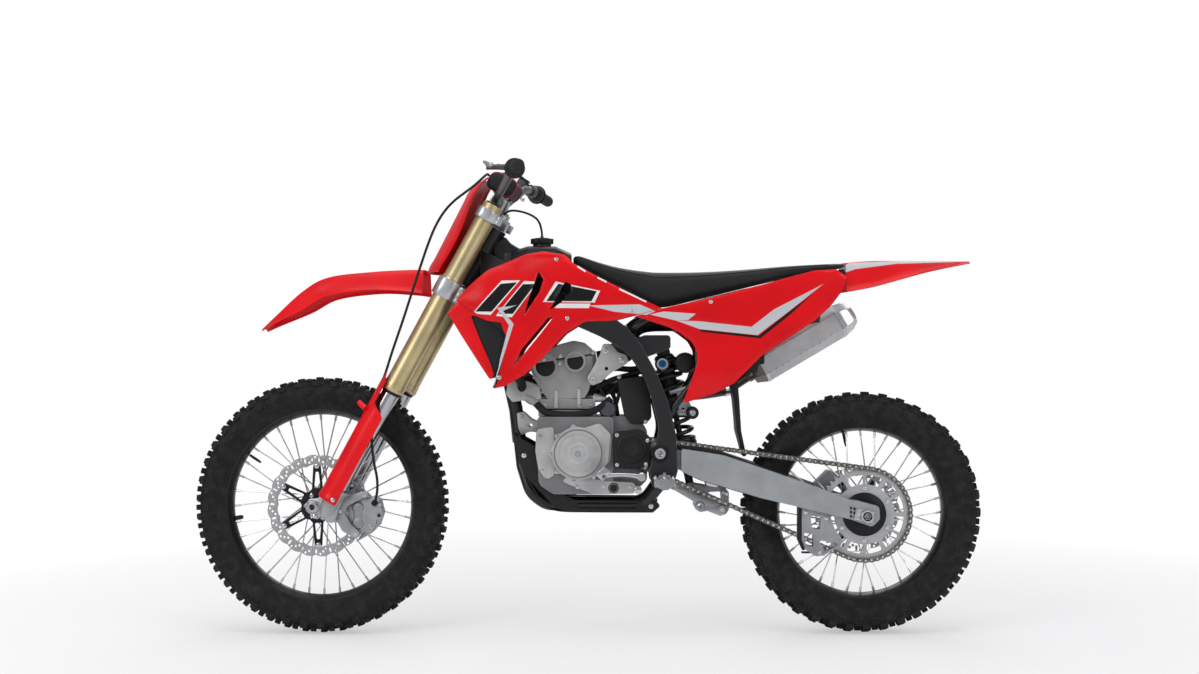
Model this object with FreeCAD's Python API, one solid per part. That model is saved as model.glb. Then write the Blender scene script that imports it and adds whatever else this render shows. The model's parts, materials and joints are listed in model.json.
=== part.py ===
import FreeCAD, Part
import math
import os

# A motocross bike, in millimetres. The model is laid out from the front axle's foot on the ground:
# X runs to the rear, Y to the rider's right, Z up. It is moved at the end so that its origin is
# the place where the rider sits, on the seat's top.

V = FreeCAD.Vector
UP = V(0, 0, 1)
ACROSS = V(0, 1, 0)

# Whole machine
WHEELBASE = 1473.0
SEAT_X = 980.0
SEAT_TOP_Z = 983.0
RUN_CLEAR = 0.1          # running clearance round shafts
SEAT_CLEAR = 0.3         # clearance between pieces that are screwed or clipped together
SKIN = 3.0               # thickness of the moulded panels

# Wheels
FRONT_TYRE_R = 349.0
FRONT_BEAD_R = 262.0
FRONT_BEAD_HALF = 35.0
FRONT_TREAD_HALF = 46.0
FRONT_LUG_H = 13.0
FRONT_LUGS = 64
REAR_TYRE_R = 329.0
REAR_BEAD_R = 238.0
REAR_BEAD_HALF = 44.0
REAR_TREAD_HALF = 57.0
REAR_LUG_H = 15.0
REAR_LUGS = 42
BEAD_SIDES = 48
RIM_DEPTH = 11.5
SPOKES = 36
SPOKE_T = 3.6
FRONT_AXLE_R = 11.0
FRONT_AXLE_BORE_R = 7.5
REAR_AXLE_R = 12.5
REAR_AXLE_BORE_R = 9.0
FRONT_DISC_R = 138.0
FRONT_DISC_Y = -61.0
REAR_DISC_R = 120.0
REAR_DISC_Y = 64.0
DISC_T = 4.0

# Steering and fork
RAKE = 28.5
FORK_OFFSET = 58.0       # from the steering axis to the front axle, square to the axis
LEG_AHEAD = 22.0         # from the steering axis to the legs, square to the axis
LEG_Y = 99.0
PARKED_TURN = -4.0       # the bars are left turned a little to the right
LEG_R = 24.0
TUBE_R = 29.0
TUBE_UPPER_R = 27.0
TUBE_BOTTOM = 372.0      # stations along the legs, from the axle's height
LOWER_CLAMP = (658.0, 709.0)
UPPER_CLAMP = (893.0, 923.0)
TUBE_TOP = 940.0
HEAD_TUBE_R = 31.0
STEM_R = 15.0
STEM_BORE_R = 7.0

# Handlebar, in the steering frame: behind the axis, across, along the axis
BAR_R = 11.1
BAR_AT = (-24.0, 955.0)
BAR_GRIP_AT = (36.0, 1046.0)
BAR_HALF = 405.0
GRIP_LEN = 120.0
GRIP_R = 16.0

# Chain drive
CHAIN_PITCH = 15.875
CHAIN_Y = -73.0
CHAIN_GAP = 6.8
PLATE_T = 2.2
PLATE_H = 14.0
REAR_TEETH = 49
FRONT_TEETH = 13
FRONT_SPROCKET_AT = (852.0, 504.0)
SPROCKET_T = 5.4

# Swingarm and suspension
PIVOT_AT = (921.0, 496.0)
PIVOT_R = 19.0
ARM_Y = (88.0, 118.0)
SHOCK_TOP = (932.0, 772.0)
SHOCK_FOOT = (1008.0, 398.0)
SPRING_R = 36.0
SPRING_WIRE_R = 6.0

REAR_HUB_AT = V(WHEELBASE, 0, REAR_TYRE_R)
COS_RAKE = math.cos(math.radians(RAKE))
SIN_RAKE = math.sin(math.radians(RAKE))
STEER_BASE = V(FORK_OFFSET * COS_RAKE, 0, FRONT_TYRE_R - FORK_OFFSET * SIN_RAKE)
STEER_UP = V(SIN_RAKE, 0, COS_RAKE)


# Small tools for outlines, plates and tubes

def rounded_wire(points, place):
    """A closed outline through (a, b) or (a, b, radius) corners, each radius a tangent arc."""
    count = len(points)
    flat = [V(p[0], p[1], 0) for p in points]
    starts = []
    ends = []
    middles = []
    for i in range(count):
        corner = flat[i]
        radius = points[i][2] if len(points[i]) > 2 else 0.0
        before = flat[i - 1].sub(corner)
        after = flat[(i + 1) % count].sub(corner)
        half = before.getAngle(after) / 2
        if radius <= 0 or half > 1.55:
            starts.append(corner)
            ends.append(corner)
            middles.append(None)
            continue
        reach = min(radius / math.tan(half), 0.49 * before.Length, 0.49 * after.Length)
        radius = reach * math.tan(half)
        before.normalize()
        after.normalize()
        starts.append(corner.add(before.multiply(reach)))
        ends.append(corner.add(after.multiply(reach)))
        inward = flat[i - 1].sub(corner).normalize().add(flat[(i + 1) % count].sub(corner).normalize())
        inward.normalize()
        middles.append(corner.add(inward.multiply(radius / math.sin(half) - radius)))
    edges = []
    for i in range(count):
        if middles[i] is not None:
            edges.append(Part.Arc(place(starts[i]), place(middles[i]), place(ends[i])).toShape())
        following = (i + 1) % count
        if ends[i].sub(starts[following]).Length > 1e-6:
            edges.append(Part.makeLine(place(ends[i]), place(starts[following])))
    return Part.Wire(edges)


def side_plate(points, y0, y1, holes=()):
    """A plate with an outline in the side view, between two places across; holes are (x, z, r)."""
    face = Part.Face(rounded_wire(points, lambda p: V(p.x, y0, p.y)))
    plate = face.extrude(V(0, y1 - y0, 0))
    for x, z, r in holes:
        plate = plate.cut(Part.makeCylinder(r, abs(y1 - y0) + 2, V(x, min(y0, y1) - 1, z), ACROSS))
    return plate


def rod(start, end, radius):
    way = end.sub(start)
    return Part.makeCylinder(radius, way.Length, start, way)


def pipe(start, end, radius, bore):
    return rod(start, end, radius).cut(rod(start, end, bore))


def bent_tube(points, radius, bend):
    """A round tube: straight runs joined by tangent arcs, each as large as bend and its runs allow."""
    pieces = []
    last = points[0]
    for i in range(1, len(points) - 1):
        corner = points[i]
        before = points[i - 1].sub(corner)
        after = points[i + 1].sub(corner)
        half = before.getAngle(after) / 2
        reach = min(bend / math.tan(half), 0.45 * before.Length, 0.45 * after.Length)
        bend_r = reach * math.tan(half)
        before.normalize()
        after.normalize()
        start = corner.add(V(before).multiply(reach))
        inward = before.add(after)
        inward.normalize()
        centre = corner.add(inward.multiply(bend_r / math.sin(half)))
        end = corner.add(V(after).multiply(reach))
        axis = start.sub(centre).cross(end.sub(centre))
        section = Part.Face(Part.Wire(Part.makeCircle(radius, start, start.sub(last))))
        pieces.append(rod(last, start, radius))
        pieces.append(section.revolve(centre, axis, 180 - math.degrees(2 * half)))
        last = end
    pieces.append(rod(last, points[-1], radius))
    return pieces[0].fuse(pieces[1:])


def bend_radii(points):
    """The radius of each arc where a hose's arcs are as large as its runs allow."""
    radii = []
    for i in range(1, len(points) - 1):
        before = points[i - 1].sub(points[i])
        after = points[i + 1].sub(points[i])
        radii.append(round(0.45 * min(before.Length, after.Length) * math.tan(before.getAngle(after) / 2)))
    return radii


def mirrored(shape):
    return shape.mirror(V(0, 0, 0), ACROSS)


def both_sides(shape):
    return Part.makeCompound([shape, mirrored(shape)])


def lofted(sections, ruled=True):
    return Part.makeLoft([Part.makePolygon(s + [s[0]]) for s in sections], True, ruled)


def fused(first, *others):
    return first.fuse(list(others)).removeSplitter()


def in_fork(shape, parked=True):
    """From the steering frame, whose Z is the steering axis, to the bike, with the parked turn."""
    placed = shape.copy()
    if parked:
        placed.rotate(V(0, 0, 0), UP, PARKED_TURN)
    placed.rotate(V(0, 0, 0), ACROSS, RAKE)
    placed.translate(STEER_BASE)
    return placed


def fork_point(behind, y, along):
    """A point of the steering frame, in the bike's own frame, with the bars straight."""
    return V(STEER_BASE.x + behind * COS_RAKE + along * SIN_RAKE, y,
             STEER_BASE.z - behind * SIN_RAKE + along * COS_RAKE)


def parked(shape):
    """Turns what is drawn with the bars straight by the parked turn."""
    placed = shape.copy()
    placed.rotate(STEER_BASE, STEER_UP, PARKED_TURN)
    return placed


# Wheels, made round the Y axis at the origin

def ring_point(r, y, angle):
    return V(r * math.cos(angle), y, r * math.sin(angle))


def lug_tyre(tip_r, tread_half, bead_r, bead_half, lug_h, lugs):
    """A tyre with a centre row and two shoulder rows of lugs, staggered by half a pitch."""
    shoulder = 0.40 * tread_half
    floor_mid = (tip_r - lug_h, shoulder)
    floor_out = (tip_r - 0.135 * tip_r, bead_half)
    crown = (tip_r, 0.36 * tread_half)
    knob_in = (tip_r - 0.35 * lug_h, 0.55 * tread_half)
    knob_out = (floor_out[0] + 0.55 * lug_h, tread_half)
    inner_r = bead_r + SEAT_CLEAR
    step = math.pi / lugs
    faces = []

    def quad(a, b, c, d):
        faces.append(Part.Face(Part.makePolygon([a, b, c, d, a])))

    def band(low, high, side_low, side_high, a0, a1):
        quad(ring_point(low, side_low, a0), ring_point(low, side_low, a1),
             ring_point(high, side_high, a1), ring_point(high, side_high, a0))

    for k in range(2 * lugs):
        a0 = k * step
        a1 = (k + 1) * step
        if k % 2 == 0:
            for side in (-1, 1):
                band(floor_out[0], floor_mid[0], side * floor_out[1], side * floor_mid[1], a0, a1)
                band(floor_mid[0], crown[0], side * floor_mid[1], side * crown[1], a0, a1)
            band(crown[0], crown[0], -crown[1], crown[1], a0, a1)
            for a in (a0, a1):
                quad(ring_point(floor_mid[0], -floor_mid[1], a), ring_point(crown[0], -crown[1], a),
                     ring_point(crown[0], crown[1], a), ring_point(floor_mid[0], floor_mid[1], a))
        else:
            band(floor_mid[0], floor_mid[0], -floor_mid[1], floor_mid[1], a0, a1)
            for side in (-1, 1):
                rows = (floor_out, knob_out, knob_in, floor_mid)
                for low, high in zip(rows, rows[1:]):
                    band(low[0], high[0], side * low[1], side * high[1], a0, a1)
                for a in (a0, a1):
                    quad(*[ring_point(p[0], side * p[1], a) for p in rows])
    inner_step = 2 * math.pi / BEAD_SIDES
    for k in range(BEAD_SIDES):
        band(inner_r, inner_r, -bead_half, bead_half, k * inner_step, (k + 1) * inner_step)
    for side in (-1, 1):
        outer = [ring_point(floor_out[0], side * bead_half, k * step) for k in range(2 * lugs)]
        inner = [ring_point(inner_r, side * bead_half, k * inner_step) for k in range(BEAD_SIDES)]
        wall = Part.Face(Part.makePolygon(outer + outer[:1]))
        faces.append(wall.cut(Part.Face(Part.makePolygon(inner + inner[:1]))).Faces[0])
    shell = Part.makeShell(faces)
    shell.sewShape()
    tyre = Part.makeSolid(shell.Shells[0] if shell.Shells else shell)
    if tyre.Volume < 0:
        tyre.reverse()
    return tyre


def revolved(profile):
    """A ring from an (r, y) profile turned round the Y axis."""
    points = [V(r, y, 0) for r, y in profile]
    return Part.Face(Part.makePolygon(points + points[:1])).revolve(V(0, 0, 0), ACROSS, 360)


def rim(bead_r, half):
    """The rim's section: flanges at the beads, sloping to the narrow bed that takes the spokes."""
    outer = bead_r * math.cos(math.pi / BEAD_SIDES) - SEAT_CLEAR
    bed = 0.42 * half
    return revolved([(outer, -half), (outer - RIM_DEPTH, -bed), (outer - RIM_DEPTH, bed), (outer, half)])


def spoked_hub(flange_r, flange_y, barrel_r, bore_r, rim_bed_r, axle_half):
    """A hub with two flanges and its laced spokes."""
    t = 3.5
    barrel = revolved([(bore_r, -axle_half), (bore_r + 8, -axle_half), (bore_r + 9, -flange_y - t),
                       (flange_r, -flange_y - t), (flange_r, -flange_y + t), (barrel_r, -flange_y + t + 8),
                       (barrel_r, flange_y - t - 8), (flange_r, flange_y - t), (flange_r, flange_y + t),
                       (bore_r + 9, flange_y + t), (bore_r + 8, axle_half), (bore_r, axle_half)])
    spokes = []
    per_side = SPOKES // 2
    for k in range(SPOKES):
        side = 1 if k % 2 else -1
        at_rim = 2 * math.pi * k / SPOKES
        pair = 1 if (k // 2) % 2 else -1
        at_hub = at_rim + pair * 2 * math.pi / per_side * 3.6
        start = ring_point(flange_r - 4, side * flange_y, at_hub)
        end = ring_point(rim_bed_r + 2, side * 3.0, at_rim)
        way = end.sub(start)
        across = way.cross(ACROSS)
        across.normalize()
        other = way.cross(across)
        other.normalize()
        h = SPOKE_T / 2
        corners = [start.add(V(across).multiply(a * h)).add(V(other).multiply(b * h))
                   for a, b in ((1, 0), (0, 1), (-1, 0), (0, -1))]
        spokes.append(Part.Face(Part.makePolygon(corners + corners[:1])).extrude(way))
    return barrel, spokes


def fused_wheel_core(flange_r, flange_y, barrel_r, bore_r, bead_r, bead_half, axle_half):
    bed_r = bead_r * math.cos(math.pi / BEAD_SIDES) - SEAT_CLEAR - RIM_DEPTH
    barrel, spokes = spoked_hub(flange_r, flange_y, barrel_r, bore_r, bed_r - 2 - SEAT_CLEAR, axle_half)
    return barrel.fuse(spokes)


def wavy_disc(radius, band, arm_r, arms, hub_r, y, lobes):
    """A brake disc with a wavy rim, a row of holes and a carrier with straight arms."""
    outline = []
    for k in range(lobes):
        for share, r in ((0.0, radius - 4), (0.25, radius), (0.6, radius)):
            outline.append(ring_point(r, y, 2 * math.pi * (k + share) / lobes))
    blank = Part.Face(Part.makePolygon(outline + outline[:1])).extrude(V(0, DISC_T, 0))
    inside = Part.makeCylinder(radius - band, DISC_T + 2, V(0, y - 1, 0), ACROSS)
    disc = blank.cut(inside)
    hub = Part.makeCylinder(hub_r + 12, DISC_T, V(0, y, 0), ACROSS)
    pieces = [hub]
    for k in range(arms):
        arm = Part.makeBox(radius - band + 4 - hub_r, DISC_T, arm_r, V(hub_r, y, -arm_r / 2))
        arm.rotate(V(0, 0, 0), ACROSS, 360.0 * k / arms)
        pieces.append(arm)
    disc = disc.fuse(pieces)
    return disc.cut(Part.makeCylinder(hub_r, DISC_T + 2, V(0, y - 1, 0), ACROSS))


def sprocket(hub_r):
    """The rear sprocket: pointed teeth, and a ring of windows."""
    pitch_r = CHAIN_PITCH / 2 / math.sin(math.pi / REAR_TEETH)
    outline = []
    for k in range(REAR_TEETH):
        for share, r in ((0.0, pitch_r - 5), (0.38, pitch_r + 4), (0.62, pitch_r + 4)):
            outline.append(ring_point(r, 0, 2 * math.pi * (k + share) / REAR_TEETH))
    y0 = CHAIN_Y - SPROCKET_T / 2
    wheel = Part.Face(Part.makePolygon(outline + outline[:1])).extrude(V(0, SPROCKET_T, 0))
    wheel.translate(V(0, y0, 0))
    windows = 6
    for k in range(windows):
        a = 2 * math.pi * k / windows
        wide = 0.62 * math.pi / windows
        corners = [ring_point(pitch_r - 18, y0 - 1, a - wide), ring_point(pitch_r - 14, y0 - 1, a),
                   ring_point(pitch_r - 18, y0 - 1, a + wide), ring_point(hub_r + 18, y0 - 1, a + wide),
                   ring_point(hub_r + 18, y0 - 1, a - wide)]
        wheel = wheel.cut(Part.Face(Part.makePolygon(corners + corners[:1])).extrude(V(0, SPROCKET_T + 2, 0)))
    return wheel.cut(Part.makeCylinder(hub_r, SPROCKET_T + 2, V(0, y0 - 1, 0), ACROSS))


def plan_plate(points, z0, z1):
    """A plate with an outline seen from above, between two heights."""
    face = Part.Face(rounded_wire(points, lambda p: V(p.x, p.y, z0)))
    return face.extrude(V(0, 0, z1 - z0))


def mirrored_outline(half):
    """Closes an outline given on the +Y side only, from back to front."""
    return half + [(p[0], -p[1]) + tuple(p[2:]) for p in reversed(half)]


def box_between(x0, x1, y0, y1, z0, z1):
    return Part.makeBox(x1 - x0, y1 - y0, z1 - z0, V(x0, y0, z0))


# Front wheel

FRONT_HUB_HALF = 62.0
FRONT_NOSE_R = FRONT_AXLE_R + 8
REAR_HUB_HALF = 79.0
REAR_NOSE_R = REAR_AXLE_R + 8


def on_front_axle(shape):
    moved = shape.copy()
    moved.translate(V(-FORK_OFFSET, 0, 0))
    return in_fork(moved)


def front_tyre():
    return on_front_axle(lug_tyre(FRONT_TYRE_R, FRONT_TREAD_HALF, FRONT_BEAD_R, FRONT_BEAD_HALF,
                                  FRONT_LUG_H, FRONT_LUGS))


def front_rim():
    return on_front_axle(rim(FRONT_BEAD_R, FRONT_BEAD_HALF))


def front_hub():
    return on_front_axle(fused_wheel_core(30, 32, 19, FRONT_AXLE_R + RUN_CLEAR, FRONT_BEAD_R,
                                          FRONT_BEAD_HALF, FRONT_HUB_HALF))


def front_disc():
    return on_front_axle(wavy_disc(FRONT_DISC_R, 26, 11, 6, FRONT_NOSE_R + 1.0 + SEAT_CLEAR,
                                   FRONT_DISC_Y, 20))


# Rear wheel

def on_rear_axle(shape):
    return shape.translated(REAR_HUB_AT)


def rear_tyre():
    return on_rear_axle(lug_tyre(REAR_TYRE_R, REAR_TREAD_HALF, REAR_BEAD_R, REAR_BEAD_HALF,
                                 REAR_LUG_H, REAR_LUGS))


def rear_rim():
    return on_rear_axle(rim(REAR_BEAD_R, REAR_BEAD_HALF))


def rear_hub():
    return on_rear_axle(fused_wheel_core(40, 36, 26, REAR_AXLE_R + RUN_CLEAR, REAR_BEAD_R,
                                         REAR_BEAD_HALF, REAR_HUB_HALF))


def rear_disc():
    return on_rear_axle(wavy_disc(REAR_DISC_R, 24, 11, 6, REAR_NOSE_R + 1.0 + SEAT_CLEAR, REAR_DISC_Y, 18))


def rear_sprocket():
    return on_rear_axle(sprocket(REAR_NOSE_R + 1.0 + SEAT_CLEAR))


# Axles

def front_axle():
    half = LEG_Y + 27
    shaft = pipe(V(0, -half, 0), V(0, half, 0), FRONT_AXLE_R, FRONT_AXLE_BORE_R)
    foot_in = LEG_Y - FOOT_HALF
    foot_out = LEG_Y + FOOT_HALF
    for side in (-1, 1):
        spacer = pipe(V(0, side * (FRONT_HUB_HALF + SEAT_CLEAR), 0), V(0, side * (foot_in - RUN_CLEAR), 0),
                      FRONT_AXLE_R + 6, FRONT_AXLE_R - 1)
        nut = pipe(V(0, side * (foot_out + RUN_CLEAR), 0), V(0, side * (foot_out + 8), 0),
                   FRONT_AXLE_R + 6, FRONT_AXLE_R - 1)
        shaft = shaft.fuse([spacer, nut])
    return on_front_axle(shaft.removeSplitter())


def rear_axle():
    half = ARM_Y[1] + 16
    shaft = pipe(V(0, -half, 0), V(0, half, 0), REAR_AXLE_R, REAR_AXLE_BORE_R)
    left_spacer = pipe(V(0, -ARM_Y[0] + RUN_CLEAR, 0), V(0, -REAR_HUB_HALF - SEAT_CLEAR, 0),
                       REAR_AXLE_R + 7, REAR_AXLE_R - 1)
    ends = [pipe(V(0, side * (ARM_Y[1] + RUN_CLEAR), 0), V(0, side * (ARM_Y[1] + 11), 0),
                 REAR_AXLE_R + 7, REAR_AXLE_R - 1) for side in (-1, 1)]
    return on_rear_axle(shaft.fuse([left_spacer] + ends).removeSplitter())


# Fork, drawn in the steering frame

FOOT_HALF = 17.0
FOOT_TOP = 66.0
GUARD_R = 37.0


def leg_rod(z0, z1, radius):
    return rod(V(-LEG_AHEAD, LEG_Y, z0), V(-LEG_AHEAD, LEG_Y, z1), radius)


def fork_legs():
    """Each sliding leg with its foot, which carries the axle ahead of the leg."""
    foot = side_plate([(-FORK_OFFSET - 19, -14, 12), (-FORK_OFFSET - 19, 14, 12), (-50, FOOT_TOP, 10),
                       (6, FOOT_TOP, 6), (6, -26, 10), (-40, -28, 12)],
                      LEG_Y - FOOT_HALF, LEG_Y + FOOT_HALF,
                      [(-FORK_OFFSET, 0, FRONT_AXLE_R + RUN_CLEAR)])
    collar = leg_rod(FOOT_TOP, FOOT_TOP + 8, GUARD_R - SEAT_CLEAR)
    leg = leg_rod(FOOT_TOP, TUBE_BOTTOM, LEG_R)
    return in_fork(both_sides(fused(foot, collar, leg)))


def fork_tubes():
    """The outer tubes: a dust collar, the thick lower part, the upper part and the cap."""
    tube = fused(leg_rod(TUBE_BOTTOM, TUBE_BOTTOM + 25, TUBE_R + 1.5),
                 leg_rod(TUBE_BOTTOM + 25, LOWER_CLAMP[1] + 6, TUBE_R),
                 leg_rod(LOWER_CLAMP[1] + 6, TUBE_TOP, TUBE_UPPER_R),
                 leg_rod(TUBE_TOP, TUBE_TOP + 3.5, TUBE_UPPER_R - 6))
    return in_fork(both_sides(tube))


def clamp_outline(tube_r):
    wall = tube_r + 7
    return mirrored_outline([(26, 20, 16), (8, 56, 20), (wall - LEG_AHEAD, LEG_Y + wall, wall - 0.5),
                             (-wall - LEG_AHEAD, LEG_Y + wall, wall - 0.5), (-wall - LEG_AHEAD, 62, 30),
                             (-34, 30, 30)])


def clamp_plate(span, tube_r):
    plate = plan_plate(clamp_outline(tube_r), span[0], span[1])
    for side in (-1, 1):
        plate = plate.cut(rod(V(-LEG_AHEAD, side * LEG_Y, span[0] - 1),
                              V(-LEG_AHEAD, side * LEG_Y, span[1] + 1),
                              tube_r + RUN_CLEAR))
    return plate


BAR_SLEEVE_R = 14.3
BAR_CLAMP_TOP = BAR_AT[1] + BAR_SLEEVE_R + 6


def triple_clamps():
    """Both clamps, the stem between them, its nut and the two bar clamps."""
    lower = clamp_plate(LOWER_CLAMP, TUBE_R)
    upper = clamp_plate(UPPER_CLAMP, TUBE_UPPER_R)
    stem = rod(V(0, 0, LOWER_CLAMP[0]), V(0, 0, UPPER_CLAMP[1] + 9), STEM_R)
    nut = rod(V(0, 0, UPPER_CLAMP[1]), V(0, 0, UPPER_CLAMP[1] + 8), STEM_R + 4)
    body = lower.fuse([upper, stem, nut])
    grip_half = BAR_SLEEVE_R + 7
    for side in (-1, 1):
        y0, y1 = sorted((side * 25, side * 52))
        block = box_between(BAR_AT[0] - grip_half, BAR_AT[0] + grip_half, y0, y1, UPPER_CLAMP[1] - 1,
                            BAR_CLAMP_TOP)
        body = body.fuse(block)
    body = body.cut(rod(V(BAR_AT[0], -60, BAR_AT[1]), V(BAR_AT[0], 60, BAR_AT[1]), BAR_SLEEVE_R + RUN_CLEAR))
    bore = rod(V(0, 0, UPPER_CLAMP[1] - 40), V(0, 0, UPPER_CLAMP[1] + 20), STEM_BORE_R)
    return in_fork(body.cut(bore).removeSplitter())


def fork_guards():
    """Half pipes over the front and outer side of each leg."""
    top = TUBE_BOTTOM - 2
    outer = leg_rod(FOOT_TOP, top + 40, GUARD_R + SKIN)
    shell = outer.cut(leg_rod(FOOT_TOP - 1, top + 41, GUARD_R))
    keep = plan_plate([(-LEG_AHEAD + 18, LEG_Y), (-LEG_AHEAD + 18, LEG_Y + 60), (-LEG_AHEAD - 60, LEG_Y + 60),
                       (-LEG_AHEAD - 60, LEG_Y - 16), (-LEG_AHEAD, LEG_Y - 16)], FOOT_TOP - 1, top + 41)
    slope = side_plate([(-90, top + 42), (-90, top + 14), (-30, top - 38), (20, top - 74), (20, top + 42)],
                       0, LEG_Y + 70)
    return in_fork(both_sides(shell.common(keep).cut(slope)))


BAR_RISE = V(-8, 182, 1037)
BAR_END = V(BAR_GRIP_AT[0], BAR_HALF, BAR_GRIP_AT[1])


def bar_point(from_end, side):
    way = BAR_RISE.sub(BAR_END)
    way.normalize()
    p = BAR_END.add(way.multiply(from_end))
    return V(p.x, side * p.y, p.z)


def bar_tube(radius):
    right = [V(BAR_AT[0], 84, BAR_AT[1]), BAR_RISE, BAR_END]
    left = [V(p.x, -p.y, p.z) for p in reversed(right)]
    return bent_tube(left + right, radius, 60)


def handlebar():
    sleeve = rod(V(BAR_AT[0], -66, BAR_AT[1]), V(BAR_AT[0], 66, BAR_AT[1]), BAR_SLEEVE_R)
    return in_fork(bar_tube(BAR_R).fuse(sleeve))


def bar_pad():
    low = BAR_CLAMP_TOP + SEAT_CLEAR
    pad = side_plate([(-72, low, 14), (-74, low + 34, 16), (-34, low + 52, 18), (6, low + 48, 16),
                      (8, low, 12)],
                     -84, 84)
    return in_fork(pad)


def grips():
    solids = []
    for side in (-1, 1):
        sleeve = pipe(bar_point(0, side), bar_point(GRIP_LEN, side), GRIP_R, BAR_R + SEAT_CLEAR)
        flange = pipe(bar_point(GRIP_LEN - 5, side), bar_point(GRIP_LEN, side),
                      GRIP_R + 11, BAR_R + SEAT_CLEAR)
        solids.append(sleeve.fuse(flange).removeSplitter())
    return in_fork(Part.makeCompound(solids))


LEVER_Z = BAR_GRIP_AT[1] - 12


def lever(side, pivot_from_end):
    """A lever blade ahead of the grip, with its perch round the bar."""
    start = bar_point(pivot_from_end, side)
    end = bar_point(pivot_from_end + 24, side)
    perch = rod(start, end, BAR_R + 7)
    reach = box_between(start.x - 66, start.x - 8, *sorted((start.y, start.y - side * 22)),
                        LEVER_Z - 2, LEVER_Z + 14)
    tip = BAR_HALF - 6
    root = abs(start.y) - 20
    blade = plan_plate([(start.x - 66, side * root, 4), (start.x - 48, side * root, 4),
                        (start.x - 56, side * (root + 70), 40), (start.x - 34, side * tip, 5),
                        (start.x - 44, side * (tip + 4), 5), (start.x - 70, side * (root + 70), 40)],
                       LEVER_Z, LEVER_Z + 9)
    return perch.fuse([reach, blade])


def hand_controls():
    room = bar_tube(BAR_R + SEAT_CLEAR)
    left = lever(-1, GRIP_LEN + 12)
    housing = rod(bar_point(GRIP_LEN + SEAT_CLEAR, 1), bar_point(GRIP_LEN + 34, 1), GRIP_R + 8)
    at = bar_point(GRIP_LEN + 44, 1)
    tank = box_between(at.x - 46, at.x - 16, at.y - 46, at.y + 2, LEVER_Z + 4, LEVER_Z + 30)
    right = lever(1, GRIP_LEN + 44).fuse(tank)
    return in_fork(Part.makeCompound([left.cut(room), housing.cut(room), right.cut(room)]))


def front_caliper():
    """The caliper over the disc's rear edge, on a bracket at the left foot."""
    body = side_plate([(10, 72, 10), (76, 104, 12), (126, 14, 12), (66, -14, 12)], -84, -44)
    slot = rod(V(-FORK_OFFSET, FRONT_DISC_Y - 5, 0), V(-FORK_OFFSET, FRONT_DISC_Y + DISC_T + 5, 0),
               FRONT_DISC_R + 5)
    bracket = side_plate([(6.3, -20, 4), (6.3, 60, 4), (60, 70, 10), (80, 0, 10), (40, -26, 10)], -97, -83)
    return in_fork(body.cut(slot).fuse(bracket).removeSplitter())


HOSE_R = 3.5
WIDEST_BEND = 2000.0     # a hose's arcs are as large as its runs allow
HOSE_ROUTE = [V(-4, 168, 1046), V(-20, 130, 1060), V(-62, 92, 1046), V(-82, 56, 1020), V(-86, 0, 1008),
              V(-84, -52, 1010), V(-84, -88, 990), V(-88, -116, 962), V(-100, -132, 930),
              V(-116, -130, 896), V(-128, -116, 858), V(-131, -106, 812), V(-126, -101, 764),
              V(-118, -100, 716), V(-108, -104, 667), V(-97, -111, 614), V(-85, -119, 560),
              V(-75, -124, 506), V(-66, -122, 452), V(-57, -115, 404), V(-54, -115.5, 368),
              V(-42.5, -120, 330), V(-30, -127.5, 292), V(-14, -127.5, 254), V(4, -122, 220),
              V(30, -115, 182), V(58, -113, 150), V(74, -111, 120), V(80, -103, 96), V(79.1, -86.1, 85.2)]


def brake_hose():
    return in_fork(bent_tube(HOSE_ROUTE, HOSE_R, WIDEST_BEND))


# Front bodywork, drawn with the bars straight

def arched_section(x, top, low, half, crown=0.62):
    """A thin arch across the bike: a flat-topped channel with sloping sides."""
    t = SKIN
    outer = [V(x, -half, low), V(x, -half * 0.94, low + 0.62 * (top - low)), V(x, -half * crown, top - 3),
             V(x, 0, top), V(x, half * crown, top - 3), V(x, half * 0.94, low + 0.62 * (top - low)),
             V(x, half, low)]
    inner = [V(x, half - t, low), V(x, half * 0.94 - t, low + 0.62 * (top - low) - 1),
             V(x, half * crown - 1, top - 3 - t), V(x, 0, top - t), V(x, -half * crown + 1, top - 3 - t),
             V(x, -half * 0.94 + t, low + 0.62 * (top - low) - 1), V(x, -half + t, low)]
    return outer + inner


def front_fender():
    stations = [(-165, 832, 822, 34), (-130, 862, 838, 52), (-48, 933, 868, 70), (24, 970, 909, 80),
                (144, 984, 925, 86), (240, 989, 921, 88), (286, 989, 913, 88)]
    shell = lofted([arched_section(*s) for s in stations])
    x, top, low, half = stations[-1]
    web = Part.Face(Part.makePolygon(arched_section(x - 4, top, low, half)[:7]
                                     + arched_section(x - 4, top, low, half)[:1])).extrude(V(4, 0, 0))
    tab = box_between(-98, 16, -42, 42, LOWER_CLAMP[0] - 8, LOWER_CLAMP[0] - SEAT_CLEAR)
    return parked(shell.fuse([web, in_fork(tab, parked=False)]).removeSplitter())


PLATE_BOTTOM = 990.0


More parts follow.
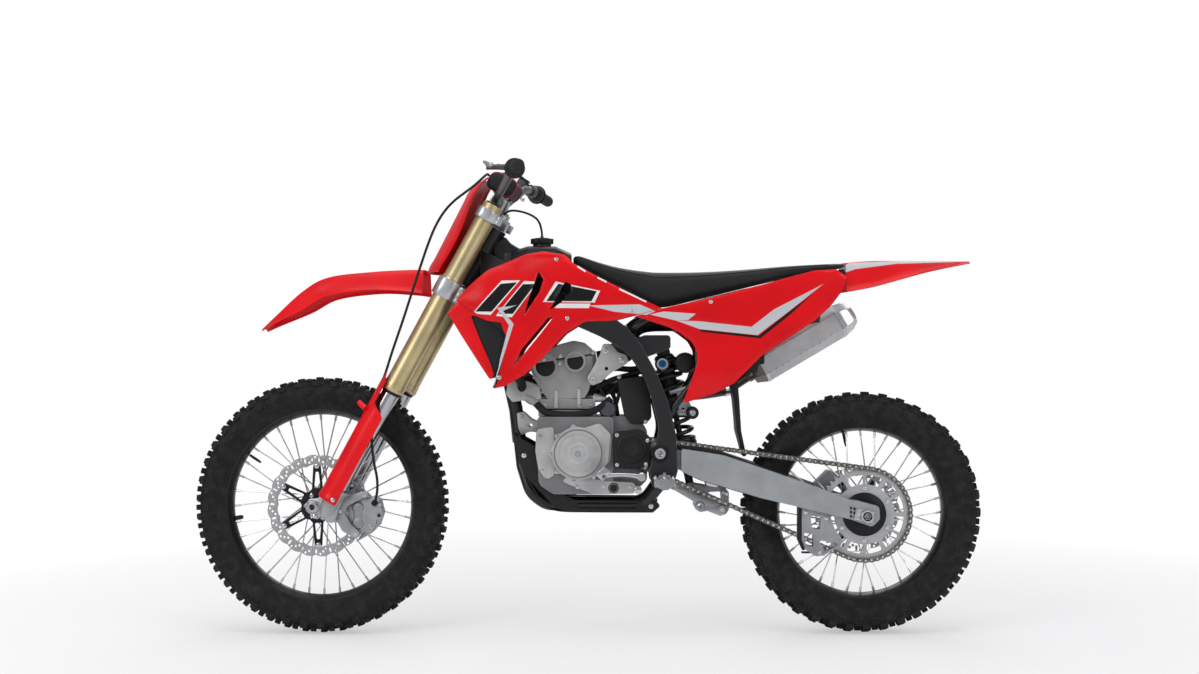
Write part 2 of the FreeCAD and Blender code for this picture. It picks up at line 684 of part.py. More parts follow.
def number_plate():
    """A curved plate swept back at its sides, held to the upper clamp by a tab."""
    stations = [(PLATE_BOTTOM, 292, 336, 92), (1073, 336, 386, 110), (1163, 383, 420, 108),
                (1208, 407, 440, 92), (1237, 446, 462, 62)]
    sections = []
    for z, centre, edge, half in stations:
        spread = (-1.0, -0.55, 0.0, 0.55, 1.0)
        front = [V(centre + (edge - centre) * f * f, half * f, z) for f in spread]
        back = [V(p.x + SKIN, p.y, z) for p in reversed(front)]
        sections.append(front + back)
    shell = lofted(sections)
    tab = in_fork(box_between(-106, -37, -14, 14, UPPER_CLAMP[0] + 4, UPPER_CLAMP[1] - 6), parked=False)
    ahead = lofted([[V(p.x - (200 if i < 5 else SKIN), p.y, p.z) for i, p in enumerate(s)] for s in sections])
    clamp = in_fork(plan_plate(clamp_outline(TUBE_UPPER_R), UPPER_CLAMP[0], UPPER_CLAMP[1]), parked=False)
    return parked(shell.fuse(tab.cut(ahead).cut(clamp)).removeSplitter())


# Frame

SPAR_Y = (92.0, 118.0)
SPAR_FRONT_X = 700.0
RAIL_Y = 80.0
RAIL_R = 11.0


def head_tube():
    z0 = LOWER_CLAMP[1] + 3
    z1 = UPPER_CLAMP[0] - 3
    tube = in_fork(pipe(V(0, 0, z0), V(0, 0, z1), HEAD_TUBE_R, STEM_R + RUN_CLEAR), parked=False)
    return tube


def frame_spar():
    """One side's beam: straight from the head, then a curved plate down to the swingarm pivot."""
    y0, y1 = SPAR_Y
    rear = side_plate([(SPAR_FRONT_X, 905), (760, 886, 60), (836, 830, 60), (870, 786, 60), (908, 719, 90),
                       (942, 638, 90), (964, 545, 60), (969, 451, 20), (955, 405, 14), (900, 402, 14),
                       (893, 451, 30), (919, 558, 80), (900, 638, 80), (876, 705, 80), (841, 757, 50),
                       (801, 786, 40), (761, 808, 60), (SPAR_FRONT_X, 835)], y0, y1,
                      [(PIVOT_AT[0], PIVOT_AT[1], 10 + RUN_CLEAR)])
    front = lofted([[V(x, a, low), V(x, b, low), V(x, b, top), V(x, a, top)] for x, a, b, low, top in
                    ((436, 14, 38, 968, 1046), (530, 38, 58, 920, 996), (SPAR_FRONT_X, y0, y1, 835, 905))])
    gusset = side_plate([(838, 796, 8), (885, 812, 10), (950, 812, 10), (950, 776, 10), (884, 752, 10)],
                        y0 - 20, y0 + 2)
    return rear.fuse([front, gusset])


CRADLE_Y = 62.0
CRADLE_R = 14.0
CRADLE_Z = 352.0


def cradle_rail(side, radius):
    return bent_tube([V(536, side * 6, 545), V(548, side * 40, 455), V(572, side * CRADLE_Y, 385),
                      V(615, side * CRADLE_Y, CRADLE_Z), V(880, side * CRADLE_Y, CRADLE_Z),
                      V(925, side * (SPAR_Y[0] + 6), 412)], radius, 60)


def main_frame():
    tube = head_tube()
    left = frame_spar()
    down = bent_tube([fork_point(26, 0, 778), V(531, 0, 606), V(540, 0, 520)], 19, 120)
    parts = [left, mirrored(left), down]
    for side in (-1, 1):
        parts.append(cradle_rail(side, CRADLE_R))
        ear_in, ear_out = sorted((side * 52, side * (62 - SEAT_CLEAR)))
        parts.append(side_plate([(510, 968, 6), (540, 955, 6), (528, 850, 8),
                                 (506, 850, 8)], ear_in, ear_out))
    parts.append(side_plate([(884, 812, 8), (950, 812, 10), (950, 780, 10), (892, 760, 8)],
                            -SPAR_Y[0], SPAR_Y[0]))
    parts.append(rod(V(735, -SPAR_Y[0] - 4, 871), V(735, SPAR_Y[0] + 4, 871), 9))
    body = tube.fuse(parts)
    bore = in_fork(rod(V(0, 0, 600), V(0, 0, UPPER_CLAMP[1] + 60), STEM_R + RUN_CLEAR), parked=False)
    return body.cut(bore).removeSplitter()


def pivot_shaft():
    """The hollow bolt through the frame's plates and the swingarm."""
    x, z = PIVOT_AT
    half = SPAR_Y[1] + 9
    shaft = pipe(V(x, -half, z), V(x, half, z), 10, 5)
    heads = [pipe(V(x, s * (SPAR_Y[1] + RUN_CLEAR), z), V(x, s * half, z), 17, 9) for s in (-1, 1)]
    return shaft.fuse(heads).removeSplitter()


def subframe():
    rails = []
    for side in (-1, 1):
        top = bent_tube([V(822, side * RAIL_Y, 808), V(880, side * RAIL_Y, 852), V(1010, side * 79, 891.5),
                         V(1144, side * 75, 924.7), V(1421.5, side * 62, 979.5)], RAIL_R, 90)
        low = bent_tube([V(932, side * 98, 565), V(960, side * 97, 620), V(1205, side * 74, 934)], 9, 40)
        rails += [top, low]
    cross = rod(V(1190, -73, 933), V(1190, 73, 933), 9)
    tail = rod(V(1412, -62, 977), V(1412, 62, 977), 9)
    return rails[0].fuse(rails[1:] + [cross, tail]).removeSplitter()


# Engine

CASE_Y = 84.0
CHAIN_BAY_Y = 60.0
CYLINDER_Y = 56.0
HEAD_Y = 64.0


def crankcase():
    """The cases, with a bay at the left rear for the chain, and their round covers."""
    core = side_plate([(592, 592, 10), (590, 520, 20), (596, 410, 26), (636, 384, 20), (850, 384, 24),
                       (888, 420, 20), (888, 560, 24), (840, 592, 14)], -CHAIN_BAY_Y, CASE_Y)
    left = side_plate([(592, 592, 10), (590, 520, 20), (596, 410, 26), (636, 384, 20), (796, 384, 10),
                       (796, 592, 10)], -CASE_Y, -CHAIN_BAY_Y)
    magneto = rod(V(702, -CASE_Y, 494), V(702, -CASE_Y - 18, 494), 66)
    magneto_cap = rod(V(702, -CASE_Y - 18, 494), V(702, -CASE_Y - 23, 494), 46)
    clutch = rod(V(800, CASE_Y, 482), V(800, CASE_Y + 26, 482), 86)
    clutch_cap = rod(V(800, CASE_Y + 26, 482), V(800, CASE_Y + 31, 482), 64)
    pump = rod(V(668, CASE_Y, 446), V(668, CASE_Y + 34, 446), 34)
    shaft = rod(V(FRONT_SPROCKET_AT[0], -CHAIN_BAY_Y, FRONT_SPROCKET_AT[1]),
                V(FRONT_SPROCKET_AT[0], CHAIN_Y - SPROCKET_T, FRONT_SPROCKET_AT[1]), 12)
    wing = side_plate([(690, 550, 8), (766, 566, 12), (792, 540, 12), (788, 474, 12), (740, 440, 10)],
                      -CASE_Y - 13, -CASE_Y)
    return core.fuse([left, magneto, magneto_cap, wing, clutch, clutch_cap, pump, shaft]).removeSplitter()


def cylinder():
    """The barrel between its two flanges, with the water outlet at its left front."""
    barrel = side_plate([(606, 592.3), (742, 592.3), (738, 690), (600, 690)], -CYLINDER_Y, CYLINDER_Y)
    foot = side_plate([(597, 592.3, 3), (752, 592.3, 3), (752, 604, 4), (597, 604, 4)], -HEAD_Y, HEAD_Y)
    deck = side_plate([(594, 678, 4), (744, 678, 4), (744, 690, 3), (594, 690, 3)], -HEAD_Y, HEAD_Y)
    water = side_plate([(604, 676, 4), (560, 684, 14), (538, 668, 12), (542, 640, 12),
                        (604, 630, 4)], -54, -26)
    return barrel.fuse([foot, deck, water]).removeSplitter()


def cylinder_head():
    """The head and its cover, with the round plugs at the cam ends and the ports."""
    body = side_plate([(600, 690.3, 4), (594, 700, 6), (578, 726, 10), (582, 768, 26), (622, 800, 24),
                       (704, 800, 26),
                       (742, 772, 14), (744, 690.3, 6)], -HEAD_Y, HEAD_Y)
    plugs = [rod(V(x, -HEAD_Y, z), V(x, -HEAD_Y - 8, z), 22) for x, z in ((615, 735), (694, 755))]
    outlet = port_stub(HEADER_ROUTE, 24, HEADER_R + 7)
    inlet = port_stub(INTAKE_ROUTE, 20, 27)
    return body.fuse(plugs + [outlet, inlet]).removeSplitter()


def front_sprocket():
    x, z = FRONT_SPROCKET_AT
    pitch_r = CHAIN_PITCH / 2 / math.sin(math.pi / FRONT_TEETH)
    outline = []
    for k in range(FRONT_TEETH):
        for share, r in ((0.0, pitch_r - 6), (0.35, pitch_r + 1), (0.65, pitch_r + 1)):
            outline.append(ring_point(r, CHAIN_Y - SPROCKET_T / 2, 2 * math.pi * (k + share) / FRONT_TEETH))
    disc = Part.Face(Part.makePolygon(outline + outline[:1])).extrude(V(0, SPROCKET_T, 0))
    disc.translate(V(x, 0, z))
    return disc.cut(rod(V(x, -CASE_Y, z), V(x, 0, z), 12 + RUN_CLEAR))


def sprocket_cover():
    x, z = FRONT_SPROCKET_AT
    face = -CASE_Y - 14
    cover = side_plate([(796.3, 556, 6), (880, 556, 24), (900.5, 510, 30), (886, 458, 20), (796.3, 452, 6)],
                       face, -CASE_Y + 0.5)
    cap = rod(V(x, face, z), V(x, face - 5, z), 42)
    return cover.fuse(cap).removeSplitter()


def engine_mounts():
    """Plates from the head to the spars, and from the down tube to the cases."""
    plates = []
    for side in (-1, 1):
        y0, y1 = sorted((side * (SPAR_Y[0] - SEAT_CLEAR), side * (SPAR_Y[0] - 7)))
        hanger = side_plate([(736, 676, 12), (724, 696, 12), (770, 800, 12), (832, 762, 14)], y0, y1)
        boss = rod(V(736, side * (HEAD_Y + SEAT_CLEAR), 706), V(736, side * (SPAR_Y[0] - 6), 706), 9)
        plates.append(hanger.fuse(boss).removeSplitter())
        y0, y1 = sorted((side * 19.3, side * 26))
        plates.append(side_plate([(514, 612, 8), (548, 612, 8), (589.7, 588), (589.7, 540),
                                  (530, 548, 8)], y0, y1))
    return Part.makeCompound(plates)


SILENCER_START = V(1160, 124, 692)
SILENCER_END = V(1478, 126, 880)
SILENCER_R = 48.0


def silencer_at(length):
    """The place that far along the silencer's middle line."""
    way = SILENCER_END.sub(SILENCER_START)
    way.normalize()
    return SILENCER_START.add(way.multiply(length))


def six_sided(length, radius):
    """A section of the silencer, with a flat on each side and an edge above and below."""
    way = SILENCER_END.sub(SILENCER_START)
    way.normalize()
    up = way.cross(ACROSS).multiply(-1)
    turns = [math.radians(30 + 60 * k) for k in range(6)]
    centre = silencer_at(length)
    return [centre + V(ACROSS) * (radius * math.cos(a)) + V(up) * (radius * math.sin(a)) for a in turns]


HEADER_R = 19.0
HEADER_ROUTE = [V(571.5, 0, 718.8), V(556, 2, 700), V(556, 40, 662), V(568, 84, 630), V(640, 96, 634),
                V(770, 92, 668), V(872, 66, 664), V(955, 64, 652), V(1020, 64, 648), V(1104, 123.6, 659),
                SILENCER_START]
INTAKE_ROUTE = [V(752.3, 0, 744), V(800, 0, 752), V(856, 0, 848), V(1024.7, 0, 846)]


def port_stub(route, inside, radius):
    """A short boss on the head, square to the pipe that starts at its face."""
    way = route[1].sub(route[0])
    way.normalize()
    return rod(route[0].sub(V(way).multiply(inside)), route[0].sub(V(way).multiply(SEAT_CLEAR)), radius)


def header_pipe():
    return bent_tube(HEADER_ROUTE, HEADER_R, 60)


def silencer():
    at = silencer_at
    way = SILENCER_END.sub(SILENCER_START)
    cone = Part.makeCone(20, SILENCER_R - 8, 40, at(SEAT_CLEAR), way)
    body = lofted([six_sided(30, SILENCER_R - 12), six_sided(62, SILENCER_R), six_sided(318, SILENCER_R)])
    cap = lofted([six_sided(318, SILENCER_R - 3), six_sided(340, SILENCER_R - 5), six_sided(360, 30)])
    bore = rod(at(330), at(370), 18)
    strap = side_plate([(1330, 838, 8), (1372, 850, 8), (1386, 960.7, 8), (1358, 955.2, 8)], 66, 72.5)
    arm = box_between(1345, 1372, 66, 90, 846, 858)
    return cone.fuse([body, cap]).cut(bore).fuse([strap, arm]).removeSplitter()


def intake():
    return bent_tube(INTAKE_ROUTE, 24, 60)


def airbox():
    lower = [V(1025, -58, 712), V(1025, 58, 712), V(1205, 58, 734), V(1205, -58, 734)]
    upper = [V(1025, -66, 866), V(1025, 66, 866), V(1215, 62, 896), V(1215, -62, 896)]
    box = lofted([lower, upper])
    flap = side_plate([(1110, 736), (1116, 736), (1130, 634), (1135, 552), (1152, 486), (1149, 485),
                       (1131, 552),
                       (1126, 634)], -46, 46)
    return box.fuse(flap).removeSplitter()


# Radiators and bodywork

def radiators():
    core = side_plate([(482, 900, 6), (516, 908, 6), (540, 716, 6), (506, 706, 6)], 62, 138)
    return both_sides(core)


def radiator_louvres():
    """A frame of slanting slats ahead of each radiator."""
    y0, y1 = 66, 136
    frame = side_plate([(472.2, 888), (482.7, 889), (505.5, 708), (495.5, 707)], y0, y1)
    window = side_plate([(460, 879), (490, 881), (515, 718), (485, 716)], y0 + 6, y1 - 6)
    slats = []
    count = 8
    for k in range(count):
        z = 721 + k * 20
        x = 481.5 + (899 - z) * 24.0 / 191 - 6.6
        slats.append(side_plate([(x - 5, z), (x + 5, z + 8), (x + 5, z + 11),
                                 (x - 5, z + 3)], y0 + 4, y1 - 4))
    return both_sides(frame.cut(window).fuse(slats).removeSplitter())


def panel_y(x, z):
    """How far out the shroud and side panel stand: a bulge at the front that fades to the rear."""
    fade = 0.5 + 0.5 * math.cos(math.pi * min(max((x - 500) / 280.0, 0), 1))
    rise = 1 - min(max((z - 880) / 160.0, 0), 1) ** 2
    tuck = 16 * min(max((x - 1000) / 420.0, 0), 1)
    return SPAR_Y[1] + SEAT_CLEAR + SKIN + 0.4 + 36 * fade * rise - tuck


def curved_slab(x0, x1, z0, z1, nx, nz):
    """A slab of panel thickness that follows panel_y, to be cut to an outline."""
    grid = []
    for i in range(nx):
        x = x0 + (x1 - x0) * i / (nx - 1)
        column = []
        for j in range(nz):
            z = z0 + (z1 - z0) * j / (nz - 1)
            column.append(V(x, panel_y(x, z) - SKIN, z))
        grid.append(column)
    surface = Part.BSplineSurface()
    surface.interpolate(grid)
    return surface.toShape().extrude(V(0, SKIN, 0))


SHROUD = [(378, 905, 4), (417, 947, 40), (462, 986, 40), (497, 1000, 30), (563, 1029, 40), (610, 1037, 40),
          (668, 1027, 20), (689, 1005, 20), (761, 965, 60), (866, 912, 60), (926, 883.5), (800, 851, 60),
          (721, 848, 30), (668, 815, 60), (602, 744, 60), (560, 706, 60), (510, 677, 12), (475, 669, 6),
          (492, 725, 60), (505, 800, 30), (509, 816, 6), (470, 846, 20)]
SHROUD_SLOTS = [[(597, 981), (610, 960, 6), (600, 926, 20), (560, 865), (573, 913, 20)],
                [(668, 955, 6), (684, 947, 6), (684, 929, 8), (658, 899, 20), (626, 878), (642, 905, 30)],
                [(622, 857, 3), (637, 860, 3), (602, 815, 60), (563, 767, 60), (531, 728), (552, 773, 60)]]
SIDE_PANEL = [(927, 883.7), (1028, 905.7, 60), (1188, 945.7, 60), (1333, 985, 30), (1394, 988, 12),
              (1424, 968, 12), (1407, 927, 30), (1378, 889, 30), (1333, 849, 60), (1266, 804, 60),
              (1192, 756, 60), (1120, 684, 30), (1067, 655, 30), (982, 629, 6), (1000, 679, 30),
              (1019, 732, 40), (1021, 767, 30), (1006, 794, 30), (974, 818, 30), (942, 834, 30), (854, 862.5)]


def shroud():
    slab = curved_slab(365, 940, 655, 1045, 9, 7)
    panel = slab.common(side_plate(SHROUD, 90, 190))
    for slot in SHROUD_SLOTS:
        panel = panel.cut(side_plate(slot, 90, 190))
    return panel


def side_panel():
    slab = curved_slab(845, 1435, 620, 1000, 6, 3)
    return slab.common(side_plate(SIDE_PANEL, 90, 190))


def shroud_right():
    return shroud()


def shroud_left():
    return mirrored(shroud())


def side_panels():
    """The left panel is whole; the right one is cut out along the silencer."""
    room = fused(rod(silencer_at(-60), silencer_at(330), SILENCER_R + 5),
                 rod(HEADER_ROUTE[-3], HEADER_ROUTE[-2].add(V(12, 8, 2)), HEADER_R + 5))
    return Part.makeCompound([side_panel().cut(room), mirrored(side_panel())])


def fuel_tank():
    def section(x, low_half, high_half, z_low, z_mid, z_top):
        half = [(low_half, z_low), (low_half, z_mid), (high_half, z_mid + 12), (high_half * 0.82, z_top - 8),
                (high_half * 0.4, z_top)]
        return [V(x, y, z) for y, z in half] + [V(x, -y, z) for y, z in reversed(half)]
    body = lofted([section(520, 34, 58, 930, 1008, 1040), section(565, 46, 84, 880, 990, 1054),
                   section(640, 62, 94, 862, 975, 1053), section(682, 74, 94, 862, 968, 1034)])
    neck = rod(V(602, 0, 1040), V(602, 0, 1061), 25)
    tongue = box_between(670, 725.7, -34, 34, 864, 878)
    return body.fuse([neck, tongue]).removeSplitter()


def tank_cap():
    cap = rod(V(602, 0, 1061), V(602, 0, 1078), 31)
    nipple = rod(V(602, 0, 1078), V(602, 0, 1084), 4)
    return cap.fuse(nipple).removeSplitter()


VENT_R = 3.0
VENT_ROUTE = [V(602, 0, 1084), V(600, 0, 1122), V(566, 0, 1146), V(516, 0, 1156), V(496, 0, 1142),
              V(486.6, 0, 1124)]


def vent_hose():
    return bent_tube(VENT_ROUTE, VENT_R, WIDEST_BEND)


def seat():
    """The seat: its top drops behind the tank and rises to the tail, its lower edge follows the panels."""
    stations = [(688, 1007, 1024, 50), (705, 998, 1028, 58), (761, 967.5, 1010, 66), (815, 939.5, 996, 72),
                (881, 902, 986, 76), (927, 886, 983, 78), (1035, 909, 984, 86), (1144, 936, 990, 90),
                (1281, 968, 1001, 88), (1422, 993, 1008, 80)]
    sections = []
    for x, low, top, half in stations:
        side = top - 0.28 * (top - low)
        points = [(half * 0.9, low), (half, side), (half * 0.8, top - 4), (half * 0.3, top)]
        sections.append([V(x, y, z) for y, z in points] + [V(x, -y, z) for y, z in reversed(points)])
    return lofted(sections)


def rear_fender():
    stations = [(1424.3, 1008, 928, 92), (1500, 1014, 940, 88), (1637, 1015, 979, 78), (1740, 1015, 1004, 56),
                (1766, 1014.5, 1008, 40)]
    shell = lofted([arched_section(*s) for s in stations])
    x, top, low, half = stations[0]
    rim_points = arched_section(x, top, low, half)[:7]
    web = Part.Face(Part.makePolygon(rim_points + rim_points[:1])).extrude(V(SKIN, 0, 0))
    return shell.fuse(web).removeSplitter()


def skid_plate():
    low = CRADLE_Z - CRADLE_R - SEAT_CLEAR
    return side_plate([(532, 500, 4), (545, 440, 40), (572, 372, 40), (612, low, 30), (905, low, 4),
                       (905, low - 4, 4), (610, low - 4, 34), (567, 369, 44), (541, 439, 44), (528, 499, 4)],
                      -78, 78).cut(main_frame_tools())


def main_frame_tools():
    """The room that the cradle tubes take from the skid plate."""
    return cradle_rail(-1, CRADLE_R + SEAT_CLEAR).fuse(cradle_rail(1, CRADLE_R + SEAT_CLEAR))


# Swingarm, shock and chain

def swingarm():
    y0, y1 = ARM_Y
    arm = side_plate([(978, 508, 6), (1090, 491, 200), (1240, 441, 200), (1350, 402, 150),
                      (WHEELBASE - 43, 371, 8),
                      (WHEELBASE - 24, 369, 8), (WHEELBASE + 33, 354, 10), (WHEELBASE + 35, 320, 14),
                      (WHEELBASE + 14, 300, 12), (WHEELBASE - 43, 320, 8), (1190, 377, 200),
                      (1030, 425, 100), (978, 448, 6)], y0, y1,
                     [(WHEELBASE, REAR_TYRE_R, REAR_AXLE_R + RUN_CLEAR)])
    beam = side_plate([(902, 516, 14), (930, 516, 20), (1000, 502, 40), (1084, 488, 8), (1084, 424, 10),
                       (1030, 424, 40), (960, 456, 40), (902, 474, 14)], 58, y0 - SEAT_CLEAR)
    yoke = side_plate([(1040, 494, 8), (1086, 488, 8), (1086, 424, 8), (1040, 424, 8)], -y1 + 4, y1 - 4)
    x, z = PIVOT_AT
    tube = rod(V(x, -y0 + SEAT_CLEAR, z), V(x, y0 - SEAT_CLEAR, z), 20)
    body = arm.fuse([mirrored(arm), beam, mirrored(beam), yoke, tube])
    return body.cut(rod(V(x, -100, z), V(x, 100, z), 10 + RUN_CLEAR)).removeSplitter()


def shock_axis(length):
    top = V(SHOCK_TOP[0], 0, SHOCK_TOP[1])
    way = V(SHOCK_FOOT[0], 0, SHOCK_FOOT[1]).sub(top)
    way.normalize()
    return top.add(way.multiply(length))


SHOCK_LENGTH = math.hypot(SHOCK_FOOT[0] - SHOCK_TOP[0], SHOCK_FOOT[1] - SHOCK_TOP[1])
SPRING_SPAN = (62.0, 262.0)
SHOCK_PIN = (SHOCK_FOOT[0] + 2, SHOCK_FOOT[1] - 4)
SHOCK_PIN_R = 7.0


def shock_absorber():
    """Body, rod, spring seats and the reservoir that stands beside the top."""
    head = rod(shock_axis(14), shock_axis(SPRING_SPAN[0] - 8), 26)
    seat_top = rod(shock_axis(SPRING_SPAN[0] - 8), shock_axis(SPRING_SPAN[0]), SPRING_R + SPRING_WIRE_R)
    body = rod(shock_axis(SPRING_SPAN[0]), shock_axis(190), 22)
    shaft = rod(shock_axis(190), shock_axis(SPRING_SPAN[1]), 8)
    seat_low = rod(shock_axis(SPRING_SPAN[1]), shock_axis(SPRING_SPAN[1] + 8), SPRING_R + SPRING_WIRE_R)
    clevis = rod(shock_axis(SPRING_SPAN[1] + 6), shock_axis(SHOCK_LENGTH - 6), 11)
    x, z = SHOCK_PIN
    eye = rod(V(x, -14, z), V(x, 14, z), SHOCK_PIN_R + 7)
    bottle = rod(V(992, -56, 737), V(992, 20, 737), 27)
    neck = rod(shock_axis(26), V(980, 0, 740), 11)
    body = head.fuse([seat_top, body, shaft, seat_low, clevis, eye, bottle, neck])
    return body.cut(rod(V(x, -15, z), V(x, 15, z), SHOCK_PIN_R + SEAT_CLEAR)).removeSplitter()


def shock_spring():
    """A coil between the spring seats, wound as a helix."""
    length = SPRING_SPAN[1] - SPRING_SPAN[0] - 2 * SPRING_WIRE_R - 2 * SEAT_CLEAR
    turns = 7
    helix = Part.makeHelix(length / turns, length, SPRING_R)
    wire = Part.Wire(helix.Edges)
    profile = Part.Wire(Part.makePolygon([V(SPRING_R + SPRING_WIRE_R * a, 0, SPRING_WIRE_R * b)
                                          for a, b in ((1, 0), (0, 1), (-1, 0), (0, -1), (1, 0))]))
    coil = wire.makePipeShell([profile], True, True)
    start = shock_axis(SPRING_SPAN[0] + SPRING_WIRE_R + SEAT_CLEAR)
    way = shock_axis(100).sub(shock_axis(0))
    turn = FreeCAD.Rotation(UP, way)
    coil.Placement = FreeCAD.Placement(start, turn)
    return coil


def rear_linkage():
    """The rocker under the swingarm and the arms that pull it from the frame."""
    pieces = []
    for side in (-1, 1):
        y0, y1 = sorted((side * 16, side * 26))
        pieces.append(side_plate([(1000, 412, 12), (1024, 404, 10), (1100, 400, 14), (1112, 330, 14),
                                  (1086, 322, 14),
                                  (1030, 366, 20), (998, 384, 12)], y0, y1))
        y0, y1 = sorted((side * 28, side * 36))
        pieces.append(side_plate([(944, 412, 12), (968, 420, 12), (1096, 350, 12), (1090, 326, 12),
                                  (1030, 332, 30)],
                                 y0, y1))
    pins = [rod(V(x, -40, z), V(x, 40, z), SHOCK_PIN_R) for x, z in (SHOCK_PIN, (1092, 338))]
    ears = [side_plate([(1046, 423.7), (1084, 423.7), (1082, 398, 8),
                        (1050, 398, 8)], *sorted((s * 16, s * 40)))
            for s in (-1, 1)]
    return pieces[0].fuse(pieces[1:] + pins + ears).removeSplitter()


def chain_path():
    """Centres and radii of the chain's two wraps, and the angles where it leaves them."""
    front = V(FRONT_SPROCKET_AT[0], 0, FRONT_SPROCKET_AT[1])
    rear = V(WHEELBASE, 0, REAR_TYRE_R)
    front_r = CHAIN_PITCH / 2 / math.sin(math.pi / FRONT_TEETH)
    rear_r = CHAIN_PITCH / 2 / math.sin(math.pi / REAR_TEETH)
    line = rear.sub(front)
    heading = math.atan2(line.z, line.x)
    lean = math.acos((front_r - rear_r) / line.Length)
    return front, rear, front_r, rear_r, heading + lean, heading - lean


def chain_loop(offset):
    """A polygon at an offset from the pitch line, upper run first."""
    front, rear, front_r, rear_r, upper, lower = chain_path()
    points = []
    rear_steps = 18
    for k in range(rear_steps + 1):
        a = upper + (lower - upper) * k / rear_steps
        radius = rear_r + offset
        points.append(V(rear.x + radius * math.cos(a), 0, rear.z + radius * math.sin(a)))
    front_steps = 8
    for k in range(front_steps + 1):
        a = lower - (2 * math.pi - (upper - lower)) * k / front_steps
        radius = front_r + offset
        points.append(V(front.x + radius * math.cos(a), 0, front.z + radius * math.sin(a)))
    return points


def chain():
    """Two rows of plates that straddle the teeth, tied by rollers on the straight runs."""
    outer = chain_loop(PLATE_H / 2)
    inner = chain_loop(-PLATE_H / 2)
    band = Part.Face(Part.makePolygon(outer + outer[:1])).cut(Part.Face(Part.makePolygon(inner + inner[:1])))
    front, rear, front_r, rear_r, upper, lower = chain_path()
    pieces = []
    for side in (-1, 1):
        y0 = CHAIN_Y + side * CHAIN_GAP / 2
        strip = band.Faces[0].extrude(V(0, side * PLATE_T, 0))
        strip.translate(V(0, y0, 0))
        pieces.append(strip)
    for angle in (upper, lower):
        normal = V(math.cos(angle), 0, math.sin(angle))
        start = front.add(V(normal).multiply(front_r))
        run = rear.add(V(normal).multiply(rear_r)).sub(start)
        links = int(run.Length / CHAIN_PITCH)
        way = V(run)
        way.normalize()
        for k in range(0, links - 1, 2):
            at = start.add(V(way).multiply((k + 0.6) * CHAIN_PITCH))
            along = V(way).multiply(CHAIN_PITCH * 1.30)
            half = V(normal).multiply(PLATE_H * 0.36)
            corner = at.add(half)
            corners = [corner, corner.add(along), corner.add(along).sub(V(half).multiply(2)),
                       corner.sub(V(half).multiply(2))]
            plate = Part.Face(Part.makePolygon(corners + corners[:1])).extrude(V(0, -PLATE_T, 0))
            plate.translate(V(0, CHAIN_Y - CHAIN_GAP / 2 - PLATE_T, 0))
            pieces.append(plate)
            if k % 4 == 0 and 2 < k < links - 8:
                pin = V(at.x, CHAIN_Y - CHAIN_GAP / 2 - 0.5, at.z)
                spread = [V(way).multiply(4.6), V(normal).multiply(4.6), V(way).multiply(-4.6),
                          V(normal).multiply(-4.6)]
                corners = [pin.add(s) for s in spread]
                face = Part.Face(Part.makePolygon(corners + corners[:1]))
                pieces.append(face.extrude(V(0, CHAIN_GAP + 1, 0)))
    return pieces[0].fuse(pieces[1:])


def by_rear_wheel(points):
    """An outline given from the rear wheel's centre line, moved into the bike's own frame."""
    return [(WHEELBASE + x,) + tuple(rest) for x, *rest in points]


def chain_guide():
    """Two plates either side of the lower run, tied below it, with a rubbing block ahead."""
    outline = by_rear_wheel([(-181, 350, 6), (-143, 346, 10), (-95, 330, 10), (-81, 290, 16), (-107, 219, 8),
                             (-133, 217, 8), (-181, 262, 10)])
    window = by_rear_wheel([(-161, 268, 4), (-135, 262, 4), (-129, 240, 4), (-151, 248, 4)])
    outer_y = -ARM_Y[0] + SEAT_CLEAR
    outer = side_plate(outline, outer_y, outer_y + 3)
    outer = outer.cut(side_plate(window, -95, -80))
    inner = side_plate(outline, -62, -59)
    tie = side_plate(by_rear_wheel([(-133, 217), (-107, 219), (-105, 226), (-139, 224)]), outer_y, -59)
    front = box_between(WHEELBASE - 173, WHEELBASE - 167, outer_y, -59, 252, 258)
    return outer.fuse([inner, tie, front]).removeSplitter()


def rear_caliper():
    """The caliper ahead of the disc, on a bracket round the axle's spacer."""
    outline = by_rear_wheel([(-121, 400, 10), (-81, 440, 12), (-41, 424, 12), (-65, 374, 12),
                             (-101, 366, 10)])
    body = side_plate(outline, 50, 86)
    centre = V(WHEELBASE, 0, REAR_TYRE_R)
    slot = rod(centre + V(0, REAR_DISC_Y - 4, 0), centre + V(0, REAR_DISC_Y + DISC_T + 4, 0), REAR_DISC_R + 5)
    outline = by_rear_wheel([(-93, 372, 8), (-33, 300, 20), (17, 300, 20), (27, 345, 20), (-53, 410, 8)])
    bracket = side_plate(outline, 80, 87.4, [(WHEELBASE, REAR_TYRE_R, REAR_AXLE_R + RUN_CLEAR)])
    return body.cut(slot).fuse(bracket).removeSplitter()


def foot_controls():
    """Two caged footpegs, the gear lever and the brake pedal."""
    pieces = []
    for side in (-1, 1):
        y0 = SPAR_Y[1] + SEAT_CLEAR
        y1 = 216
        cage = box_between(908, 958, y0 + 18, y1, 414, 430)
        for k in range(3):
            cage = cage.cut(box_between(915, 951, y0 + 24 + k * 25, y0 + 42 + k * 25, 410, 434))
        arm = box_between(918, 950, y0, y0 + 20, 408, 434)
        peg = cage.fuse(arm).removeSplitter()
        pieces.append(peg if side > 0 else mirrored(peg))
    gear = bent_tube([V(872, -CHAIN_BAY_Y - 0.3, 434), V(872, -116, 434), V(770, -124, 440),
                      V(770, -160, 440)], 6.5, 12)
    brake = bent_tube([V(905, 118.3, 436), V(905, 146, 436), V(850, 146, 414), V(772, 138, 420),
                       V(740, 166, 424)], 7, 20)
    return Part.makeCompound(pieces + [gear, brake])


# Each piece under its own name

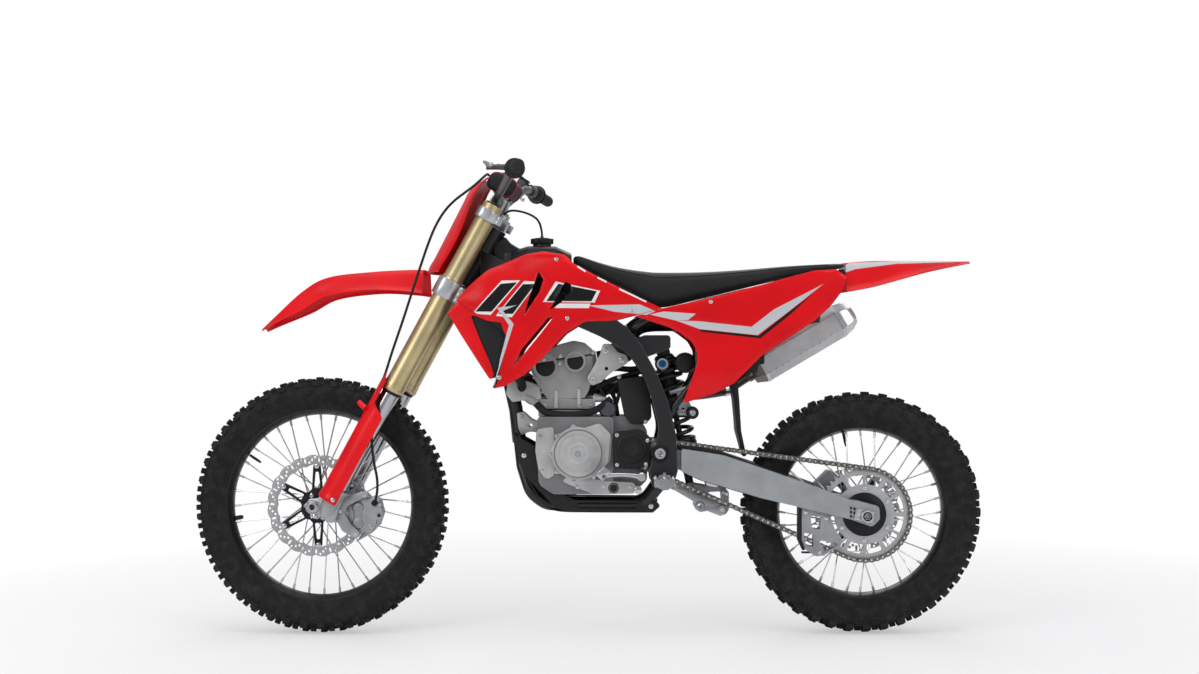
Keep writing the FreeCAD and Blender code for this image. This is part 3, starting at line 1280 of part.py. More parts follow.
PIECES = {
    "front_tyre": front_tyre, "front_rim": front_rim, "front_hub": front_hub, "front_disc": front_disc,
    "rear_tyre": rear_tyre, "rear_rim": rear_rim, "rear_hub": rear_hub, "rear_disc": rear_disc,
    "rear_sprocket": rear_sprocket, "front_axle": front_axle, "rear_axle": rear_axle,
    "fork_legs": fork_legs, "fork_tubes": fork_tubes, "triple_clamps": triple_clamps,
    "fork_guards": fork_guards, "handlebar": handlebar, "bar_pad": bar_pad, "grips": grips,
    "hand_controls": hand_controls, "front_caliper": front_caliper, "brake_hose": brake_hose,
    "front_fender": front_fender, "number_plate": number_plate, "main_frame": main_frame,
    "pivot_shaft": pivot_shaft, "subframe": subframe, "crankcase": crankcase, "cylinder": cylinder,
    "cylinder_head": cylinder_head, "front_sprocket": front_sprocket, "sprocket_cover": sprocket_cover,
    "engine_mounts": engine_mounts, "header_pipe": header_pipe, "silencer": silencer, "intake": intake,
    "airbox": airbox, "radiators": radiators, "radiator_louvres": radiator_louvres,
    "shroud_left": shroud_left, "shroud_right": shroud_right, "side_panels": side_panels,
    "fuel_tank": fuel_tank, "tank_cap": tank_cap, "vent_hose": vent_hose, "seat": seat,
    "rear_fender": rear_fender, "skid_plate": skid_plate, "swingarm": swingarm,
    "shock_absorber": shock_absorber, "shock_spring": shock_spring, "rear_linkage": rear_linkage,
    "chain": chain, "chain_guide": chain_guide, "rear_caliper": rear_caliper, "foot_controls": foot_controls,
}


def main():
    os.makedirs("parts", exist_ok=True)
    to_seat = V(-SEAT_X, 0, -SEAT_TOP_Z)
    print("hose bends, mm:", bend_radii(HOSE_ROUTE), bend_radii(VENT_ROUTE))
    for name, make in PIECES.items():
        make().translated(to_seat).exportStep("parts/" + name + ".step")


if __name__ == "__main__":
    main()
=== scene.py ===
import json
import math

import bmesh
import bpy
import numpy as np
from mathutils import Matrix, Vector

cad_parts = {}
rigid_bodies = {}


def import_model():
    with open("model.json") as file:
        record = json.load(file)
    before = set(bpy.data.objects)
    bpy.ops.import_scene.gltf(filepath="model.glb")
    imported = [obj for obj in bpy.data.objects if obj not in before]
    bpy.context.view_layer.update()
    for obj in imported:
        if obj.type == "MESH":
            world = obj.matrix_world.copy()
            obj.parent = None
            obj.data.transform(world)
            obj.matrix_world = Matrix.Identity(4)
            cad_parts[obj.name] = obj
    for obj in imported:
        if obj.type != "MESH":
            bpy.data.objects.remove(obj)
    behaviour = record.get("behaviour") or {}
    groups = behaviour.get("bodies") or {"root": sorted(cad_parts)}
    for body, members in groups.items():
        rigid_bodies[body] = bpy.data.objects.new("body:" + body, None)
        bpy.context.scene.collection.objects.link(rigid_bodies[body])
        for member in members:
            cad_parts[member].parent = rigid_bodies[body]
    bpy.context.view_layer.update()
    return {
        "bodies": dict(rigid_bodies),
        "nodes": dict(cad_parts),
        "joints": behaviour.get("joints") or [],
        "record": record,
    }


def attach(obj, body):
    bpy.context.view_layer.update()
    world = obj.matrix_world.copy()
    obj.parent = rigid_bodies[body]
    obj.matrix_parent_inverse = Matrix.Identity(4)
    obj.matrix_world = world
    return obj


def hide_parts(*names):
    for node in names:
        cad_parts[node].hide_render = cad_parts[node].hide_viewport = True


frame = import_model()
NODES = frame["nodes"]
BODY_OF = {node: body for body, nodes in frame["record"]["behaviour"]["bodies"].items() for node in nodes}

# A motocross bike. Shapes are worked out in millimetres on the workshop's floor: X rearward from the
# front wheel's foot, Y to the rider's right, Z up. bench() brings them to the frame, whose origin is
# on the seat's top.

SEAT_X = 980.0
SEAT_TOP_Z = 983.0
WHEELBASE = 1473.0
FRONT_R = 349.0
REAR_R = 329.0
RAKE = math.radians(28.5)
FORK_OFFSET = 58.0
LEG_AHEAD = 22.0
LEG_Y = 99.0
PARKED_TURN = math.radians(-4.0)
LINK = 15.875
COUNTERSHAFT = (852.0, 504.0)
REAR_AXLE = (WHEELBASE, REAR_R)
PIVOT = (921, 496)
MERGE_M = 2e-6
CAD_MERGE_M = 3e-6
FLAT_WITHIN = math.radians(1.0)
STEER_BASE = np.array([FORK_OFFSET * math.cos(RAKE), 0.0, FRONT_R - FORK_OFFSET * math.sin(RAKE)])


def bench(points):
    """Workshop millimetres to the frame's metres."""
    return (np.asarray(points, float) - (SEAT_X, 0.0, SEAT_TOP_Z)) / 1000.0


def from_fork(points, turn=PARKED_TURN):
    """Places in the steering frame (behind the axis, across, along it) to the workshop's millimetres."""
    p = np.asarray(points, float)
    behind = p[..., 0] * math.cos(turn) - p[..., 1] * math.sin(turn)
    across = p[..., 0] * math.sin(turn) + p[..., 1] * math.cos(turn)
    along = p[..., 2]
    x = behind * math.cos(RAKE) + along * math.sin(RAKE)
    z = along * math.cos(RAKE) - behind * math.sin(RAKE)
    return np.stack([x, across, z], -1) + STEER_BASE


def turned_with_bars(points):
    """Places drawn with the bars straight, turned with them to where the bike is parked."""
    p = np.asarray(points, float) - STEER_BASE
    axis = np.array([math.sin(RAKE), 0.0, math.cos(RAKE)])
    c, s = math.cos(PARKED_TURN), math.sin(PARKED_TURN)
    along = (p @ axis)[..., None] * axis
    return p * c + np.cross(axis, p) * s + along * (1 - c) + STEER_BASE


def on_front_wheel(points):
    return from_fork(np.asarray(points, float) - (FORK_OFFSET, 0, 0))


def on_rear_wheel(points):
    return np.asarray(points, float) + (WHEELBASE, 0, REAR_R)


# Surfaces: each shape is (points, faces), and joined() makes one of several

def sheet(points, wrap_rows=False, wrap_columns=False):
    """Quads over a grid of points; a wrapped direction closes on its first line."""
    rows, columns = points.shape[:2]
    i = np.arange(rows if wrap_rows else rows - 1)[:, None]
    j = np.arange(columns if wrap_columns else columns - 1)[None, :]
    nexti = (i + 1) % rows
    nextj = (j + 1) % columns
    corners = [i * columns + j, nexti * columns + j, nexti * columns + nextj, i * columns + nextj]
    faces = np.stack([c * np.ones_like(i + j) for c in corners], -1).reshape(-1, 4)
    return points.reshape(-1, 3), faces.tolist()


def joined(*shapes):
    points = []
    faces = []
    start = 0
    for p, f in shapes:
        points.append(np.asarray(p, float))
        faces += [[k + start for k in face] for face in f]
        start += len(p)
    return np.concatenate(points), faces


def moved(shape, place):
    return place(shape[0]), shape[1]


def mirrored(shape):
    """The same shape on the other side of the middle plane, its faces turned to point outwards."""
    return shape[0] * (1, -1, 1), [face[::-1] for face in shape[1]]


def both(shape):
    return joined(shape, mirrored(shape))


def square_to(way):
    """Two unit vectors square to a direction and to each other."""
    way = np.asarray(way, float) / np.linalg.norm(way)
    helper = (0.0, 1.0, 0.0) if abs(way[1]) < 0.9 else (1.0, 0.0, 0.0)
    u = np.cross(helper, way)
    u /= np.linalg.norm(u)
    return u, np.cross(way, u)


def turned(profile, start, way, sides=48):
    """A profile of (radius, distance along way) turned about the line through start."""
    profile = np.asarray(profile, float)
    way = np.asarray(way, float) / np.linalg.norm(way)
    u, v = square_to(way)
    angle = np.linspace(0, 2 * math.pi, sides, endpoint=False)
    ring = np.cos(angle)[:, None] * u + np.sin(angle)[:, None] * v
    points = np.asarray(start, float) + profile[:, None, 1:2] * way + profile[:, None, 0:1] * ring
    return sheet(points, wrap_columns=True)


def flat_turned(profile, at=(0, 0), sides=48):
    """A profile of (radius, y) turned about the line across the bike through at, an (x, z) place."""
    return turned(profile, (at[0], 0, at[1]), (0, 1, 0), sides)


def smooth_line(points, count=60):
    """A clamped quadratic spline with the points as its control points, at count even places."""
    p = np.asarray(points, float)
    spans = len(p) - 2
    t = np.linspace(0, spans - 1e-9, count)
    k = t.astype(int)
    f = (t - k)[:, None]
    a, b, c = p[k], p[k + 1], p[k + 2]
    first = np.where((k == 0)[:, None], a, (a + b) / 2)
    last = np.where((k == spans - 1)[:, None], c, (b + c) / 2)
    return (1 - f) ** 2 * first + 2 * f * (1 - f) * b + f ** 2 * last


def carried(path, section, closed=False, size=1.0):
    """A section of (u, v) pairs carried along a path; size is one scale, or a pair for each place."""
    path = np.asarray(path, float)
    ahead = np.gradient(path, axis=0)
    if closed:
        ahead = np.roll(path, -1, 0) - np.roll(path, 1, 0)
    ahead /= np.linalg.norm(ahead, axis=1)[:, None]
    u = np.cross(ahead, (0.0, 1.0, 0.0))
    weak = np.linalg.norm(u, axis=1) < 0.3
    u[weak] = np.cross(ahead[weak], (1.0, 0.0, 0.0))
    for k in range(1, len(u)):
        if weak[k] or weak[k - 1] or np.dot(u[k], u[k - 1]) < 0:
            u[k] = u[k - 1] - ahead[k] * np.dot(u[k - 1], ahead[k])
    u /= np.linalg.norm(u, axis=1)[:, None]
    v = np.cross(ahead, u)
    spread = np.asarray(section, float)[None] * np.broadcast_to(size, (len(path), 2))[:, None]
    points = path[:, None] + spread[..., :1] * u[:, None] + spread[..., 1:] * v[:, None]
    return sheet(points, wrap_rows=closed, wrap_columns=True)


def ring_section(radius, sides=12):
    angle = np.linspace(0, 2 * math.pi, sides, endpoint=False)
    return np.stack([np.cos(angle), np.sin(angle)], -1) * radius


def capped(shape, columns):
    """Closes both open ends of a sheet that wraps its columns."""
    points, faces = shape
    last = len(points) - columns
    return points, faces + [list(range(columns))[::-1], list(range(last, last + columns))]


def folded(loop):
    """A closed wall: the grid's columns run out on one face and back on the other; its ends are filled."""
    rows, columns = loop.shape[:2]
    points, faces = sheet(loop, wrap_columns=True)
    for start in (0, (rows - 1) * columns):
        faces += [[start + k, start + k + 1, start + columns - 2 - k, start + columns - 1 - k]
                  for k in range(columns // 2 - 1)]
    return points, faces


def squared_off(wave, power):
    """A sine or cosine raised to a power below one with its sign kept, for sections with full corners."""
    return np.sign(wave) * np.abs(wave) ** power


def tube(path, radius, sides=14):
    return capped(carried(path, ring_section(radius, sides)), sides)


def limb(points, sizes, count=24, sides=14):
    """An oval bar along a smooth line through control points, with a (thick, wide) pair at each of them."""
    size = smooth_line(np.column_stack([sizes, np.zeros(len(sizes))]), count)[:, :2]
    return capped(carried(smooth_line(points, count), ring_section(1.0, sides), size=size), sides)


def plate(outline, y0, y1):
    """An outline of (x, z) in the side view, given a thickness from y0 to y1."""
    outline = np.asarray(outline, float)
    turning = np.roll(outline, -1, 0)
    area = np.sum(outline[:, 0] * turning[:, 1] - turning[:, 0] * outline[:, 1])
    if area < 0:
        outline = outline[::-1]
    n = len(outline)
    points = np.concatenate([np.insert(outline, 1, y, axis=1) for y in sorted((y0, y1))])
    sides = [[n + k, n + (k + 1) % n, (k + 1) % n, k] for k in range(n)]
    return points, [list(range(n)), list(range(n, 2 * n))[::-1]] + sides


def rounded(corners, steps=5):
    """An outline whose corners (a, b, radius) become arcs of a few points."""
    out = []
    count = len(corners)
    for i, corner in enumerate(corners):
        here = np.array(corner[:2], float)
        radius = corner[2] if len(corner) > 2 else 0.0
        before = np.array(corners[i - 1][:2], float) - here
        after = np.array(corners[(i + 1) % count][:2], float) - here
        lb, la = np.linalg.norm(before), np.linalg.norm(after)
        before /= lb
        after /= la
        half = math.acos(max(-1.0, min(1.0, float(before @ after)))) / 2
        if radius <= 0 or half > 1.55:
            out.append(here)
            continue
        reach = min(radius / math.tan(half), 0.49 * lb, 0.49 * la)
        start, end = here + before * reach, here + after * reach
        for t in np.linspace(0, 1, steps):
            out.append((1 - t) ** 2 * start + 2 * t * (1 - t) * here + t ** 2 * end)
    return np.array(out)


def box(x, y, z):
    corners = np.array([(a, b, c) for a in x for b in y for c in z], float)
    return corners, [[0, 1, 3, 2], [4, 6, 7, 5], [0, 4, 5, 1], [2, 3, 7, 6], [0, 2, 6, 4], [1, 5, 7, 3]]


def repeated(shape, frames):
    """Copies of a shape, one for each (3, 4) frame: three columns of axes and one of place."""
    points, faces = shape
    frames = np.asarray(frames, float)
    spread = np.einsum("kij,nj->kni", frames[:, :, :3], points) + frames[:, None, :, 3]
    shift = np.arange(len(frames)) * len(points)
    copies = [[k + s for k in face] for s in shift.tolist() for face in faces]
    return spread.reshape(-1, 3), copies


def bolt(radius, height):
    """A hexagon head on a washer, standing on the XY plane and pointing along Z."""
    washer = turned([(0.01, 0.0), (radius * 1.25, 0.0), (radius * 1.25, height * 0.2),
                     (radius, height * 0.25)], (0, 0, 0), (0, 0, 1), 12)
    head = turned([(radius, 0.0), (radius, height * 0.85), (radius * 0.8, height), (0.01, height)],
                  (0, 0, 0), (0, 0, 1), 6)
    return joined(washer, head)


def standing(places, way):
    """Frames that put Z of a shape along way at each place."""
    u, v = square_to(way)
    way = np.asarray(way, float) / np.linalg.norm(way)
    axes = np.stack([u, v, way], -1)
    return [np.concatenate([axes, np.asarray(p, float)[:, None]], 1) for p in places]


def bolts(places, way, radius=5.0, height=5.0):
    return repeated(bolt(radius, height), standing(places, way))


def outward_bolts(places, radius, height):
    """Bolts whose heads point away from the middle plane."""
    return joined(*[bolts([p], (0, math.copysign(1, p[1]), 0), radius, height) for p in places])


def side_bolts(places, y, size=4.5, height=4.0):
    """Bolts at (x, z) places on a face at y, pointing away from the middle plane."""
    return bolts([(x, y, z) for x, z in places], (0, math.copysign(1, y), 0), size, height)


def held_hose(name, route, radius, finish, body, node):
    """A hose held at its clips: one smooth curve that repeats the route's points."""
    curve = bpy.data.curves.new(name, "CURVE")
    curve.dimensions = "3D"
    curve.bevel_depth = radius / 1000.0
    curve.bevel_resolution = 4
    curve.use_fill_caps = True
    curve.resolution_u = 8
    spline = curve.splines.new("NURBS")
    spline.points.add(len(route) - 1)
    spline.points.foreach_set("co", np.column_stack([bench(route), np.ones(len(route))]).ravel())
    spline.order_u = 3
    spline.use_endpoint_u = True
    curve.materials.append(finish.material)
    piece = bpy.data.objects.new(name, curve)
    bpy.context.scene.collection.objects.link(piece)
    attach(piece, body)
    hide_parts(node)


def put_on(name, mesh, finish, body, stands_for, round_over, bevel):
    """Gives a mesh its object, finish, soft edges and the body that it rides on."""
    piece = bpy.data.objects.new(name, mesh)
    bpy.context.scene.collection.objects.link(piece)
    mesh.materials.clear()
    mesh.materials.append(finish.material)
    mesh.shade_smooth()
    mesh.set_sharp_from_angle(angle=math.radians(round_over))
    if bevel:
        rounding = piece.modifiers.new("rounded edges", "BEVEL")
        rounding.width = bevel / 1000.0
        rounding.segments = 2
        rounding.limit_method = "ANGLE"
        rounding.angle_limit = math.radians(max(round_over, 30))
        rounding.harden_normals = True
        rounding.miter_outer = "MITER_ARC"
    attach(piece, body)
    if stands_for:
        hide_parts(*stands_for)
    return piece


def made(name, shape, finish, body, stands_for=(), round_over=38, bevel=0.0):
    """A piece from a shape in workshop millimetres."""
    points, faces = shape
    mesh = bpy.data.meshes.new(name)
    mesh.from_pydata(bench(points).tolist(), [], faces)
    grown = bmesh.new()
    grown.from_mesh(mesh)
    bmesh.ops.remove_doubles(grown, verts=grown.verts, dist=MERGE_M)
    bmesh.ops.recalc_face_normals(grown, faces=grown.faces)
    grown.to_mesh(mesh)
    grown.free()
    return put_on(name, mesh, finish, body, stands_for, round_over, bevel)


def on_chassis(name, shape, finish, *stands_for, round_over=35, bevel=0.0):
    return made(name, shape, finish, "chassis", stands_for, round_over, bevel)


def on_fork(name, shape, finish, *stands_for, round_over=35):
    """A piece drawn in the steering frame, which turns with the bars."""
    return made(name, moved(shape, from_fork), finish, "steering", stands_for, round_over)


def on_front(name, shape, finish, *stands_for, round_over=35):
    return made(name, moved(shape, on_front_wheel), finish, "front_wheel", stands_for, round_over)


def on_rear(name, shape, finish, *stands_for, round_over=35):
    return made(name, moved(shape, on_rear_wheel), finish, "rear_wheel", stands_for, round_over)


def dressed(node, finish, round_over=32, bevel=0.0, name=None):
    """A CAD node's own shape with its triangles merged into smooth faces, in its finish."""
    mesh = NODES[node].data.copy()
    mesh.name = name or node + "_finished"
    whole = bmesh.new()
    whole.from_mesh(mesh)
    bmesh.ops.remove_doubles(whole, verts=whole.verts, dist=CAD_MERGE_M)
    if bevel:
        bmesh.ops.dissolve_limit(whole, angle_limit=FLAT_WITHIN, verts=whole.verts, edges=whole.edges)
    whole.to_mesh(mesh)
    whole.free()
    return put_on(mesh.name, mesh, finish, BODY_OF[node], (node,), round_over, bevel)


# Finishes

class Shade:
    """A socket of a finish's node tree; arithmetic on it adds the Math nodes that do it."""

    def __init__(self, tree, socket):
        self.tree = tree
        self.socket = socket

    def maths(self, operation, *values, clamp=False):
        """A Math node of the same tree, fed with numbers and with other sockets."""
        node = self.tree.nodes.new("ShaderNodeMath")
        node.operation = operation
        node.use_clamp = clamp
        for place, value in enumerate(values):
            fed(self.tree, node.inputs[place], value)
        return Shade(self.tree, node.outputs[0])

    def __add__(self, other):
        return self.maths("ADD", self, other)

    __radd__ = __add__

    def __mul__(self, other):
        return self.maths("MULTIPLY", self, other)

    def __sub__(self, other):
        return self.maths("SUBTRACT", self, other)

    def __rsub__(self, other):
        return self.maths("SUBTRACT", other, self)

    def __pow__(self, other):
        return self.maths("POWER", self, other)

    def least(self, other):
        return self.maths("MINIMUM", self, other)

    def most(self, other):
        return self.maths("MAXIMUM", self, other)

    def sine(self):
        return self.maths("SINE", self)

    def step(self, low, high):
        """0 below low, 1 above high, with a straight ramp between."""
        return self.maths("ADD", (self - low) * (1.0 / (high - low)), 0.0, clamp=True)


def fed(tree, socket, value):
    """Links a socket to another node's output, or sets it to a number or colour."""
    if isinstance(value, Shade):
        tree.links.new(value.socket, socket)
    else:
        socket.default_value = value


def toned(colour, scale, lift=0.0):
    """A colour made darker or lighter."""
    return tuple(min(1.0, c * scale + lift) for c in colour[:3]) + (1.0,)


def linear(red, green, blue):
    """A screen colour in 0 to 255 as the linear colour that a shader takes."""
    c = np.array([red, green, blue]) / 255.0
    c = np.where(c <= 0.04045, c / 12.92, ((c + 0.055) / 1.055) ** 2.4)
    return (*c.tolist(), 1.0)


class Finish:
    """A material round one Principled shader, with the few nodes that a finish needs."""

    def __init__(self, name, colour, roughness, metallic=0.0, coat=0.0, slot=None, specular=0.5):
        self.material = bpy.data.materials.new(name)
        self.material.use_nodes = True
        self.tree = self.material.node_tree
        self.shader = self.tree.nodes["Principled BSDF"]
        self.slot = slot
        self.shader.inputs["Base Color"].default_value = colour
        self.shader.inputs["Roughness"].default_value = roughness
        self.shader.inputs["Metallic"].default_value = metallic
        self.shader.inputs["Coat Weight"].default_value = coat
        self.shader.inputs["Coat Roughness"].default_value = 0.12
        self.shader.inputs["Specular IOR Level"].default_value = specular
        self.material.diffuse_color = colour

    def add(self, kind, settings=None, **sockets):
        """One node: its settings first, then values or links by socket name."""
        node = self.tree.nodes.new(kind)
        for key, value in (settings or {}).items():
            setattr(node, key, value)
        for key, value in sockets.items():
            by_number = key[0] == "i" and key[1:].isdigit()
            socket = node.inputs[int(key[1:]) if by_number else key.replace("_", " ")]
            fed(self.tree, socket, value)
        return node

    def place(self):
        """The place on the piece, in metres, as three numbers and as a vector."""
        where = Shade(self.tree, self.add("ShaderNodeTexCoord").outputs["Object"])
        parts = self.add("ShaderNodeSeparateXYZ", i0=where)
        return [Shade(self.tree, parts.outputs[k]) for k in range(3)], where

    def joined_up(self, x, y, z):
        node = self.add("ShaderNodeCombineXYZ", i0=x, i1=y, i2=z)
        return Shade(self.tree, node.outputs[0])

    def noise(self, where, scale, detail=2.0, rough=0.5):
        node = self.add("ShaderNodeTexNoise", Vector=where, Scale=scale, Detail=detail, Roughness=rough)
        return Shade(self.tree, node.outputs[0])

    def cells(self, where, scale, feature="F1"):
        node = self.add("ShaderNodeTexVoronoi", {"feature": feature}, Vector=where, Scale=scale)
        return Shade(self.tree, node.outputs["Distance"])

    def mixed(self, mask, first, second):
        """The first colour where the mask is 0, the second where it is 1."""
        node = self.add("ShaderNodeMix", {"data_type": "RGBA"})
        for place, value in ((0, mask), (6, first), (7, second)):
            fed(self.tree, node.inputs[place], value)
        return Shade(self.tree, node.outputs[2])

    def edges(self, width=0.004):
        """1 on sharp outer edges and 0 on flat ground, from the bevelled normal."""
        rounded_normal = self.add("ShaderNodeBevel", {"samples": 4}, Radius=width)
        flat = self.add("ShaderNodeNewGeometry")
        likeness = self.add("ShaderNodeVectorMath", {"operation": "DOT_PRODUCT"})
        self.tree.links.new(rounded_normal.outputs[0], likeness.inputs[0])
        self.tree.links.new(flat.outputs["Normal"], likeness.inputs[1])
        return (1.0 - Shade(self.tree, likeness.outputs["Value"])).step(0.01, 0.12)

    def bump(self, height, strength, distance=0.001):
        node = self.add("ShaderNodeBump", Height=height, Strength=strength, Distance=distance)
        self.tree.links.new(node.outputs[0], self.shader.inputs["Normal"])

    def feed(self, **inputs):
        for key, value in inputs.items():
            self.tree.links.new(value.socket, self.shader.inputs[key.replace("_", " ")])
        return self


def polygon(across, up, corners, soft=0.0006):
    """1 inside a convex outline and 0 outside: the least distance inwards from its sides."""
    corners = np.asarray(corners, float)
    after = np.roll(corners, -1, 0)
    if np.sum(corners[:, 0] * after[:, 1] - after[:, 0] * corners[:, 1]) < 0:
        corners = corners[::-1]
        after = np.roll(corners, -1, 0)
    inside = None
    for (ax, ay), (bx, by) in zip(corners.tolist(), after.tolist()):
        length = math.hypot(bx - ax, by - ay)
        nx, ny = -(by - ay) / length, (bx - ax) / length
        depth = across * nx + up * ny - (ax * nx + ay * ny)
        inside = depth if inside is None else inside.least(depth)
    return inside.step(-soft, soft)


def panel(points):
    """Workshop (x, z) places of a panel's artwork in the frame's metres."""
    return (np.asarray(points, float) - (SEAT_X, SEAT_TOP_Z)) / 1000.0


PEEL = 260.0
RED = linear(228, 2, 16)
DEEP_RED = linear(208, 1, 13)
WHITE = linear(232, 232, 232)
STRIPE = linear(196, 199, 203)
INK = linear(16, 16, 18)


def moulded(name, colour, roughness=0.32, grain=0.0, slot=None, coat=0.0, specular=0.3):
    """Injected plastic: a slow change of tone, a little orange peel and fine scuffs."""
    f = Finish(name, colour, roughness, slot=slot, coat=coat, specular=specular)
    parts, where = f.place()
    slow = f.noise(where, 9.0, 2.0)
    scuffs = f.noise(f.joined_up(parts[0] * 40.0, parts[1] * 40.0, parts[2] * 900.0), 1.0, 3.0)
    f.feed(Base_Color=f.mixed(slow.step(0.3, 0.7), toned(colour, 0.86), toned(colour, 1.07, 0.002)),
           Roughness=roughness + slow * 0.08 + scuffs.step(0.55, 0.75) * 0.07)
    f.bump(f.noise(where, PEEL, 2.0), 0.05 + grain, 0.0004)
    return f


def cast_metal(name, colour, roughness=0.5, metallic=0.85, grit=0.5, slot=None):
    """Sand-cast metal: a grainy skin, brighter on its worn edges and darker in patches."""
    f = Finish(name, colour, roughness, metallic, slot=slot)
    _, where = f.place()
    grain = f.noise(where, 420.0, 4.0, 0.65)
    patches = f.noise(where, 14.0, 3.0)
    worn = f.edges(0.003)
    ground = f.mixed(patches.step(0.35, 0.68), toned(colour, 0.7), colour)
    f.feed(Base_Color=f.mixed(worn * 0.7, ground, toned(colour, 1.45, 0.03)),
           Roughness=roughness + patches * 0.12 - worn * 0.15)
    f.bump(grain, grit, 0.0007)
    return f


def satin_metal(name, colour, roughness=0.3, metallic=1.0, brushed=None, slot=None, strength=0.12):
    """Anodised or brushed metal: hair-fine lines along one direction over a slow change of sheen."""
    f = Finish(name, colour, roughness, metallic, slot=slot)
    parts, where = f.place()
    stretch = {"x": (12.0, 700.0, 700.0), "y": (700.0, 12.0, 700.0), None: (350.0, 350.0, 350.0)}[brushed]
    lines = f.noise(f.joined_up(*[p * s for p, s in zip(parts, stretch)]), 1.0, 2.0)
    slow = f.noise(where, 18.0, 2.0)
    f.feed(Base_Color=f.mixed(slow.step(0.3, 0.7), toned(colour, 0.82), colour),
           Roughness=roughness + lines * 0.06)
    if strength:
        f.bump(lines, strength, 0.0003)
    return f


def frame_paint():
    """Satin black frame paint, light grey in patches along its edges: partly rubbed bare, partly a painted
    highlight.
    """
    black = linear(24, 24, 26)
    f = Finish("frame_satin_black", black, 0.34, 0.25, coat=0.25, slot="dark_metal")
    _, where = f.place()
    # Light grey on the edges: part bare metal, part painted highlight.
    bare_and_highlit_edge = f.edges(0.004) * f.noise(where, 60.0, 3.0).step(0.3, 0.75)
    slow = f.noise(where, 20.0, 3.0)
    f.feed(Base_Color=f.mixed(bare_and_highlit_edge * 0.55, black, linear(150, 152, 156)), Roughness=0.34 + slow * 0.12)
    f.bump(f.noise(where, 700.0, 2.0), 0.06, 0.0003)
    return f


def tyre_rubber():
    """Dusty black rubber, greyer on the lug tops and mottled down the sides."""
    f = Finish("tyre_rubber", linear(26, 26, 28), 0.72, slot="tyre", specular=0.3)
    _, where = f.place()
    dust = f.noise(where, 40.0, 5.0, 0.6)
    worn = f.edges(0.004)
    grey = (dust.step(0.42, 0.75) * 0.45 + worn * 0.4).step(0.0, 1.0)
    f.feed(Base_Color=f.mixed(grey, linear(14, 14, 16), linear(60, 60, 60)), Roughness=0.62 + dust * 0.22)
    f.bump(f.noise(where, 900.0, 4.0, 0.7), 0.25, 0.0005)
    return f


def soft_rubber():
    f = Finish("grip_rubber", linear(30, 30, 32), 0.62, slot="rubber", specular=0.35)
    _, where = f.place()
    f.feed(Roughness=0.55 + f.noise(where, 120.0, 3.0) * 0.2)
    f.bump(f.cells(where, 900.0), 0.3, 0.0005)
    return f


def chain_steel():
    """Oiled dark steel with brighter rubbed faces."""
    f = Finish("chain_steel", linear(104, 100, 94), 0.34, 0.95, slot="chain")
    _, where = f.place()
    oil = f.noise(where, 260.0, 3.0)
    f.feed(Base_Color=f.mixed(oil.step(0.4, 0.65), linear(150, 146, 138), linear(52, 49, 45)),
           Roughness=0.22 + oil * 0.3)
    f.bump(f.noise(where, 1500.0, 2.0), 0.1, 0.0002)
    return f


def heated_steel():
    """The header: a brown tint near the port that dulls to grey half a metre further back."""
    f = Finish("header_steel", linear(120, 112, 102), 0.32, 1.0, slot="silencer")
    parts, where = f.place()
    along = (parts[0] - panel([(560, 0)])[0][0]) * 2.0
    mottled = (along + f.noise(where, 24.0, 3.0) * 0.35 - 0.17).step(0.0, 1.0)
    tint = f.mixed(mottled, linear(96, 84, 68), linear(80, 76, 73))
    f.feed(Base_Color=tint, Roughness=0.26 + f.noise(where, 90.0, 3.0) * 0.2)
    f.bump(f.noise(where, 1200.0, 2.0), 0.08, 0.0003)
    return f


def seat_cover():
    """Gripper cover: fine pimples in a tight grid over a soft sheen."""
    f = Finish("seat_cover_cloth", linear(24, 24, 26), 0.62, slot="seat_cover", specular=0.35)
    f.shader.inputs["Sheen Weight"].default_value = 0.15
    parts, where = f.place()
    rows = (parts[0] * 1800.0).sine() * (parts[1] * 1800.0).sine() * (parts[2] * 1100.0 + 1.3).sine()
    slow = f.noise(where, 12.0, 3.0)
    f.feed(Base_Color=f.mixed(slow.step(0.3, 0.7), linear(19, 19, 21), linear(33, 33, 36)),
           Roughness=0.55 + slow * 0.16)
    f.bump(rows * 0.5 + f.noise(where, 800.0, 2.0) * 0.4, 0.35, 0.0004)
    return f


# Camera, floor and light

CAMERA_AT = (-0.2207, -4.562, -0.1761)


def set_up_view():
    """A level camera square to the bike's left side."""
    data = bpy.data.cameras.new("camera")
    data.lens = 50.0
    data.sensor_width = 36.0
    camera = bpy.data.objects.new("camera", data)
    bpy.context.scene.collection.objects.link(camera)
    camera.location = CAMERA_AT
    camera.rotation_euler = (math.radians(90.0), 0.0, 0.0)
    bpy.context.scene.camera = camera
    bpy.context.scene.view_settings.view_transform = "Standard"


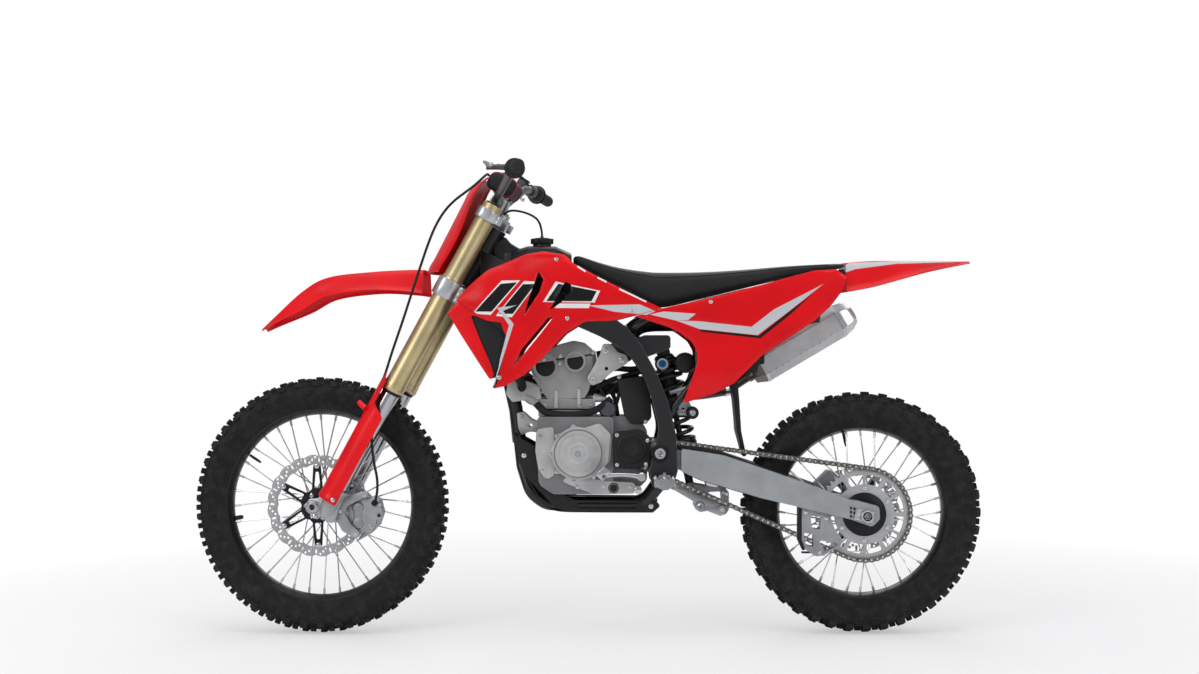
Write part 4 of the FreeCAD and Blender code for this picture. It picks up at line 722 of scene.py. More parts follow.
def lay_floor():
    """A pale floor that the camera sees partly white near the bike and wholly white from about two and a half
    metres out.
    """
    size = 30.0
    height = -SEAT_TOP_Z / 1000.0
    mesh = bpy.data.meshes.new("floor")
    mesh.from_pydata([(-size, -size, height), (size, -size, height), (size, size, height),
                      (-size, size, height)], [], [(0, 1, 2, 3)])
    floor = bpy.data.objects.new("floor", mesh)
    bpy.context.scene.collection.objects.link(floor)
    finish = Finish("floor_paper", (0.9, 0.9, 0.91, 1.0), 0.7)
    parts, _ = finish.place()
    reach = (parts[0] * parts[0] + parts[1] * parts[1]) ** 0.5
    path = finish.add("ShaderNodeLightPath")
    straight, through = [Shade(finish.tree, path.outputs[k])
                         for k in ("Is Camera Ray", "Is Transmission Ray")]
    seen = straight.most(through)
    glow = finish.add("ShaderNodeEmission", Color=(1.0, 1.0, 1.0, 1.0), Strength=1.0)
    blend = finish.add("ShaderNodeMixShader", i0=seen * (0.45 + reach.step(1.2, 2.6) * 0.55))
    for source, target in ((finish.shader, blend.inputs[1]), (glow, blend.inputs[2]),
                           (blend, finish.tree.nodes["Material Output"].inputs["Surface"])):
        finish.tree.links.new(source.outputs[0], target)
    mesh.materials.append(finish.material)


def light_up():
    """A bright even studio: a large soft lamp overhead, one from each side and a pale surround."""
    lamps = [("overhead", (-0.2, -0.6, 3.6), (0.0, 0.0, 0.0), 4.2, 95.0),
             ("near_left", (-3.4, -3.6, 1.9), (-0.5, 0.0, -0.2), 2.6, 70.0),
             ("near_right", (3.2, -3.4, 1.4), (0.2, 0.0, -0.2), 2.4, 38.0),
             ("far_side", (0.4, 3.8, 2.4), (-0.2, 0.0, -0.2), 3.0, 40.0)]
    for name, place, aim, size, power in lamps:
        data = bpy.data.lights.new(name, "AREA")
        data.shape = "SQUARE"
        data.size = size
        data.energy = power
        lamp = bpy.data.objects.new(name, data)
        bpy.context.scene.collection.objects.link(lamp)
        lamp.location = place
        lamp.rotation_euler = (Vector(aim) - Vector(place)).to_track_quat("-Z", "Y").to_euler()
    world = bpy.data.worlds.new("studio")
    bpy.context.scene.world = world
    world.use_nodes = True
    tree = world.node_tree
    plain = tree.nodes["Background"]
    white = tree.nodes.new("ShaderNodeBackground")
    for node, colour, strength in ((plain, (0.9, 0.92, 0.95, 1.0), 0.42), (white, (1.0, 1.0, 1.0, 1.0), 1.0)):
        node.inputs["Color"].default_value = colour
        node.inputs["Strength"].default_value = strength
    path = tree.nodes.new("ShaderNodeLightPath")
    seen = tree.nodes.new("ShaderNodeMath")
    seen.operation = "MAXIMUM"
    mix = tree.nodes.new("ShaderNodeMixShader")
    for source, target in ((path.outputs["Is Camera Ray"], seen.inputs[0]),
                           (path.outputs["Is Transmission Ray"], seen.inputs[1]),
                           (seen.outputs[0], mix.inputs[0]), (plain.outputs[0], mix.inputs[1]),
                           (white.outputs[0], mix.inputs[2]),
                           (mix.outputs[0], tree.nodes["World Output"].inputs["Surface"])):
        tree.links.new(source, target)


set_up_view()
lay_floor()
light_up()

FRAME_BLACK = frame_paint()
CAST_ALLOY = cast_metal("cast_alloy", linear(158, 158, 158), 0.52, 0.3, 0.3, "engine")
CASE_SHADE = cast_metal("case_shade", linear(128, 128, 129), 0.55, 0.3, 0.3, "engine")
CAST_LIGHT = cast_metal("cast_alloy_light", linear(188, 188, 188), 0.46, 0.3, 0.22, "engine")
PLATE_GREY = cast_metal("plate_grey", linear(188, 188, 186), 0.45, 0.5, 0.1, "bright_steel")
INK_RUBBER = moulded("dark_rubber", linear(18, 18, 20), 0.55, 0.05, "rubber")
DARK_CASE = cast_metal("engine_case_grey", linear(92, 94, 98), 0.5, 0.7, 0.45, "engine")
MACHINED = satin_metal("machined_alloy", linear(205, 206, 208), 0.22, 1.0, None, "bright_steel", 0.05)
BRIGHT = satin_metal("bright_steel", linear(214, 214, 216), 0.16, 1.0, None, "bright_steel", 0.03)
DISC_STEEL = satin_metal("disc_steel", linear(170, 171, 173), 0.4, 0.5, None, "bright_steel", 0.08)
BLACK_RIM = moulded("black_rim", linear(20, 20, 22), 0.26, 0.0, "black_rim", 0.3)
GOLD = satin_metal("gold_tube", linear(206, 188, 144), 0.33, 0.8, None, "fork_tube", 0.0)
CAST_SILVER = cast_metal("cast_silver", linear(176, 178, 181), 0.42, 0.85, 0.2, "bright_steel")
CLAMP_ALLOY = satin_metal("clamp_alloy", linear(200, 202, 205), 0.3, 0.95, None, "bright_steel", 0.06)
BAR_GREY = satin_metal("bar_grey", linear(140, 142, 146), 0.34, 0.9, None, "dark_metal", 0.08)
HOSE_RUBBER = moulded("hose_rubber", linear(20, 20, 22), 0.5, 0.05, "rubber")
PAD_COVER = moulded("pad_cover", linear(22, 22, 24), 0.6, 0.25, "black_plastic")
PIPING_RED = moulded("pad_piping", linear(190, 20, 60), 0.4, 0.0, "colour_plastic")
CHROME = satin_metal("leg_chrome", linear(188, 189, 193), 0.14, 1.0, None, "frame_aluminium", 0.03)
BLACK_PLASTIC = moulded("black_plastic", linear(24, 24, 26), 0.46, 0.1, "black_plastic")
TANK_PLASTIC = moulded("tank_plastic", linear(30, 30, 32), 0.42, 0.06, "black_plastic")
RED_PLASTIC = moulded("red_plastic", RED, 0.3, 0.0, "colour_plastic", 0.12, 0.22)
SPRING_PAINT = moulded("spring_paint", linear(30, 30, 33), 0.32, 0.0, "spring", 0.3)
ADJUSTER_BLUE = satin_metal("adjuster_blue", linear(30, 110, 170), 0.3, 0.9, None, "bright_steel", 0.03)
ARM_GREY = satin_metal("arm_grey", linear(166, 170, 172), 0.46, 0.45, "x", "frame_aluminium", 0.05)
HEATED_GREY = satin_metal("heated_grey", linear(118, 112, 106), 0.34, 0.9, None, "silencer", 0.06)
SHOCK_METAL = satin_metal("shock_alloy", linear(38, 38, 41), 0.34, 0.6, None, "shock", 0.06)
CHAIN_STEEL = chain_steel()
HEADER_STEEL = heated_steel()
SILENCER_ALLOY = satin_metal("silencer_alloy", linear(212, 213, 214), 0.42, 0.5, "x", "silencer", 0.06)
SPROCKET_ALLOY = satin_metal("sprocket_alloy", linear(182, 183, 184), 0.44, 0.4, None, "sprocket", 0.05)
RADIATOR_CORE = satin_metal("radiator_core", linear(70, 72, 75), 0.5, 0.8, "y", "radiator", 0.3)
TYRE = tyre_rubber()
GRIP = soft_rubber()
SEAT_COVER = seat_cover()
BLACK_HUB = satin_metal("black_hub", linear(30, 30, 33), 0.36, 0.6, None, "black_rim", 0.05)


# Wheels

def cut_plate(outline, holes, y0, y1, edge=0.0):
    """A flat plate in the side view with holes, its rims rounded by edge millimetres."""
    curve = bpy.data.curves.new("cut_plate", "CURVE")
    curve.dimensions = "2D"
    curve.fill_mode = "BOTH"
    curve.extrude = max(abs(y1 - y0) / 2 - edge, 0.01)
    curve.bevel_depth = edge
    curve.offset = -edge
    curve.bevel_resolution = 1
    for loop in [outline] + list(holes):
        loop = np.asarray(loop, float)
        spline = curve.splines.new("POLY")
        spline.points.add(len(loop) - 1)
        flat = np.column_stack([loop, np.zeros(len(loop)), np.ones(len(loop))])
        spline.points.foreach_set("co", flat.ravel())
        spline.use_cyclic_u = True
    cutter = bpy.data.objects.new("cut_plate", curve)
    mesh = bpy.data.meshes.new_from_object(cutter)
    flat = np.empty(len(mesh.vertices) * 3)
    mesh.vertices.foreach_get("co", flat)
    flat = flat.reshape(-1, 3)
    faces = [list(face.vertices) for face in mesh.polygons]
    bpy.data.objects.remove(cutter)
    bpy.data.curves.remove(curve)
    bpy.data.meshes.remove(mesh)
    return np.column_stack([flat[:, 0], flat[:, 2] + (y0 + y1) / 2, flat[:, 1]]), faces


def ring(radius, count=24, centre=(0.0, 0.0), start=0.0):
    angle = start + np.linspace(0, 2 * math.pi, count, endpoint=False)
    return np.stack([np.cos(angle), np.sin(angle)], -1) * radius + np.asarray(centre, float)


def polar(radii, angles):
    return np.stack([np.asarray(radii) * np.cos(angles), np.asarray(radii) * np.sin(angles)], -1)


def spot(radius, angle):
    """One place at a radius and an angle, as (x, z)."""
    return polar([radius], np.array([angle]))[0]


def closed_ring(profile, sides=144):
    """A closed (r, y) loop carried round the axle: rows wrap round the loop, columns round the wheel."""
    profile = np.asarray(profile, float)
    angle = np.linspace(0, 2 * math.pi, sides, endpoint=False)
    x = profile[:, 0:1] * np.cos(angle)
    z = profile[:, 0:1] * np.sin(angle)
    y = np.repeat(profile[:, 1:2], sides, 1)
    return sheet(np.stack([x, y, z], -1), wrap_rows=True, wrap_columns=True)


def tread_block(length, width, height):
    """A lug: three rings of four corners, the upper ones drawn in, closed below and above."""
    rings = [(1.0, -4.0), (0.95, height - 1.6), (0.8, height)]
    corners = np.array([(-1, -1), (1, -1), (1, 1), (-1, 1)]) / 2.0
    points = np.concatenate([np.column_stack([corners * (length * s, width * s), np.full(4, w)])
                             for s, w in rings])
    faces = [[0, 3, 2, 1], [8, 9, 10, 11]]
    for low in (0, 4):
        faces += [[low + k, low + (k + 1) % 4, low + 4 + (k + 1) % 4, low + 4 + k] for k in range(4)]
    return points, faces


def round_wheel(radius, y, angles, lean=0.0):
    """Frames on the wheel: the first axis runs along the tread, the third outwards, leaning sideways."""
    angles = np.asarray(angles, float)
    outward = np.stack([np.cos(angles), np.zeros_like(angles), np.sin(angles)], -1)
    along = np.stack([-np.sin(angles), np.zeros_like(angles), np.cos(angles)], -1)
    axle = np.array([0.0, 1.0, 0.0])
    up = outward * math.cos(lean) + axle * math.sin(lean)
    side = np.cross(up, along)
    centre = outward * radius + axle * y
    return np.stack([along, side, up, centre], -1)


def knobbly_tyre(half_section, rows, lugs):
    """The carcass is a smooth loop carried round the axle; the lugs are rows of leaning blocks."""
    half = np.asarray(half_section, float)
    loop = np.concatenate([half, (half * (-1, 1))[::-1][1:]])
    line = smooth_line(np.column_stack([loop, np.zeros(len(loop))]), 44)[:, :2]
    shapes = [closed_ring(line[:, ::-1], 160)]
    pitch = 2 * math.pi / lugs
    for y, width, radius, lean, length, height, phase in rows:
        angles = (np.arange(lugs) + phase) * pitch
        for side in ((1, -1) if y else (1,)):
            frames = round_wheel(radius, y * side, angles, lean * side)
            shapes.append(repeated(tread_block(length, width, height), frames))
    return joined(*shapes)


def wheel_rim(bead_r, half, depth):
    """The rim's section: rolled lips at the beads, sides that slope to a narrow bed for the nipples."""
    side = [(bead_r + 6, half - 2.5), (bead_r + 6.5, half + 0.5), (bead_r + 3, half + 1.8),
            (bead_r - 4, half + 0.2), (bead_r - 0.55 * depth, 0.72 * half),
            (bead_r - 0.9 * depth, 0.4 * half), (bead_r - depth, 0.0)]
    inner = [(bead_r - depth + 4, 0.0), (bead_r - 0.6 * depth + 2, 0.42 * half), (bead_r, half - 3.5)]
    loop = side + [(r, -y) for r, y in side[-2::-1]] + [(r, -y) for r, y in inner[::-1]] + inner[1:]
    return closed_ring(loop, 160)


SPOKES = 36
SPOKE_R = 1.9
HOLES_ROUND = 3.6


def spoke_frames(flange_r, flange_y, bed_r):
    """Crossed spokes: each leaves its flange a few holes round from where it meets the rim."""
    k = np.arange(SPOKES)
    side = np.where(k % 2, 1.0, -1.0)
    pair = np.where((k // 2) % 2, 1.0, -1.0)
    at_rim = 2 * math.pi * k / SPOKES
    at_hub = at_rim + pair * 2 * math.pi / (SPOKES // 2) * HOLES_ROUND
    start = np.stack([flange_r * np.cos(at_hub), side * flange_y, flange_r * np.sin(at_hub)], -1)
    end = np.stack([bed_r * np.cos(at_rim), side * 3.0, bed_r * np.sin(at_rim)], -1)
    return start, end


def bars(starts, ends, radius, sides=8):
    """A thin round bar from each start to its end."""
    way = ends - starts
    length = np.linalg.norm(way, axis=1)[:, None]
    way = way / length
    u = np.cross(way, (0.0, 1.0, 0.0))
    u /= np.linalg.norm(u, axis=1)[:, None]
    v = np.cross(way, u)
    unit = turned([(0.02, 0.0), (1.0, 0.0), (1.0, 1.0), (0.02, 1.0)], (0, 0, 0), (0, 0, 1), sides)
    frames = np.stack([u * radius, v * radius, way * length, starts], -1)
    return repeated(unit, frames)


def laced(flange_r, flange_y, bed_r):
    start, end = spoke_frames(flange_r, flange_y, bed_r)
    return bars(start, end, SPOKE_R)


def nipples(flange_r, flange_y, bed_r):
    start, end = spoke_frames(flange_r, flange_y, bed_r)
    way = (end - start) / np.linalg.norm(end - start, axis=1)[:, None]
    return joined(bars(end - way * 16, end + way * 2, 3.4), bars(end - way * 17.5, end - way * 16, 2.7))


def scalloped(radius, depth, lobes):
    """A wavy outline: the radius swells once for each lobe, flat on top and narrow between."""
    angle = np.linspace(0, 2 * math.pi, lobes * 10, endpoint=False)
    wave = 0.5 + 0.5 * np.cos(lobes * angle)
    return polar(radius - depth * (1 - wave ** 0.45), angle)


def brake_disc(radius, band, lobes, y):
    """A steel ring with wavy edges, slanted rows of round holes and a long slot between the rows."""
    holes = [scalloped(radius - band, 4.0, lobes)]
    middle = radius - band / 2
    loop = ring(1.0, 12)
    for k in range(lobes):
        a = 2 * math.pi * k / lobes
        for share, r in ((-0.22, middle + 6.5), (0.0, middle + 0.2), (0.22, middle - 6.2)):
            holes.append(ring(3.3, 10, spot(r, a + share * 2 * math.pi / lobes)))
        slot = a + math.pi / lobes
        long_way = np.array([math.cos(slot), math.sin(slot)])
        cross_way = np.array([-long_way[1], long_way[0]])
        holes.append(spot(middle, slot) + loop[:, :1] * long_way * 7.0 + loop[:, 1:] * cross_way * 3.0)
    return cut_plate(scalloped(radius, 5.0, lobes), holes, y, y + 3.6, 0.4)


def disc_carrier(inner, outer, arms, y):
    """Pointed arms from a hub ring out to the disc, each with a long window that narrows outwards."""
    points = []
    holes = [ring(inner, 48)]
    step = 2 * math.pi / arms
    for k in range(arms):
        a = step * k
        for share, r in ((-0.5, inner + 20), (-0.3, inner + 24), (-0.11, outer - 8), (-0.09, outer + 5),
                         (0.09, outer + 5), (0.11, outer - 8), (0.3, inner + 24)):
            points.append(spot(r, a + share * step))
        window = [(inner + 24, -0.18), (outer - 13, -0.045), (outer - 13, 0.045), (inner + 24, 0.18)]
        holes.append(rounded([(*spot(r, a + share * step), 2.5) for r, share in window], 3))
        holes.append(ring(3.2, 10, spot(inner + 12, a + step / 2)))
    return cut_plate(np.array(points), holes, y, y + 5.0, 0.6)


def wheel_hub(flange_r, flange_y, barrel_r, bore_r, half):
    """A waisted barrel between two drilled flanges, with stepped bearing noses."""
    t = 3.5
    side = [(bore_r, half), (bore_r + 7, half), (bore_r + 8.5, half - 3), (bore_r + 9, flange_y + t + 8),
            (bore_r + 13, flange_y + t + 2), (flange_r - 7, flange_y + t), (flange_r, flange_y + t),
            (flange_r + 1, flange_y), (flange_r, flange_y - t), (flange_r - 7, flange_y - t),
            (barrel_r + 3, flange_y - t - 5), (barrel_r, flange_y - t - 13)]
    loop = side + [(r, -y) for r, y in side[::-1]]
    return closed_ring(loop, 96)


def wheel_bolts(radius, y, count, size, height, outward=-1.0, start=0.0):
    angle = start + 2 * math.pi * np.arange(count) / count
    places = np.stack([radius * np.cos(angle), np.full(count, y), radius * np.sin(angle)], -1)
    return bolts(places, (0, outward, 0), size, height)


def rim_stem(profile, reach, bearing, y, sides):
    """A valve or a rim lock, turned about a line from the rim towards the hub."""
    out = np.array([math.cos(bearing), 0.0, math.sin(bearing)])
    return turned(profile, out * reach + (0, y, 0), out * -math.copysign(1.0, reach), sides)


def dress_front_wheel():
    section = [(25, 256), (28.5, 261), (31, 268), (38, 283), (46.5, 300), (45.5, 319), (35, 330.5),
               (18, 335.5), (0, 336.5)]
    rows = [(9.0, 14, 334.6, 0.07, 16, 13.2, 0.0), (25.0, 13, 331.0, 0.33, 15, 12.8, 0.5),
            (37.5, 15, 322.6, 0.85, 20, 13.0, 0.0), (42.5, 13, 309.0, 1.3, 17, 7.0, 0.5)]
    on_front("front_tyre_knobbly", knobbly_tyre(section, rows, 42), TYRE, "front_tyre", round_over=30)
    on_front("front_rim_black", wheel_rim(262, 27, 17), BLACK_RIM, "front_rim", round_over=40)
    on_front("front_spokes", laced(26, 32, 246), BRIGHT, "front_hub", round_over=38)
    on_front("front_nipples", nipples(26, 32, 247), MACHINED, round_over=38)
    on_front("front_hub_black", wheel_hub(31, 32, 19, 11.1, 62), BLACK_HUB, "front_hub")
    on_front("front_disc_wavy", brake_disc(138, 27, 20, -61), DISC_STEEL, "front_disc", round_over=30)
    on_front("front_disc_carrier", disc_carrier(24, 104, 6, -60), BLACK_HUB, "front_disc", round_over=30)
    buttons = joined(wheel_bolts(107, -60.2, 6, 5.8, 2.8, -1.0),
                     wheel_bolts(31, -60.2, 6, 4.6, 4.5, -1.0, math.pi / 6))
    on_front("front_disc_buttons", buttons, BRIGHT)
    valve = joined(rim_stem([(0.1, 0), (3.8, 0), (3.8, 30), (3.0, 31), (3.0, 37), (0.1, 37)],
                            -244, -0.08, 4, 14),
                   rim_stem([(0.1, 0), (6.0, 0), (6.0, 16), (4.5, 20), (0.1, 20)], -244, 0.66, 0, 6))
    on_front("front_valve_and_rim_lock", valve, BLACK_PLASTIC)


def toothed_outline(teeth, tip_r, root_r):
    """Sprocket teeth: a round hollow for each roller and a narrow tip between."""
    angle = np.linspace(0, 2 * math.pi, teeth * 8, endpoint=False)
    wave = 0.5 + 0.5 * np.cos(teeth * angle)
    return polar(root_r + (tip_r - root_r) * wave ** 1.5, angle + math.pi / teeth)


def arc_window(inner, outer, start, end):
    """A window between two radii and two angles, its long edges curved."""
    out = polar(outer, np.linspace(start + 2.0 / outer, end - 2.0 / outer, 14))
    back = polar(inner, np.linspace(end - 2.0 / inner, start + 2.0 / inner, 10))
    sides = [polar(np.array([outer - 3.0, inner + 3.0]), np.full(2, a)) for a in (end, start)]
    return np.concatenate([out, sides[0], back, sides[1][::-1]])


SMALL_TEETH = 13
LARGE_TEETH = 49


def pitch_radius(teeth):
    """The radius of the circle that a sprocket's rollers sit on."""
    return LINK / 2 / math.sin(math.pi / teeth)


def drive_sprocket(y):
    """The rear sprocket: teeth, a ring under them, twelve windows and a wide ring for its bolts."""
    pitch_r = pitch_radius(LARGE_TEETH)
    holes = [ring(59, 72)]
    step = 2 * math.pi / 6
    for k in range(6):
        a = step * (k + 0.5)
        holes.append(arc_window(81, pitch_r - 17, a - 0.44 * step, a - 0.04 * step))
        holes.append(arc_window(81, pitch_r - 17, a + 0.04 * step, a + 0.44 * step))
    return cut_plate(toothed_outline(LARGE_TEETH, pitch_r + 4.5, pitch_r - 5), holes, y - 2.7, y + 2.7, 0.5)


def chain_run():
    """The chain's line round both sprockets, as (x, z) at even steps of one link."""
    small, large = np.array(COUNTERSHAFT), np.array(REAR_AXLE)
    r1, r2 = pitch_radius(SMALL_TEETH), pitch_radius(LARGE_TEETH)
    gap = large - small
    length = float(np.linalg.norm(gap))
    slope = math.atan2(gap[1], gap[0])
    lean = math.acos((r1 - r2) / length)
    top, low = slope + lean, slope - lean
    straight = length * math.sin(lean)
    over = r2 * (top - low)
    under = r1 * (2 * math.pi - (top - low))
    total = 2 * straight + over + under
    count = 2 * round(total / LINK / 2)
    s = np.arange(count) * total / count

    def out(angle):
        return np.stack([np.cos(angle), np.sin(angle)], -1)
    first = small + r1 * out(top) + (s / straight)[:, None] * (large + r2 * out(top) - small - r1 * out(top))
    second = large + r2 * out(top - (s - straight) / r2)
    back = ((s - straight - over) / straight)[:, None]
    third = large + r2 * out(low) + back * (small + r1 * out(low) - large - r2 * out(low))
    fourth = small + r1 * out(low - (s - 2 * straight - over) / r1)
    later = np.where((s < 2 * straight + over)[:, None], third, fourth)
    later = np.where((s < straight + over)[:, None], second, later)
    return np.where((s < straight)[:, None], first, later)


def link_plate(y, thick):
    """A figure-of-eight side plate between two pins a pitch apart, along the first axis."""
    a = np.linspace(math.pi / 2 + 0.35, 1.5 * math.pi - 0.35, 6)
    left = np.stack([np.cos(a) * 7.0, np.sin(a) * 7.0], -1)
    right = left * (-1, 1) + (LINK, 0)
    outline = np.concatenate([left, [(7.9, -5.4)], right[::-1], [(7.9, 5.4)]])
    return plate(outline, y - thick / 2, y + thick / 2)


def chain_shapes(y):
    """The side plates and the rollers of the whole chain, in the workshop's millimetres."""
    run = chain_run()
    ahead = np.roll(run, -1, 0) - run
    ahead /= np.linalg.norm(ahead, axis=1)[:, None]
    count = len(run)
    along = np.stack([ahead[:, 0], np.zeros(count), ahead[:, 1]], -1)
    upward = np.stack([-ahead[:, 1], np.zeros(count), ahead[:, 0]], -1)
    axle = np.tile([0.0, 1.0, 0.0], (count, 1))
    centre = np.stack([run[:, 0], np.full(count, y), run[:, 1]], -1)
    frames = np.stack([along, axle, upward, centre], -1)
    outer, inner = [joined(link_plate(-out, 2.1), link_plate(out, 2.1)) for out in (7.6, 5.0)]
    links = joined(repeated(outer, frames[0::2]), repeated(inner, frames[1::2]))
    pin = flat_turned([(0.1, -10.2), (2.6, -10.2), (3.2, -9.6), (3.2, -6.4), (5.1, -3.9), (5.1, 3.9),
                       (3.2, 6.4), (3.2, 9.6), (2.6, 10.2), (0.1, 10.2)], sides=10)
    return links, repeated(pin, frames)


def dress_rear_wheel():
    section = [(36, 231), (40, 237), (43, 245), (50, 260), (57, 279), (55, 298), (44, 309), (22, 313.5),
               (0, 314.5)]
    rows = [(0.0, 26, 312.6, 0.0, 22, 15.6, 0.0), (23.5, 16, 309.5, 0.16, 16, 12.6, 0.5),
            (40.5, 18, 303.2, 0.68, 22, 15.0, 0.0), (49.5, 15, 289.5, 1.25, 18, 8.5, 0.5)]
    on_rear("rear_tyre_knobbly", knobbly_tyre(section, rows, 41), TYRE, "rear_tyre", round_over=30)
    on_rear("rear_rim_black", wheel_rim(238, 38, 17), BLACK_RIM, "rear_rim", round_over=40)
    on_rear("rear_spokes", laced(36, 36, 222), BRIGHT, "rear_hub", round_over=38)
    on_rear("rear_nipples", nipples(36, 36, 223), MACHINED, round_over=38)
    on_rear("rear_hub_black", wheel_hub(41, 36, 26, 12.6, 79), BLACK_HUB, "rear_hub")
    on_rear("rear_disc_wavy", brake_disc(120, 25, 18, 64), DISC_STEEL, "rear_disc", round_over=30)
    on_rear("rear_disc_carrier", disc_carrier(23, 88, 6, 63), BLACK_HUB, "rear_disc", round_over=30)
    on_rear("rear_disc_buttons", wheel_bolts(91, 68.2, 6, 5.8, 2.8, 1.0), BRIGHT, round_over=38)
    on_rear("rear_sprocket_truss", drive_sprocket(-73), SPROCKET_ALLOY, "rear_sprocket", round_over=30)
    boss = joined(flat_turned([(22.5, -69), (57, -69), (58.8, -70.5), (58.8, -75), (57, -76.4), (34, -78),
                               (22.5, -78.5), (22.5, -69)], sides=96),
                  flat_turned([(22.4, -64), (38, -64), (40, -69.2), (22.4, -69.2)], sides=96))
    on_rear("rear_sprocket_boss", boss, BLACK_HUB)
    on_rear("rear_sprocket_bolts", wheel_bolts(70, -75.8, 6, 5.0, 4.4, -1.0, math.pi / 6),
            BRIGHT, round_over=38)
    valve = rim_stem([(0.1, 0), (3.8, 0), (3.8, 32), (3.0, 33), (3.0, 40), (0.1, 40)], 222, 1.78, 4, 14)
    on_rear("rear_valve", valve, BLACK_PLASTIC)
    links, rollers = chain_shapes(-73.0)
    on_chassis("chain_links", links, CHAIN_STEEL, "chain", round_over=30)
    on_chassis("chain_rollers", rollers, BRIGHT, "chain", round_over=30)


dress_front_wheel()
dress_rear_wheel()


# Bodywork

SHROUD = [(378, 905, 4), (417, 947, 40), (462, 986, 40), (497, 1000, 30), (563, 1029, 40), (610, 1037, 40),
          (668, 1027, 20), (689, 1005, 20), (761, 965, 60), (866, 912, 60), (926, 883.5), (800, 851, 60),
          (721, 848, 30), (668, 815, 60), (602, 744, 60), (560, 706, 60), (510, 677, 12), (475, 669, 6),
          (492, 725, 60), (505, 800, 30), (509, 816, 6), (470, 846, 20)]
SHROUD_SLOTS = [[(597, 981), (610, 960, 6), (600, 926, 20), (560, 865), (573, 913, 20)],
                [(668, 955, 6), (684, 947, 6), (684, 929, 8), (658, 899, 20), (626, 878), (642, 905, 30)],
                [(622, 857, 3), (637, 860, 3), (602, 815, 60), (563, 767, 60), (531, 728), (552, 773, 60)]]
SIDE_PANEL = [(927, 883.7), (1028, 905.7, 60), (1188, 945.7, 60), (1333, 985, 30), (1394, 988, 12),
              (1424, 968, 12), (1407, 927, 30), (1378, 889, 30), (1333, 849, 60), (1266, 804, 60),
              (1192, 756, 60), (1120, 684, 30), (1067, 655, 30), (982, 629, 6), (1000, 679, 30),
              (1019, 732, 40), (1021, 767, 30), (1006, 794, 30), (974, 818, 30), (942, 834, 30), (854, 862.5)]
PANEL_BY_SILENCER = SIDE_PANEL[:6] + [(1410, 930, 20), (1396, 900, 12), (1150, 754, 20), (1100, 722, 40),
                                      (1062, 690, 20), (1040, 648, 10)] + SIDE_PANEL[13:]


def soft_step(t):
    t = np.clip(t, 0.0, 1.0)
    return t * t * (3 - 2 * t)


def panel_y(x, z):
    """How far out the panels stand: a bulge at the front that fades to the rear, drawn in at the top."""
    fade = 0.5 + 0.5 * np.cos(np.pi * np.clip((x - 500) / 280.0, 0, 1))
    rise = 1 - np.clip((z - 880) / 160.0, 0, 1) ** 2
    tuck = 16 * np.clip((x - 1000) / 420.0, 0, 1)
    return 121.7 + 36 * fade * rise - tuck


def distance_to(loop, x, z):
    """The distance of each place from the nearest side of a closed outline."""
    a = np.asarray(loop, float)
    b = np.roll(a, -1, 0)
    p = np.stack([x, z], -1)[:, None]
    side = (b - a)[None]
    share = np.clip(np.sum((p - a) * side, -1) / np.maximum(np.sum(side * side, -1), 1e-9), 0, 1)
    return np.sqrt(np.min(np.sum((p - a - share[..., None] * side) ** 2, -1), 1))


def panel_grid(outline, holes, step=9.0):
    """A flat panel in (x, z) cut by evenly spaced lines, so that it can be bent."""
    points, faces = cut_plate(outline, holes, 0.0, 0.02)
    mesh = bmesh.new()
    near = np.where(points[:, 1] < 0.01)[0]
    kept = set(near.tolist())
    corners = {k: mesh.verts.new(points[k]) for k in kept}
    for face in faces:
        if all(k in kept for k in face):
            mesh.faces.new([corners[k] for k in face])
    bmesh.ops.remove_doubles(mesh, verts=mesh.verts, dist=0.01)
    low, high = np.min(outline, 0), np.max(outline, 0)
    for axis, normal in ((0, (1, 0, 0)), (1, (0, 0, 1))):
        for at in np.arange(low[axis] + step / 2, high[axis], step):
            place = (at, 0, 0) if axis == 0 else (0, 0, at)
            bmesh.ops.bisect_plane(mesh, geom=mesh.verts[:] + mesh.edges[:] + mesh.faces[:], dist=0.01,
                                   plane_co=place, plane_no=normal)
    flat = np.array([v.co[:] for v in mesh.verts])
    mesh.verts.index_update()
    faces = [[v.index for v in face.verts] for face in mesh.faces]
    mesh.free()
    return flat, faces


def bent_panel(outline, holes, depth, thickness=3.0):
    """A moulded panel on the rider's right: its outer face at depth(x, z), its rim rolled inwards."""
    edge = rounded(outline, 6)
    loops = [rounded(hole, 5) for hole in holes]
    flat, faces = panel_grid(edge, loops)
    x, z = flat[:, 0], flat[:, 2]
    roll = distance_to(edge, x, z)
    for loop in loops:
        roll = np.minimum(roll, distance_to(loop, x, z) * 1.6)
    y = depth(x, z) - 2.6 * (1 - np.clip(roll / 9.0, 0, 1)) ** 2
    outer = np.column_stack([x, y, z])
    inner = np.column_stack([x, y - thickness, z])
    n = len(flat)
    sides = {side: True for face in faces for side in zip(face, face[1:] + face[:1])}
    rim = [[a + n, b + n, b, a] for a, b in sides if (b, a) not in sides]
    back = [[k + n for k in face[::-1]] for face in faces]
    return np.concatenate([outer, inner]), faces + back + rim


def line_side(x, z, a, b):
    """How far each place lies to the upper side of the line from a to b, in the side view."""
    a, b = np.asarray(a, float), np.asarray(b, float)
    way = (b - a) / np.linalg.norm(b - a)
    return -(x - a[0]) * way[1] + (z - a[1]) * way[0]


